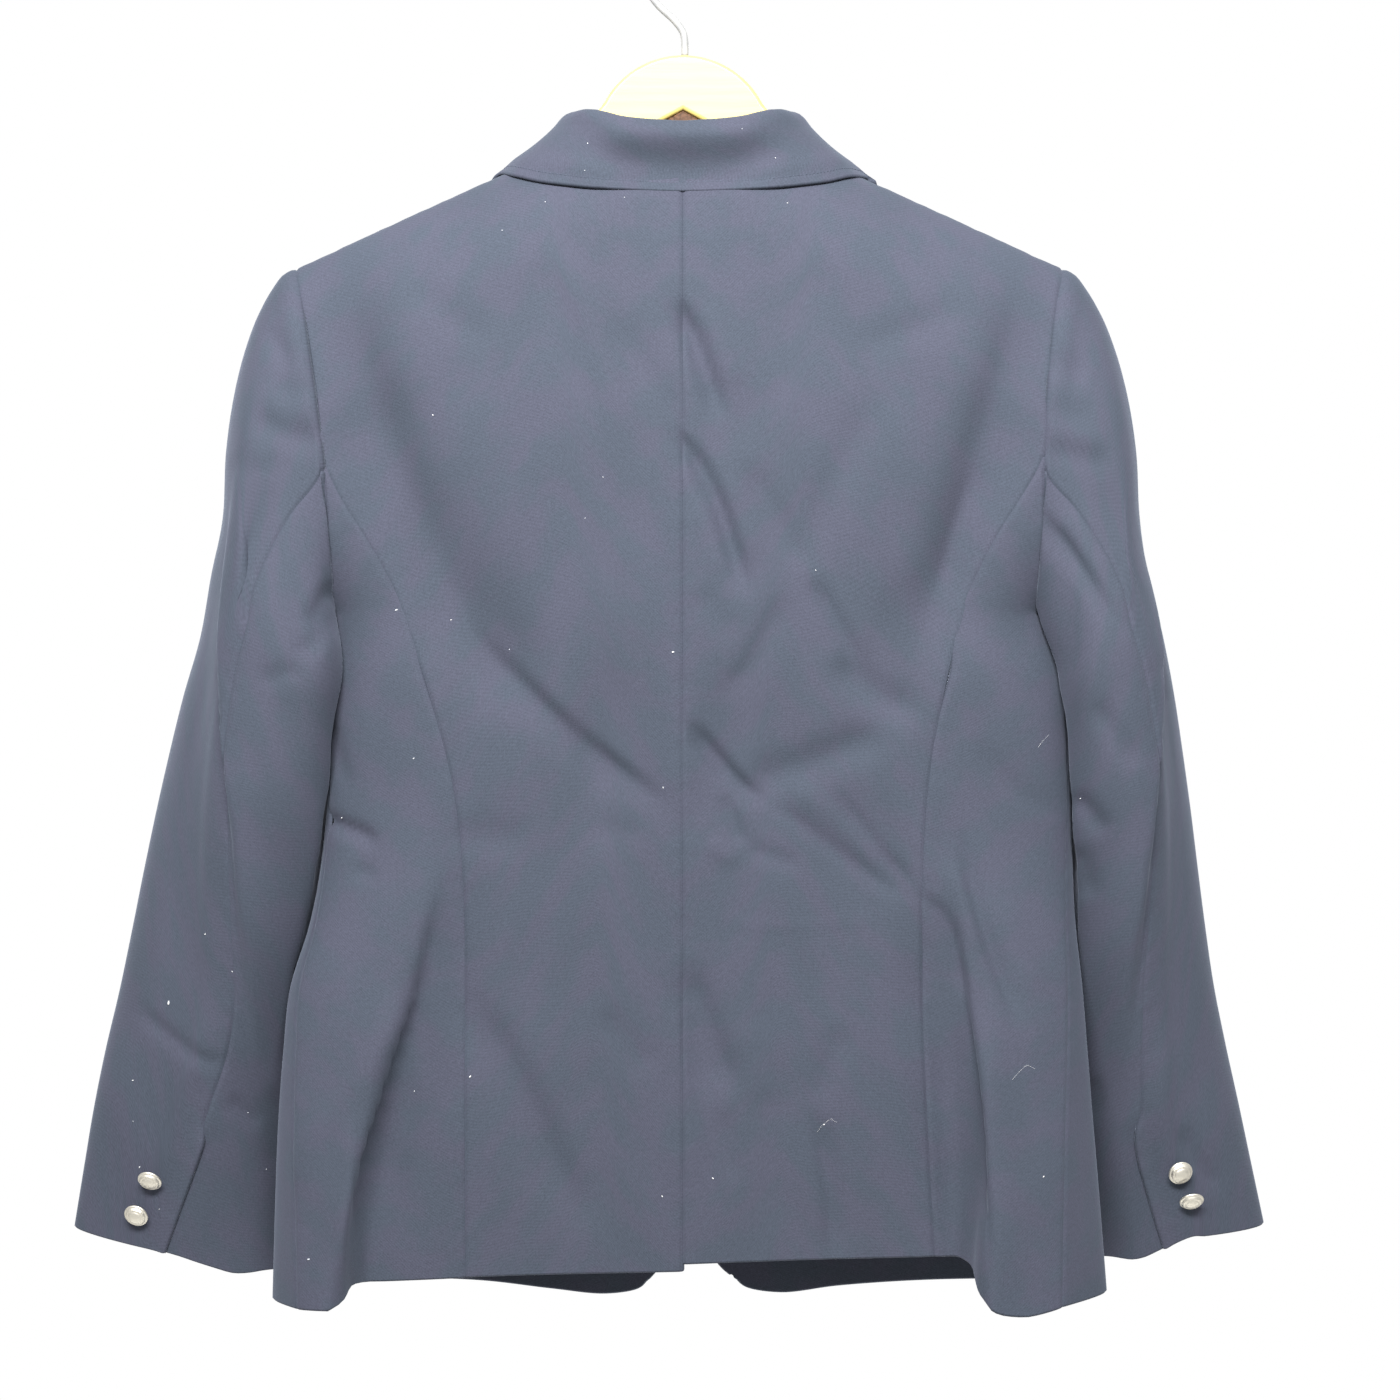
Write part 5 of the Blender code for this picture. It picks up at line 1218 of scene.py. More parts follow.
def material_of(finish):
    """The material that a function makes and is named for, made when it is first asked for."""
    return bpy.data.materials.get(finish.__name__) or finish(finish.__name__)


# Fine grids: smooth surfaces through the coarse points of the solids

EDGE_STEPS = (0.0, 0.35, 0.8, 1.4, 2.4, 4.0)  # fine steps beside every edge, where seams and rims turn


def running_length(points):
    """Mean length along a grid's first axis, up to each of its rows."""
    steps = norm(np.diff(points, axis=0), axis=2).mean(axis=1)
    return np.concatenate([[0.0], np.cumsum(np.maximum(steps, 1e-6))])


def places_along(total, spacing):
    """Places from one edge to the other: fine beside the edges, even between."""
    ends = [s for s in EDGE_STEPS if s < 0.25 * total]
    count = max(2, round((total - 2 * ends[-1]) / spacing))
    middle = np.linspace(ends[-1], total - ends[-1], count + 1)
    return np.concatenate([ends[:-1], middle, [total - s for s in reversed(ends[:-1])]])


def spline(points, knots, places):
    """Reads a smooth surface through rows of points at new places. Corners stay crisp."""
    gaps = np.diff(knots)[:, None, None]
    runs = np.diff(points, axis=0) / gaps
    before, after = runs[:-1], runs[1:]
    speed_in, speed_out = norm(before, axis=2), norm(after, axis=2)
    slopes = np.empty_like(points)
    slopes[1:-1] = (before * gaps[1:] + after * gaps[:-1]) / (gaps[1:] + gaps[:-1])
    turn = (before * after).sum(axis=2) / np.maximum(speed_in * speed_out, 1e-9)
    slopes[1:-1] *= np.clip((turn - 0.35) / 0.4, 0.0, 1.0)[..., None]
    most = 2.2 * np.minimum(speed_in, speed_out)
    speed = np.maximum(norm(slopes[1:-1], axis=2), 1e-9)
    slopes[1:-1] *= np.minimum(1.0, most / speed)[..., None]
    slopes[0] = 1.5 * runs[0] - 0.5 * slopes[1]
    slopes[-1] = 1.5 * runs[-1] - 0.5 * slopes[-2]
    at = np.clip(np.searchsorted(knots, places, side="right") - 1, 0, len(knots) - 2)
    gap = gaps[at]
    t = ((places - knots[at])[:, None, None]) / gap
    return hermite(points[at], slopes[at] * gap, points[at + 1], slopes[at + 1] * gap, t)


def refine(grid, spacing):
    """A fine grid on the smooth surface through a coarse one."""
    points = np.array(grid, float)
    for axis in (0, 1):
        points = np.swapaxes(points, 0, axis)
        knots = running_length(points)
        points = spline(points, knots, places_along(knots[-1], spacing))
        points = np.swapaxes(points, 0, axis)
    return points


def calm(points):
    """Evens out the few places where a fine grid doubles back on itself."""
    for _ in range(40):
        normals = normals_of(points)
        bent = np.zeros(points.shape[:2], bool)
        for axis in (0, 1):
            step = np.swapaxes(normals, 0, axis)
            sharp = (step[1:] * step[:-1]).sum(axis=2) < 0.75
            view = np.swapaxes(bent, 0, axis)
            view[1:] |= sharp
            view[:-1] |= sharp
        for _ in range(3):
            bent[1:-1, 1:-1] |= bent[:-2, 1:-1] | bent[2:, 1:-1] | bent[1:-1, :-2] | bent[1:-1, 2:]
        bent[0], bent[-1], bent[:, 0], bent[:, -1] = False, False, False, False
        if not bent.any():
            break
        mean = points.copy()
        beside = points[:-2, 1:-1] + points[2:, 1:-1] + points[1:-1, :-2] + points[1:-1, 2:]
        mean[1:-1, 1:-1] = 0.25 * beside
        points = np.where(bent[..., None], mean, points)
    return points


def normals_of(points):
    """Unit normals of a fine grid."""
    across = np.gradient(points, axis=1)
    down = np.gradient(points, axis=0)
    normals = np.cross(across, down)
    return normals / np.maximum(norm(normals, axis=2, keepdims=True), 1e-12)


def steady(normals, points):
    """Gives a pointed end the normals of its first wide row, and a rounded corner those inside it."""
    wide = int(np.argmax(norm(np.diff(points, axis=1), axis=2).sum(axis=1) > 6.0))
    normals[:wide] = normals[wide]
    normals[-6:, -6:] = normals[-7, -7]
    return normals


def edge_distances(points):
    """Distance of every point from the grid's four edges, along the cloth."""
    across = norm(np.diff(points, axis=1), axis=2)
    down = norm(np.diff(points, axis=0), axis=2)
    left = np.pad(np.cumsum(across, axis=1), ((0, 0), (1, 0)))
    top = np.pad(np.cumsum(down, axis=0), ((1, 0), (0, 0)))
    return {"left": left, "right": left[:, -1:] - left, "top": top, "bottom": top[-1:] - top}


def eased(t):
    t = np.clip(t, 0.0, 1.0)
    return t * t * (3.0 - 2.0 * t)


def bell(distance, width):
    return np.exp(-((distance / width) ** 2))


# Creases, placed one by one. A negative depth is a trough. Lean moves the steep side: read from top to
# bottom and seen from behind, it is positive where the side on the left of the line is gentle. Points
# of the back are pixels of the photo, and those of the front are (x, z) in mm.

BACK_CREASES = [
    # left half, from the shoulder down to the waist
    (-10, 23, 0.2, [(338, 235), (346, 330), (366, 405), (396, 485), (422, 545), (450, 600), (480, 648),
                        (508, 688), (536, 720)]),
    (-5, 7.5, 0.4, [(455, 612), (500, 664), (540, 704), (575, 735), (605, 760), (640, 787), (678, 814)]),
    (-1.6, 9, 0, [(395, 280), (430, 300), (465, 325), (500, 345)]),
    (1.8, 8, 0, [(545, 232), (572, 285), (598, 340), (614, 400), (626, 455)]),
    (-2.2, 9, 0, [(600, 305), (632, 350), (662, 398), (690, 450)]),
    (-2, 4, 0, [(322, 715), (332, 760), (344, 795)]),
    (-4.8, 3.8, 0, [(306, 818), (340, 830), (358, 837), (376, 848)]),
    (-1.6, 4, 0, [(345, 868), (360, 876), (374, 872)]),
    (-1.7, 10, 0, [(440, 842), (485, 838), (532, 842)]),
    (-1.2, 9, 0, [(580, 832), (615, 832), (648, 842)]),
    # beside the centre-back seam
    (-6.5, 5.5, 0.3, [(676, 290), (703, 358), (715, 395), (723, 428)]),
    (1.2, 6, 0, [(705, 300), (722, 345), (738, 390)]),
    (-6.5, 5, 0.3, [(664, 420), (700, 462), (716, 495), (733, 545), (750, 602)]),
    (1.3, 6, 0, [(700, 492), (714, 540), (726, 582)]),
    (1.2, 6, 0, [(722, 470), (742, 520), (760, 568)]),
    (-1.4, 8, 0, [(698, 585), (716, 615), (736, 642)]),
    (-2.2, 7, -0.2, [(788, 588), (768, 630), (750, 664), (718, 702)]),
    (-2.2, 7, 0, [(742, 455), (760, 488), (782, 528), (806, 575)]),
    # right half, under the shoulder
    (-1.8, 9, 0, [(845, 348), (890, 336), (930, 320), (978, 294)]),
    (-2.2, 10, 0, [(885, 380), (850, 450), (822, 510), (803, 575)]),
    (-6.5, 18, -0.3, [(1036, 250), (1014, 350), (994, 420), (974, 490), (954, 555), (934, 620),
                        (912, 700)]),
    (-2, 6, -0.3, [(985, 455), (965, 510), (950, 560), (940, 600)]),
    (-4.6, 11, 0, [(836, 650), (872, 690), (900, 704), (932, 702)]),
    (-3.8, 10, 0, [(732, 786), (788, 772), (840, 752), (900, 728)]),
    (-3, 5, 0, [(808, 574), (832, 612), (848, 642), (862, 668)]),
    # the long fold that the waist pulls from the middle to the right side seam
    (-5, 5, 0.3, [(688, 718), (716, 755), (742, 785), (770, 804)]),
    (-1.8, 4.5, 0, [(756, 792), (800, 824), (845, 858), (890, 888), (930, 902)]),
    (1.6, 7, 0, [(770, 772), (820, 806), (865, 843), (905, 878)]),
    (-2.4, 4.5, 0, [(832, 786), (860, 826), (888, 860), (926, 898)]),
    (-2.6, 4, 0, [(724, 790), (736, 828), (747, 850)]),
    (-1.5, 5, 0, [(740, 847), (770, 857), (805, 869)]),
    (1.4, 5, 0, [(710, 838), (722, 854), (740, 862)]),
    (-3.2, 3.6, 0.4, [(918, 892), (940, 908), (953, 932), (962, 968), (968, 1005)]),
    (1.6, 5, 0, [(948, 858), (968, 905), (985, 962)]),
    (-3.6, 4.2, 0, [(964, 820), (974, 880), (986, 930), (1003, 975), (1022, 1025), (1032, 1044)]),
    (1.2, 9, 0, [(1000, 895), (1022, 950), (1044, 1000)]),
    (-1.4, 6, 0, [(975, 735), (1000, 772), (1032, 800), (1075, 818)]),
    (0.35, 2.6, 0, [(698, 905), (740, 925), (790, 927), (850, 924), (908, 916)]),
    # the two flares of the skirt
    (-6.6, 14, 0.8, [(946, 870), (953, 915), (961, 985), (969, 1050), (976, 1120), (982, 1190),
                       (988, 1290)]),
    (1.2, 9, 0, [(985, 1000), (995, 1090), (1002, 1180), (1006, 1290)]),
    (-6.6, 14, -0.82, [(450, 850), (427, 945), (418, 995), (401, 1050), (386, 1105), (371, 1155),
                         (360, 1205), (350, 1290)]),
    (2.2, 8, 0, [(418, 975), (385, 1038), (345, 1095), (308, 1148), (286, 1215)]),
    # skirt, between the seams
    (-4.6, 13, 0.2, [(450, 985), (490, 1040), (518, 1090), (540, 1140), (560, 1185), (592, 1240)]),
    (-4.4, 10, 0.2, [(684, 960), (704, 1020), (718, 1060), (734, 1106)]),
    (-1.6, 9, 0, [(598, 1008), (630, 1050), (658, 1078)]),
    (-1.6, 8, 0, [(848, 1025), (830, 1070), (816, 1112)]),
    (-3, 6, -0.3, [(815, 1110), (828, 1180), (832, 1225), (834, 1275)]),
    (1.2, 10, 0, [(745, 1018), (760, 1060), (766, 1112)]),
    (-1.2, 5, 0, [(722, 1108), (728, 1150), (735, 1192)]),
    (-1.4, 4, 0, [(722, 1178), (724, 1270)]),
]
SLEEVE_CREASES = [
    # left sleeve: the head, the armpit, the step at the elbow, the cuff
    (-3.6, 6.5, 0, [(244, 408), (285, 432), (322, 436)]),
    (-1.5, 5, 0, [(260, 318), (275, 345), (294, 358)]),
    (-1.2, 5, 0, [(262, 382), (292, 388), (316, 384)]),
    (-1, 5, 0, [(260, 452), (300, 460)]),
    (-2.6, 4, 0, [(318, 578), (310, 602), (298, 630)]),
    (-2.2, 4, 0, [(318, 606), (308, 634), (290, 662)]),
    (-1.8, 5, 0, [(304, 670), (280, 674), (258, 686)]),
    (7, 12, -0.84, [(230, 470), (224, 545), (222, 600), (221, 650), (222, 710), (225, 765), (230, 830),
                        (233, 900), (237, 980), (242, 1085)]),
    (-2.2, 4.5, 0, [(108, 1014), (150, 1047), (185, 1070), (220, 1078)]),
    (-1.6, 5, 0, [(210, 1110), (228, 1128), (246, 1144)]),
    (-2, 8, 0, [(262, 1095), (258, 1150), (262, 1205)]),
    # right sleeve
    (-2, 6, 0, [(1048, 352), (1070, 362), (1096, 374)]),
    (-1.6, 5, 0, [(1048, 402), (1075, 410), (1102, 412)]),
    (1.4, 5, 0, [(1048, 428), (1085, 436), (1116, 443)]),
    (-2.2, 4.5, 0, [(1043, 446), (1085, 454), (1122, 462)]),
    (-3.6, 4, 0.2, [(1044, 496), (1060, 525), (1075, 552), (1092, 578), (1110, 608), (1130, 645)]),
    (1.4, 6, 0, [(1066, 505), (1090, 545), (1112, 585)]),
    (-2.2, 5, 0, [(1096, 698), (1115, 730), (1138, 770)]),
    (-3.2, 5, 0, [(1076, 794), (1097, 815), (1114, 838)]),
    (-2.6, 6, 0, [(1080, 848), (1094, 878), (1100, 905)]),
    (8, 13, 0.84, [(1144, 500), (1153, 575), (1158, 640), (1159, 700), (1156, 760), (1154, 820),
                       (1150, 880), (1144, 950), (1140, 1020), (1137, 1100)]),
    (-1.8, 5, 0, [(1158, 655), (1168, 678), (1178, 705)]),
    (-2, 6, 0, [(1098, 1092), (1108, 1114), (1100, 1138)]),
    (-2.2, 6, 0, [(1196, 1138), (1215, 1178), (1244, 1214)]),
]
COLLAR_CREASES = [
    (3.6, 8, 0, [(575, 122), (615, 130), (660, 134), (700, 134), (750, 130), (800, 120)]),
    (-5, 10, 0, [(575, 154), (630, 165), (680, 169), (740, 165), (790, 152)]),
]
FRONT_SLEEVE_CREASES = [
    (-1.8, 7, 0.2, [(225, -300), (238, -330), (262, -352)]),
    (-1.6, 8, 0, [(240, -420), (262, -436), (292, -446)]),
    (-1.3, 7, 0, [(246, -470), (268, -480), (296, -500)]),
    (-1.4, 7, 0, [(262, -640), (280, -628), (304, -624)]),
    (-1.8, 7, -0.2, [(-222, -296), (-236, -324), (-256, -350)]),
    (-1.7, 8, 0, [(-240, -410), (-262, -428), (-284, -430)]),
    (-1.2, 7, 0, [(-242, -470), (-262, -488), (-286, -496)]),
    (-1.4, 7, 0, [(-252, -620), (-272, -612), (-296, -614)]),
]
FRONT_CREASES = [
    (-4, 13, 0.3, [(180, -262), (150, -320), (112, -372), (70, -410), (34, -430)]),
    (-3.6, 13, -0.3, [(-178, -270), (-146, -330), (-104, -380), (-62, -416), (-28, -432)]),
    (-2.4, 7, 0, [(40, -452), (82, -470), (128, -474)]),
    (-2.4, 7, 0, [(-24, -450), (-70, -476), (-120, -482)]),
    (1.4, 12, 0, [(150, -470), (160, -560), (166, -660)]),
    (-3.2, 12, 0.4, [(112, -500), (120, -590), (126, -720)]),
    (1.4, 12, 0, [(-148, -480), (-160, -570), (-170, -680)]),
    (-3.2, 12, -0.4, [(-104, -510), (-116, -600), (-120, -730)]),
    (-2, 6, 0, [(20, -525), (44, -560), (52, -610)]),
    (-1.8, 6, 0, [(-14, -528), (-40, -566), (-50, -620)]),
]


def on_back(rows):
    """Creases of the back, from pixels of the photo to mm."""
    return [(*row[:-1], [from_photo(x, y) for x, y in row[-1]]) for row in rows]


def crease_depth(points, normals, creases, facing):
    """How far the creases move each point along its normal. facing is +1 behind and -1 in front."""
    x, z = points[..., 0], points[..., 2]
    seen = eased((normals[..., 1] * facing + 0.05) / 0.35)
    total = np.zeros(x.shape)
    for depth, half, lean, stops in creases:
        stops = np.array(stops, float)[:, None, :]
        knots = running_length(stops)
        path = spline(stops, knots, np.linspace(0.0, knots[-1], 4 * len(stops)))[:, 0]
        reach = 3.0 * half * (1.0 + abs(lean))
        near = (x > path[:, 0].min() - reach) & (x < path[:, 0].max() + reach)
        near &= (z > path[:, 1].min() - reach) & (z < path[:, 1].max() + reach)
        if not near.any():
            continue
        px, pz = x[near], z[near]
        best = np.full(px.shape, 1e9)
        off, along = np.zeros(px.shape), np.zeros(px.shape)
        run = 0.0
        for a, b in zip(path, path[1:]):
            step = b - a
            length = float(np.hypot(*step))
            share = np.clip(((px - a[0]) * step[0] + (pz - a[1]) * step[1]) / length**2, 0.0, 1.0)
            dx, dz = px - a[0] - share * step[0], pz - a[1] - share * step[1]
            distance = np.hypot(dx, dz)
            closer = distance < best
            best = np.where(closer, distance, best)
            off = np.where(closer, np.sign(step[0] * dz - step[1] * dx) * distance, off)
            along = np.where(closer, run + share * length, along)
            run += length
        width = half * np.where(off > 0.0, 1.0 + lean, 1.0 - lean)
        fade = eased(along / (0.3 * run) + 0.05) * eased((run - along) / (0.3 * run) + 0.05)
        total[near] += depth * fade * bell(off, width)
    return total * seen


# Cloth shells

SPACING = 3.0  # of the fine grids, away from the edges
SEAM_DEPTH = 0.8  # a seam line sinks this far, over this width
SEAM_WIDTH = 1.2
SEAM_CLOSE = 1.10  # the inside of a sewn edge reaches this far over, so that no light shows through
SHOULDER_CLOSE = 2.4  # and at the shoulder and the sleeve head this far
PUCKER = 0.10  # height of the small waves beside a seam
STITCH_INSET = 5.0  # of top stitching from an edge
HEM_TURN = 38.0  # width of the twill turned up inside a hem
VENT_HEIGHT = 82.0
CLOTH = []  # every shell, for placing what lies on it


def seam_relief(distance, along):
    """A sewn edge: the line sinks in, and the cloth beside it puckers a little and unevenly."""
    waves = np.sin(along / 1.9) + 0.8 * np.sin(along / 3.1 + 1.3) + 0.6 * np.sin(along / 5.3 + 0.4)
    return -SEAM_DEPTH * bell(distance, SEAM_WIDTH) + PUCKER * waves * bell(distance - 3.0, 3.5)


def facing_sign(points, normals, towards):
    """+1 where a grid's normals already point the way that is asked for at its middle."""
    i, j = points.shape[0] // 2, points.shape[1] // 2
    return 1.0 if np.dot(normals[i, j], towards) > 0.0 else -1.0


def place_mesh(mesh, finish, smooth=True):
    """Puts a mesh into the scene, with its faces turned outwards and one material first."""
    fine = bmesh.new()
    fine.from_mesh(mesh)
    bmesh.ops.recalc_face_normals(fine, faces=fine.faces[:])
    fine.to_mesh(mesh)
    fine.free()
    if smooth:
        mesh.shade_smooth()
    if not mesh.materials:
        mesh.materials.append(material_of(finish))
    return place_object(mesh.name, mesh)


def place_object(name, data):
    """An object for a mesh, a light or a camera, in the scene."""
    made = bpy.data.objects.new(name, data)
    bpy.context.scene.collection.objects.link(made)
    return made


def shell(name, outer, normals, thickness, free, lined=None):
    """A closed cloth shell from its outer points. free names the edges that are rounded off."""
    rows, columns = outer.shape[:2]
    count = rows * columns
    inner = outer - thickness * normals
    index = np.arange(count).reshape(rows, columns)
    border = [*index[0, :], *index[1:, -1], *index[-1, -2::-1], *index[-2:0:-1, 0]]
    edges = ["top"] * columns + ["right"] * (rows - 1) + ["bottom"] * (columns - 1) + ["left"] * (rows - 2)
    sewn = [SHOULDER_CLOSE if edge == "top" else SEAM_CLOSE for edge in edges]
    close = np.array([0.0 if edge in free else reach for edge, reach in zip(edges, sewn)])[:, None]
    flat, flat_in = outer.reshape(-1, 3), inner.reshape(-1, 3).copy()
    tangent = np.roll(flat[border], -1, axis=0) - np.roll(flat[border], 1, axis=0)
    push = np.cross(tangent, normals.reshape(-1, 3)[border])
    push /= np.maximum(norm(push, axis=1, keepdims=True), 1e-9)
    push *= np.sign(np.dot(push[columns // 2], outer[0, columns // 2] - outer[5, columns // 2]))
    reach = np.where(close > 0.0, 0.5 * SEAM_CLOSE, 0.45 * thickness)
    rim = 0.5 * (flat[border] + flat_in[border]) + push * reach
    flat_in[border] += push * close
    vertices = np.concatenate([flat, flat_in, rim]) * MM
    around = (index[:-1, :-1], index[:-1, 1:], index[1:, 1:], index[1:, :-1])
    front = np.stack(around, axis=-1).reshape(-1, 4)
    ring, middle = np.array(border), 2 * count + np.arange(len(border))
    ring_next, middle_next = np.roll(ring, -1), np.roll(middle, -1)
    faces = np.concatenate([
        front,
        front[:, ::-1] + count,
        np.stack([ring_next, ring, middle, middle_next], axis=-1),
        np.stack([middle_next, middle, ring + count, ring_next + count], axis=-1),
    ])
    mesh = bpy.data.meshes.new(name)
    mesh.from_pydata(vertices.tolist(), [], faces.tolist())
    away = edge_distances(outer)
    along = np.stack([away["left"], -away["top"]], axis=-1).reshape(-1, 2) * MM
    flat_map = np.concatenate([along, along, along[border]])
    corners = np.empty(len(mesh.loops), dtype=np.int32)
    mesh.loops.foreach_get("vertex_index", corners)
    layer = mesh.uv_layers.new(name=GRAIN)
    layer.data.foreach_set("uv", flat_map[corners].astype(np.float32).ravel())
    mesh.materials.append(material_of(worsted_twill))
    if lined is not None:
        mesh.materials.append(material_of(taffeta_lining))
        slots = np.zeros(len(faces), dtype=np.int32)
        slots[len(front):2 * len(front)] = (lined[:-1, :-1] & lined[1:, 1:]).reshape(-1)
        mesh.polygons.foreach_set("material_index", slots)
    return place_mesh(mesh, worsted_twill)


def declare_cloth(made, node, points):
    """Hangs a shell on the jacket, hides the solid that it stands for and adds it to the cloth. The edge
    distances and area of its flat cut are worked out but not used.
    """
    away = edge_distances(points)
    area = mesh_area(points) * MM * MM
    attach(made, "root")
    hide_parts(node)
    CLOTH.append(made)


def mesh_area(points):
    """Area of a fine grid."""
    first = np.cross(points[:-1, 1:] - points[:-1, :-1], points[1:, :-1] - points[:-1, :-1])
    second = np.cross(points[:-1, 1:] - points[1:, 1:], points[1:, :-1] - points[1:, 1:])
    return 0.5 * float(norm(first, axis=2).sum() + norm(second, axis=2).sum())


def body_shell(side, node, lines, seams, free, facing, creases):
    """One panel of the body: smooth, then creased, then sewn."""
    gap = (0.5 if "top" in seams else 0.1) * SEAM_GAP
    coarse = draw_in([[body_point(side, a, z=z) for a, z in row] for row in lines], gap)
    points = refine(coarse, SPACING)
    normals = steady(normals_of(points), points)
    middle = points[points.shape[0] // 2, points.shape[1] // 2]
    normals *= facing_sign(points, normals, middle * (0.3, 1.0, 0.0))
    lift = cloth_settings().crease_strength * crease_depth(points, normals, creases, facing)
    away = edge_distances(points)
    sewn = sum(seam_relief(away[edge], away["left" if edge == "top" else "top"]) for edge in seams)
    lift = lift + np.maximum(sewn, -SEAM_DEPTH)
    points = points + lift[..., None] * normals
    lined = away["bottom"] > HEM_TURN
    if "right" in free:
        lined &= away["right"] > 2.0 * HEM_TURN
    made = shell(f"{node}_shell", points, normals, WALL, free, lined)
    declare_cloth(made, node, points)
    return points, normals


# Settings

class BlazerClothSettings(PropertyGroup):
    """Colour and relief of the jacket's cloth."""

    navy: FloatVectorProperty(
        name="Navy", description="Middle colour of the twill", subtype="COLOR", size=4,
        default=linear(NAVY), min=0.0, max=1.0,
    )
    crease_strength: FloatProperty(
        name="Creases", description="Share of the creases' full depth", default=1.0, min=0.0, max=2.0,
        subtype="FACTOR",
    )
    stitch_pitch: FloatProperty(
        name="Stitch pitch", description="From one top stitch to the next", default=2.4 * MM,
        min=1.0 * MM, max=8.0 * MM, unit="LENGTH", subtype="DISTANCE",
    )
    stitch_thread: FloatProperty(
        name="Thread", description="Thickness of the sewing thread", default=0.34 * MM,
        min=0.1 * MM, max=1.0 * MM, unit="LENGTH", subtype="DISTANCE",
    )


class BlazerStageSettings(PropertyGroup):
    """Camera, light and floor."""

    camera_distance: FloatProperty(
        name="Camera distance", description="From the camera to the middle of the jacket", default=1.8,
        min=0.5, max=10.0, unit="LENGTH", subtype="DISTANCE",
    )
    frame_width: FloatProperty(
        name="Frame width", description="Width that the camera takes in at the jacket's middle",
        default=0.784, min=0.1, max=5.0, unit="LENGTH", subtype="DISTANCE",
    )
    floor_drop: FloatProperty(
        name="Floor", description="Depth of the floor below the hook", default=1.6, min=0.9, max=3.0,
        unit="LENGTH", subtype="DISTANCE",
    )
    key_power: FloatProperty(
        name="Key light", description="Power of the large light above the camera", default=KEY_POWER,
        min=0.0, max=200.0, unit="POWER",
    )
    sky_strength: FloatProperty(
        name="Surroundings", description="Strength of the white surroundings", default=SKY_STRENGTH,
        min=0.0, max=5.0,
    )


def cloth_settings():
    return bpy.context.scene.blazer_cloth


# Lapels, collar and sleeves as shells

def turned_shell(node, middle, towards, creases, facing):
    """A folded piece, such as the collar, from the middle of its cloth. towards is where it shows."""
    points = refine(draw_in(middle), 0.8 * SPACING)
    normals = normals_of(points)
    normals *= facing_sign(points, normals, towards)
    thickness = COLLAR_WALL if node == "collar" else WALL
    points = points + 0.5 * thickness * normals
    away = edge_distances(points)
    edge = away["right"]
    lift = cloth_settings().crease_strength * crease_depth(points, normals, creases, facing)
    if node == "collar":
        lift = lift - LEAF_BEND * eased(1.0 - edge / LEAF_REACH)
    lift = lift - 0.35 * bell(edge - STITCH_INSET, 1.0) + 0.15 * bell(edge - 2.2, 1.8)
    points = points + lift[..., None] * normals
    made = shell(f"{node}_shell", points, normals, thickness, ("right",))
    declare_cloth(made, node, points)
    return points, normals


def dress_sleeve(side):
    """Top and under sleeve of one arm, with the lapped vent at the cuff."""
    rows = sleeve_rows(side)
    count = len(rows[0])
    top = [n % count for n in range(FORE_SEAM_POINT, count + HIND_SEAM_POINT + 1)]
    under = list(range(HIND_SEAM_POINT, FORE_SEAM_POINT + 1))
    for piece, picked in (("top_sleeve", top), ("under_sleeve", under)):
        node = f"{piece}_{SIDE_NAMES[side]}"
        points = calm(refine(draw_in([[row[k] for k in picked] for row in rows]), SPACING))
        normals = normals_of(points)
        middle = points[points.shape[0] // 2, points.shape[1] // 2]
        axis = sum(np.array(rows[len(rows) // 2])) / count
        normals *= facing_sign(points, normals, middle - axis)
        away = edge_distances(points)
        strength = cloth_settings().crease_strength
        lift = strength * crease_depth(points, normals, on_back(SLEEVE_CREASES), 1.0)
        lift = lift + strength * crease_depth(points, normals, FRONT_SLEEVE_CREASES, -1.0)
        for edge in ("left", "right", "top"):
            lift = lift + seam_relief(away[edge], away["left" if edge == "top" else "top"])
        high = eased((points[..., 2] - ARMHOLE_MIDDLE_Z) / 60.0)
        lift = lift + HEAD_PUFF * high * bell(away["top"] - 7.0, 6.0)
        hind = "right" if piece == "top_sleeve" else "left"
        low = eased((VENT_HEIGHT - away["bottom"]) / 14.0)
        if piece == "top_sleeve":
            lap = low * bell(away[hind], VENT_LAP)
            lift = lift + (SEAM_DEPTH + 0.9) * lap * bell(away[hind], 3.0) + 0.4 * lap
            across = points[:, -1:] - points[:, -4:-3]
            across = across / np.maximum(norm(across, axis=2, keepdims=True), 1e-9)
            points = points + (VENT_OVERLAP * lap)[..., None] * across
        else:
            lift = lift - 0.9 * low * bell(away[hind], 2.0 * VENT_LAP)
        points = points + lift[..., None] * normals
        for z, half, reach in ARMPIT_PRESS:
            near = bell(points[..., 2] - z, half) * eased((points[..., 1] - 6.0) / 14.0)
            near = near * eased((215.0 - np.abs(points[..., 0])) / 14.0) * eased(away["top"] / 4.0)
            points[..., 0] -= side * reach * near
        made = shell(f"{node}_shell", points, normals, SLEEVE_WALL, ("bottom",), away["bottom"] > HEM_TURN)
        declare_cloth(made, node, points)


# Stitches, lint and hairs

def new_mesh(name, vertices, faces, finish, node=None, smooth=True):
    """A piece with one material from points in mm, riding on the jacket in the place of a solid if it
    has one."""
    mesh = bpy.data.meshes.new(name)
    mesh.from_pydata([Vector(v) * MM for v in vertices], [], faces)
    made = place_mesh(mesh, finish, smooth)
    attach(made, "root")
    if node:
        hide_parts(node)


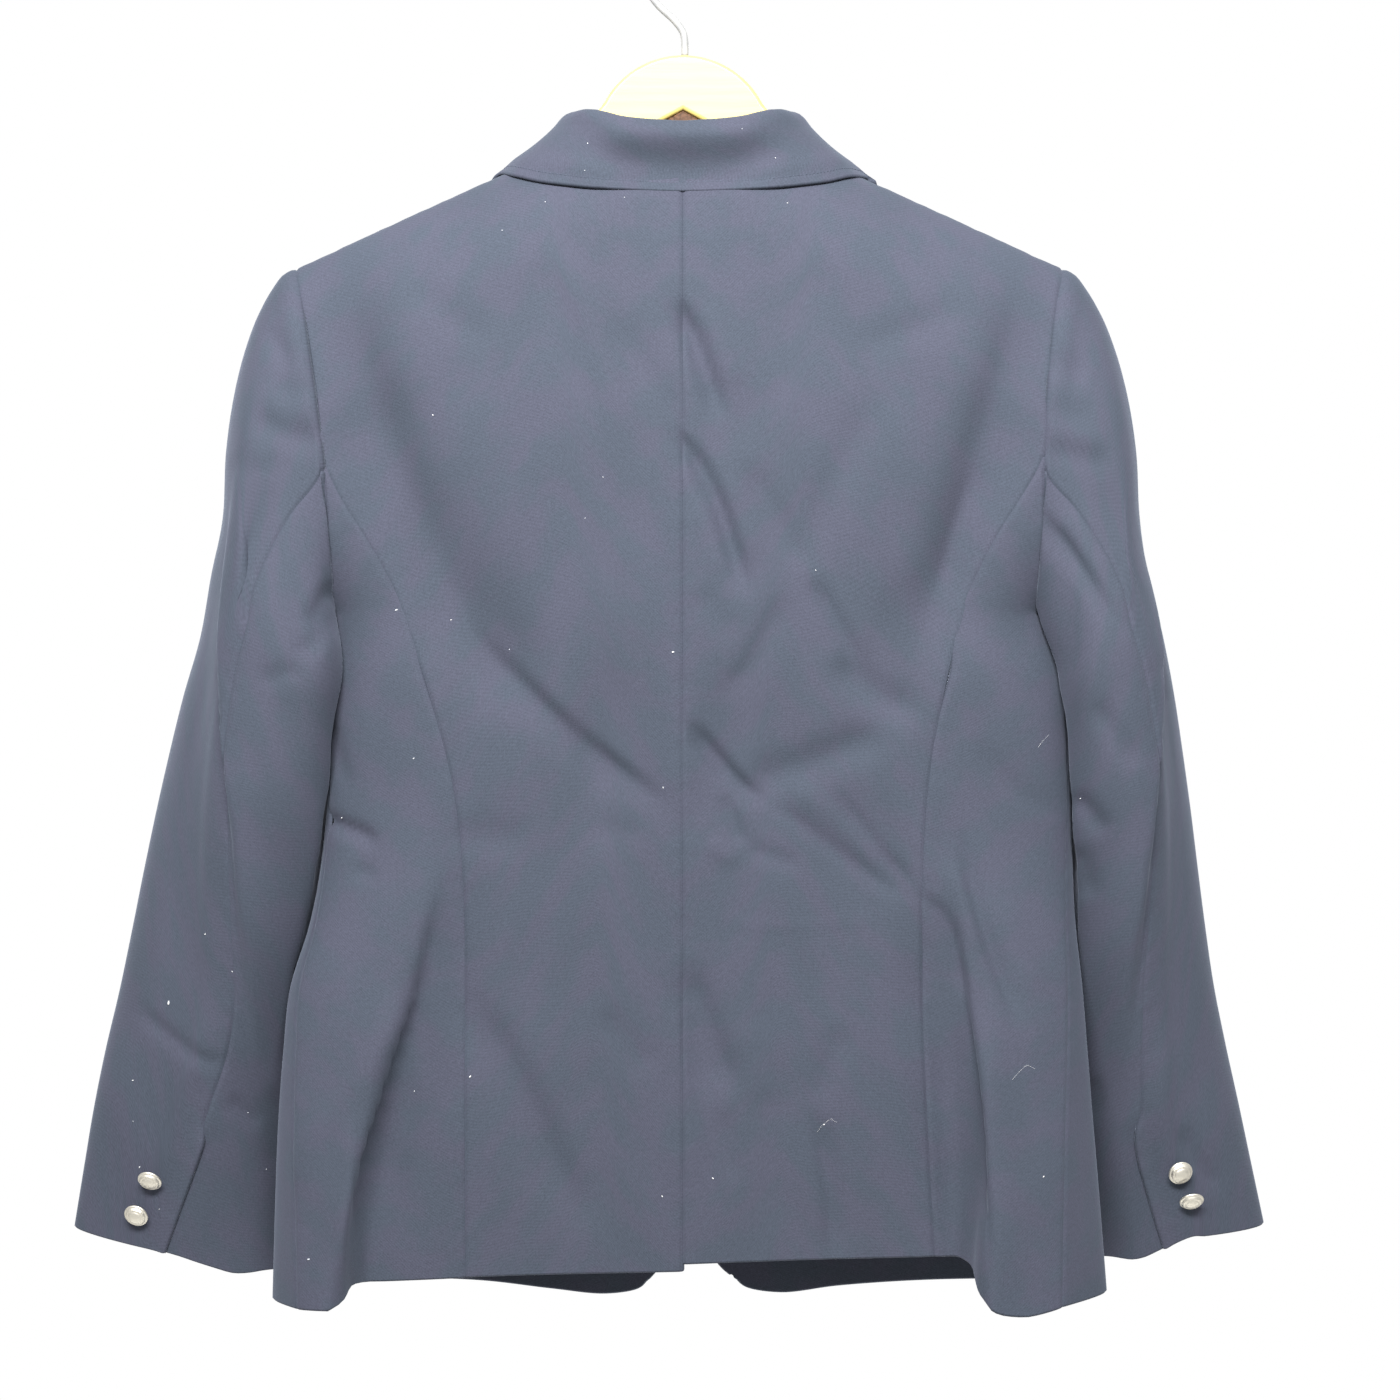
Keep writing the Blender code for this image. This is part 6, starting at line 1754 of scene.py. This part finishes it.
def tube(vertices, faces, path, radii, sides, up):
    """Adds a closed tube along a path, with a radius at each of its points."""
    first = len(vertices)
    for n, point in enumerate(path):
        along = unit(path[min(n + 1, len(path) - 1)] - path[max(n - 1, 0)])
        across = unit(np.cross(up, along))
        over = np.cross(along, across)
        for k in range(sides):
            turn = 2.0 * pi * k / sides
            vertices.append(point + radii[n] * (across * cos(turn) + over * sin(turn)))
    for n in range(len(path) - 1):
        for k in range(sides):
            a, b = first + n * sides + k, first + n * sides + (k + 1) % sides
            faces.append((a, b, b + sides, a + sides))
    faces.append(tuple(range(first, first + sides)))
    faces.append(tuple(range(len(vertices) - sides, len(vertices))))


def inset_line(points, normals, edge, inset, keep):
    """The line at a distance inside an edge, with its normals. keep says which of its points to use."""
    away = edge_distances(points)
    if edge in ("top", "bottom"):
        points, normals = np.swapaxes(points, 0, 1), np.swapaxes(normals, 0, 1)
        away = {name: np.swapaxes(value, 0, 1) for name, value in away.items()}
    order = slice(None, None, -1) if edge in ("right", "bottom") else slice(None)
    line, up = [], []
    for i in range(points.shape[0]):
        run = away[edge][i][order]
        place = at_length(inset, run, points[i][order])
        if keep(place, {name: value[i] for name, value in away.items()}):
            line.append(place)
            up.append(unit(at_length(inset, run, normals[i][order])))
    return line, up


def at_length(length, run, rows):
    """The row at a length along a run, between the given ones."""
    return np.array([np.interp(length, run, rows[:, c]) for c in range(3)])


def stitch_run(vertices, faces, line, up):
    """Top stitches along a line: short threads that dive into the cloth at both ends."""
    settings = cloth_settings()
    pitch, thread = settings.stitch_pitch / MM, settings.stitch_thread / MM
    run = [0.0]
    for a, b in zip(line, line[1:]):
        run.append(run[-1] + norm(b - a))
    line, up, run = np.array(line), np.array(up), np.array(run)
    for n in range(int(run[-1] / pitch)):
        path = []
        for share, rise in STITCH_ARC:
            at = (n + 0.5) * pitch + share * pitch
            normal = unit(at_length(at, run, up))
            path.append(at_length(at, run, line) + normal * rise * thread)
        tube(vertices, faces, path, [share * thread for share in STITCH_RADII], 6, normal)


def on_cloth(x, z, behind=True):
    """The outermost place of the cloth at this width and height, and its normal, in mm."""
    way = -1.0 if behind else 1.0
    start, direction = Vector((x * MM, -way, z * MM)), Vector((0.0, way, 0.0))
    best = None
    for tree in cloth_trees():
        place, normal, _, distance = tree.ray_cast(start, direction)
        if place is not None and (best is None or distance < best[0]):
            best = (distance, place, normal)
    if best is None:
        raise ValueError(f"there is no cloth at {x}, {z}")
    normal = np.array(best[2])
    if normal[1] * -way < 0.0:
        normal = -normal
    return np.array(best[1]) / MM, normal


TREES = []


def cloth_trees():
    """Search trees of every shell, made once."""
    if not TREES:
        graph = bpy.context.evaluated_depsgraph_get()
        TREES.extend(BVHTree.FromObject(shell_object, graph) for shell_object in CLOTH)
    return TREES


def dress_stitches(grids):
    """Top stitching round the collar, the lapels and the front edges."""
    inset = STITCH_INSET
    lines = [("collar", "right", lambda p, a: min(a["top"][-1], a["bottom"][-1]) > inset)]
    for edge in ("top", "bottom"):
        lines.append(("collar", edge, lambda p, a: inset < a["right"][0] < COLLAR_END_STITCH))
    for name in (SIDE_NAMES[LEFT], SIDE_NAMES[RIGHT]):
        lines += [
            (f"lapel_{name}", "right", lambda p, a: a["top"][-1] > inset),
            (f"lapel_{name}", "top", lambda p, a: inset < a["right"][0] < LAPEL_END_STITCH),
            (f"front_{name}", "right", lambda p, a: p[2] < BREAK_POINT_Z - inset),
        ]
    vertices, faces = [], []
    for piece, edge, keep in lines:
        stitch_run(vertices, faces, *inset_line(*grids[piece], edge, inset, keep))
    new_mesh("top_stitching", vertices, faces, polyester_thread)


def dress_lint():
    """White lint on the back, and a few loose hairs."""
    vertices, faces = [], []
    for x, y, size, turn in LINT:
        place, normal = on_cloth(*from_photo(x, y))
        along = unit(np.cross(normal, np.array([sin(turn), 0.0, cos(turn)])))
        path = [place + normal * 0.12 + along * size * s + normal * h for s, h in LINT_ARC]
        tube(vertices, faces, path, [0.12 * size, 0.32 * size, 0.3 * size, 0.1 * size], 6, normal)
    new_mesh("lint_specks", vertices, faces, cotton_lint)
    vertices, faces = [], []
    for stops in HAIRS:
        stops = np.array([from_photo(x, y) for x, y in stops])[:, None, :]
        knots = running_length(stops)
        path = []
        for x, z in spline(stops, knots, np.linspace(0.0, knots[-1], 14))[:, 0]:
            place, normal = on_cloth(x, z)
            path.append(place + normal * 0.14)
        tube(vertices, faces, path, [HAIR_MM * 0.5] * len(path), 5, normal)
    new_mesh("loose_hairs", vertices, faces, cotton_lint)


# Buttons

def dress_button(node, place, normal, diameter, tilt):
    """A cast dome with a rim, a roped ring and a wire shank, at the place of its solid."""
    radius, turn = 0.5 * diameter, radians(tilt)
    down = np.array([0.0, 0.0, -1.0])
    down = unit(down - normal * np.dot(down, normal))
    axis = normal * cos(turn) + down * sin(turn)
    low = down * cos(turn) - normal * sin(turn)
    side = np.cross(axis, low)
    shank_lift = SHANK_RADIUS * sin(turn)
    rim_lift = radius * sin(turn) - SHANK_LENGTH * cos(turn)
    foot = place + normal * (max(shank_lift, rim_lift) + SEAM_GAP)
    swings = [2.0 * pi * n / BUTTON_SIDES for n in range(BUTTON_SIDES)]
    vertices = [foot + axis * SHANK_LENGTH]
    for share, height, rope in BUTTON_RINGS:
        for swing in swings:
            wave = rope * cos(BUTTON_ROPES * swing)
            out = low * cos(swing) + side * sin(swing)
            vertices.append(foot + axis * (SHANK_LENGTH + height + wave) + share * radius * out)
    vertices.append(foot + axis * (SHANK_LENGTH + BUTTON_RINGS[-1][1] + 0.04))
    faces = []
    last = len(vertices) - 1 - BUTTON_SIDES
    for n in range(BUTTON_SIDES):
        m = (n + 1) % BUTTON_SIDES
        faces.append((0, 1 + m, 1 + n))
        faces += [(a + n, a + m, a + BUTTON_SIDES + m, a + BUTTON_SIDES + n)
                  for a in range(1, last, BUTTON_SIDES)]
        faces.append((last + n, last + m, len(vertices) - 1))
    loop = []
    for n in range(13):
        swing = pi * (n / 12.0)
        height = SHANK_LENGTH + 0.3 - 2.9 * sin(swing)
        loop.append(foot + side * 1.5 * cos(swing) + axis * height)
    tube(vertices, faces, loop, [0.5] * len(loop), 8, low)
    new_mesh(f"{node}_cast", vertices, faces, cast_nickel, node)
    vertices, faces = [], []
    for offset in (-0.45, 0.0, 0.45):
        path = [place - normal * 0.4 + low * offset, foot + axis * 0.9 + low * offset * 0.6,
                foot + axis * 1.35 + low * offset * 0.3]
        tube(vertices, faces, path, [0.3, 0.28, 0.26], 6, side)
    new_mesh(f"{node}_thread", vertices, faces, polyester_thread)


# Hanger

def smooth_run(stops, spacing):
    """Points on a smooth line through the given ones."""
    stops = np.array(stops, float)[:, None, :]
    knots = running_length(stops)
    count = max(2, round(knots[-1] / spacing))
    return [tuple(p) for p in spline(stops, knots, np.linspace(0.0, knots[-1], count + 1))[:, 0]]


def dress_board():
    """The wooden board, with its dome turned smooth and its edges rounded over."""
    outline = []
    for side in (LEFT, RIGHT):
        half = board_half(side)
        end = DOME_STEPS + 1 + len(BOARD_NECK) + len(BOARD_TOP_X)
        top, tip, under = half[:end], half[end:end + 3], half[end + 3:]
        under = [tip[-1]] + under + [(0.0, BOARD_NOTCH[0][1])]
        run = smooth_run(top, 3.0) + tip[:-1] + smooth_run(under, 4.0)
        outline += run[:-1] if side == LEFT else list(reversed(run))[:-1]
    shape = bmesh.new()
    half_thickness = 0.5 * BOARD_THICKNESS
    back = [shape.verts.new(Vector((x, half_thickness, z)) * MM) for x, z in outline]
    swept = bmesh.ops.extrude_face_region(shape, geom=[shape.faces.new(back)])
    front = [v for v in swept["geom"] if isinstance(v, bmesh.types.BMVert)]
    bmesh.ops.translate(shape, verts=front, vec=Vector((0.0, -BOARD_THICKNESS, 0.0)) * MM)
    mesh = bpy.data.meshes.new("hanger_wood")
    shape.to_mesh(mesh)
    shape.free()
    made = place_mesh(mesh, lacquered_pale_wood)
    rounding = made.modifiers.new("rounded edges", "BEVEL")
    rounding.width = BOARD_BEVEL * MM
    rounding.segments = 4
    rounding.limit_method = "ANGLE"
    rounding.angle_limit = radians(60.0)
    made.modifiers.new("flat faces", "WEIGHTED_NORMAL").keep_sharp = True
    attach(made, "root")
    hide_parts("hanger_board")


def dress_notch():
    """A small block in the notch between the board's halves. Its dark brown is painted shade that stands for
    the shaded wood seen there.
    """
    (peak_x, peak_z), (side_x, side_z) = BOARD_NOTCH
    half = 0.5 * BOARD_THICKNESS
    outline = [(peak_x, peak_z - 0.3), (side_x - 0.6, side_z), (0.0, side_z - 2.0), (0.6 - side_x, side_z)]
    vertices = [(x * share, y, peak_z - 6.0 + (z - peak_z + 6.0) * share)
                for y, share in ((half - 0.6, 0.8), (half - 1.6, 1.0), (1.6 - half, 1.0), (0.6 - half, 0.8))
                for x, z in outline]
    faces = [(0, 1, 2, 3), (12, 15, 14, 13)]
    for k in (0, 4, 8):
        faces += [(k + n, k + 4 + n, k + 4 + (n + 1) % 4, k + (n + 1) % 4) for n in range(4)]
    # the block's dark brown is painted shade, not a stain
    new_mesh("notch_block", vertices, faces, stained_block, smooth=False)


def dress_hook():
    """The wire hook, with a rounded tip."""
    path = [np.array(p) for p in hook_path(96)]
    radius = 0.5 * HOOK_WIRE
    end, tip = path[-1], unit(path[-1] - path[-2])
    radii = [radius] * len(path)
    for reach in (0.35, 0.7, 0.92):
        path.append(end + tip * radius * reach)
        radii.append(radius * sqrt(1.0 - reach * reach))
    vertices, faces = [], []
    tube(vertices, faces, path, radii, 20, np.array([0.0, 1.0, 0.0]))
    new_mesh("hook_wire", vertices, faces, vinyl_coated_wire, "hanger_hook")


# Operators

GRIDS = {}


class BLAZER_OT_hanger(Operator):
    """Makes the wooden board and the wire hook"""
    bl_idname = "blazer.hanger"
    bl_label = "Hanger"

    def execute(self, context):
        dress_board()
        dress_notch()
        dress_hook()
        return {"FINISHED"}


class BLAZER_OT_backs(Operator):
    """Makes the two backs, joined in the centre-back seam"""
    bl_idname = "blazer.backs"
    bl_label = "Backs"

    def execute(self, context):
        for side in (LEFT, RIGHT):
            body_shell(side, f"back_{SIDE_NAMES[side]}", back_lines(side),
                       ("left", "right", "top"), ("bottom",), 1.0, on_back(BACK_CREASES))
        return {"FINISHED"}


class BLAZER_OT_side_bodies(Operator):
    """Makes the side bodies between the princess seams and the side seams"""
    bl_idname = "blazer.side_bodies"
    bl_label = "Side bodies"

    def execute(self, context):
        for side in (LEFT, RIGHT):
            body_shell(side, f"side_body_{SIDE_NAMES[side]}", side_body_lines(side),
                       ("left", "right"), ("bottom",), 1.0, on_back(BACK_CREASES))
        return {"FINISHED"}


class BLAZER_OT_fronts(Operator):
    """Makes the fronts with their rounded lower corners"""
    bl_idname = "blazer.fronts"
    bl_label = "Fronts"

    def execute(self, context):
        for side in (LEFT, RIGHT):
            node = f"front_{SIDE_NAMES[side]}"
            GRIDS[node] = body_shell(side, node, front_lines(side),
                                     ("left", "top"), ("bottom", "right"), -1.0, FRONT_CREASES)
        return {"FINISHED"}


class BLAZER_OT_collar_and_lapels(Operator):
    """Makes the folded collar and the lapels that turn back at the roll line"""
    bl_idname = "blazer.collar_and_lapels"
    bl_label = "Collar and lapels"

    def execute(self, context):
        for side in (LEFT, RIGHT):
            node = f"lapel_{SIDE_NAMES[side]}"
            GRIDS[node] = turned_shell(node, lapel_middle(side), np.array([0.0, -1.0, 0.0]), [], -1.0)
        GRIDS["collar"] = turned_shell("collar", collar_middle(), np.array([0.0, 1.0, 0.3]),
                                       on_back(COLLAR_CREASES), 1.0)
        return {"FINISHED"}


class BLAZER_OT_sleeves(Operator):
    """Makes the top sleeves and under sleeves"""
    bl_idname = "blazer.sleeves"
    bl_label = "Sleeves"

    def execute(self, context):
        for side in (LEFT, RIGHT):
            dress_sleeve(side)
        return {"FINISHED"}


class BLAZER_OT_buttons(Operator):
    """Makes the cast dome buttons with their shanks and threads"""
    bl_idname = "blazer.buttons"
    bl_label = "Buttons"

    def execute(self, context):
        for side in (LEFT, RIGHT):
            for n, (x, z, tilt) in enumerate(CUFF_BUTTONS[side]):
                place, normal = sleeve_place(side, x, z)
                dress_button(f"cuff_button_{SIDE_NAMES[side]}_{n + 1}", place, normal, CUFF_BUTTON, tilt)
        for n, z in enumerate(FRONT_BUTTONS_Z):
            place = on_body(RIGHT, 0.0, z, front=True)
            normal = body_normal(RIGHT, angle_of(RIGHT, 0.0, z, front=True), z)
            dress_button(f"front_button_{n + 1}", place, normal, FRONT_BUTTON, 0.0)
        return {"FINISHED"}


class BLAZER_OT_sewing(Operator):
    """Adds the top stitching of the collar, lapels and front edges"""
    bl_idname = "blazer.sewing"
    bl_label = "Top stitching"

    def execute(self, context):
        dress_stitches(GRIDS)
        return {"FINISHED"}


class BLAZER_OT_lint(Operator):
    """Scatters the lint specks and loose hairs over the back"""
    bl_idname = "blazer.lint"
    bl_label = "Lint"

    def execute(self, context):
        dress_lint()
        return {"FINISHED"}


def light_room(tree, settings):
    """A white wall behind the jacket. The rest of the room is dimmer, and brighter above than below."""
    place = add_node(tree, "TexCoord")
    parts = add_node(tree, "SeparateXYZ", {}, {"Vector": (place, "Generated")})
    room = add_node(tree, "MapRange", {
        "From Min": -1.0, "From Max": 1.0, "To Min": ROOM_LOW, "To Max": ROOM_HIGH,
    }, {"Value": (parts, "Z")})
    wall = add_node(tree, "MapRange", {
        "From Min": -0.93, "From Max": -0.75, "To Min": 1.0, "To Max": 0.0,
    }, {"Value": (parts, "Y")})
    both = add_node(tree, "Mix", {"data_type": "FLOAT", "B": settings.sky_strength},
                    {"Factor": (wall, "Result"), "A": (room, "Result")})
    background = tree.nodes["Background"]
    background.inputs["Color"].default_value = (1.0, 1.0, 1.0, 1.0)
    tree.links.new(both.outputs["Result"], background.inputs["Strength"])


class BLAZER_OT_stage(Operator):
    """Sets the camera, the lights, the white surroundings and the floor"""
    bl_idname = "blazer.stage"
    bl_label = "Stage"

    def execute(self, context):
        settings = context.scene.blazer_stage
        camera = place_object("camera", bpy.data.cameras.new("camera"))
        camera.location = (VIEW_X * MM, settings.camera_distance, VIEW_Z * MM)
        camera.rotation_euler = (radians(90.0), 0.0, radians(180.0))
        camera.data.sensor_width = SENSOR_MM
        camera.data.lens = SENSOR_MM * settings.camera_distance / settings.frame_width
        camera.data.dof.use_dof = False
        context.scene.camera = camera
        for name, place, size, power, aim_z, spread in LIGHTS:
            light = bpy.data.lights.new(name, "AREA")
            light.shape = "RECTANGLE"
            light.size, light.size_y = size
            light.energy = power * settings.key_power
            light.spread = radians(spread)
            lamp = place_object(name, light)
            lamp.location = place
            aim = Vector((VIEW_X * MM, 0.0, aim_z)) - Vector(place)
            lamp.rotation_euler = aim.to_track_quat("-Z", "Y").to_euler()
        world = bpy.data.worlds.new("white_surroundings")
        world.use_nodes = True
        light_room(world.node_tree, settings)
        context.scene.world = world
        context.scene.view_settings.view_transform = "Standard"
        shape = bmesh.new()
        bmesh.ops.create_grid(shape, x_segments=12, y_segments=12, size=FLOOR_HALF)
        bmesh.ops.translate(shape, verts=shape.verts[:], vec=(0.0, 0.0, -settings.floor_drop))
        mesh = bpy.data.meshes.new("floor")
        shape.to_mesh(mesh)
        shape.free()
        mesh.materials.append(material_of(matt_floor_paint))
        place_object("floor", mesh)
        return {"FINISHED"}


class BLAZER_PT_panel(Panel):
    """Lists the pieces of the blazer in the order in which they are made"""
    bl_idname = "BLAZER_PT_panel"
    bl_label = "Blazer"
    bl_space_type = "VIEW_3D"
    bl_region_type = "UI"
    bl_category = "Blazer"

    def draw(self, context):
        layout = self.layout
        for settings in (context.scene.blazer_cloth, context.scene.blazer_stage):
            for name in settings.__annotations__:
                layout.prop(settings, name)
        for operator in OPERATORS:
            layout.operator(operator.bl_idname)


SETTINGS = (BlazerClothSettings, BlazerStageSettings)
OPERATORS = (
    BLAZER_OT_hanger, BLAZER_OT_backs, BLAZER_OT_side_bodies, BLAZER_OT_fronts,
    BLAZER_OT_collar_and_lapels, BLAZER_OT_sleeves, BLAZER_OT_buttons, BLAZER_OT_sewing,
    BLAZER_OT_lint, BLAZER_OT_stage,
)


def register():
    for part in (*SETTINGS, *OPERATORS, BLAZER_PT_panel):
        bpy.utils.register_class(part)
    bpy.types.Scene.blazer_cloth = PointerProperty(type=BlazerClothSettings)
    bpy.types.Scene.blazer_stage = PointerProperty(type=BlazerStageSettings)


def unregister():
    del bpy.types.Scene.blazer_stage
    del bpy.types.Scene.blazer_cloth
    for part in reversed((*SETTINGS, *OPERATORS, BLAZER_PT_panel)):
        bpy.utils.unregister_class(part)


def main():
    register()
    bpy.ops.blazer.hanger()
    bpy.ops.blazer.backs()
    bpy.ops.blazer.side_bodies()
    bpy.ops.blazer.fronts()
    bpy.ops.blazer.collar_and_lapels()
    bpy.ops.blazer.sleeves()
    bpy.ops.blazer.buttons()
    bpy.ops.blazer.sewing()
    bpy.ops.blazer.lint()
    bpy.ops.blazer.stage()


if __name__ == "__main__":
    main()
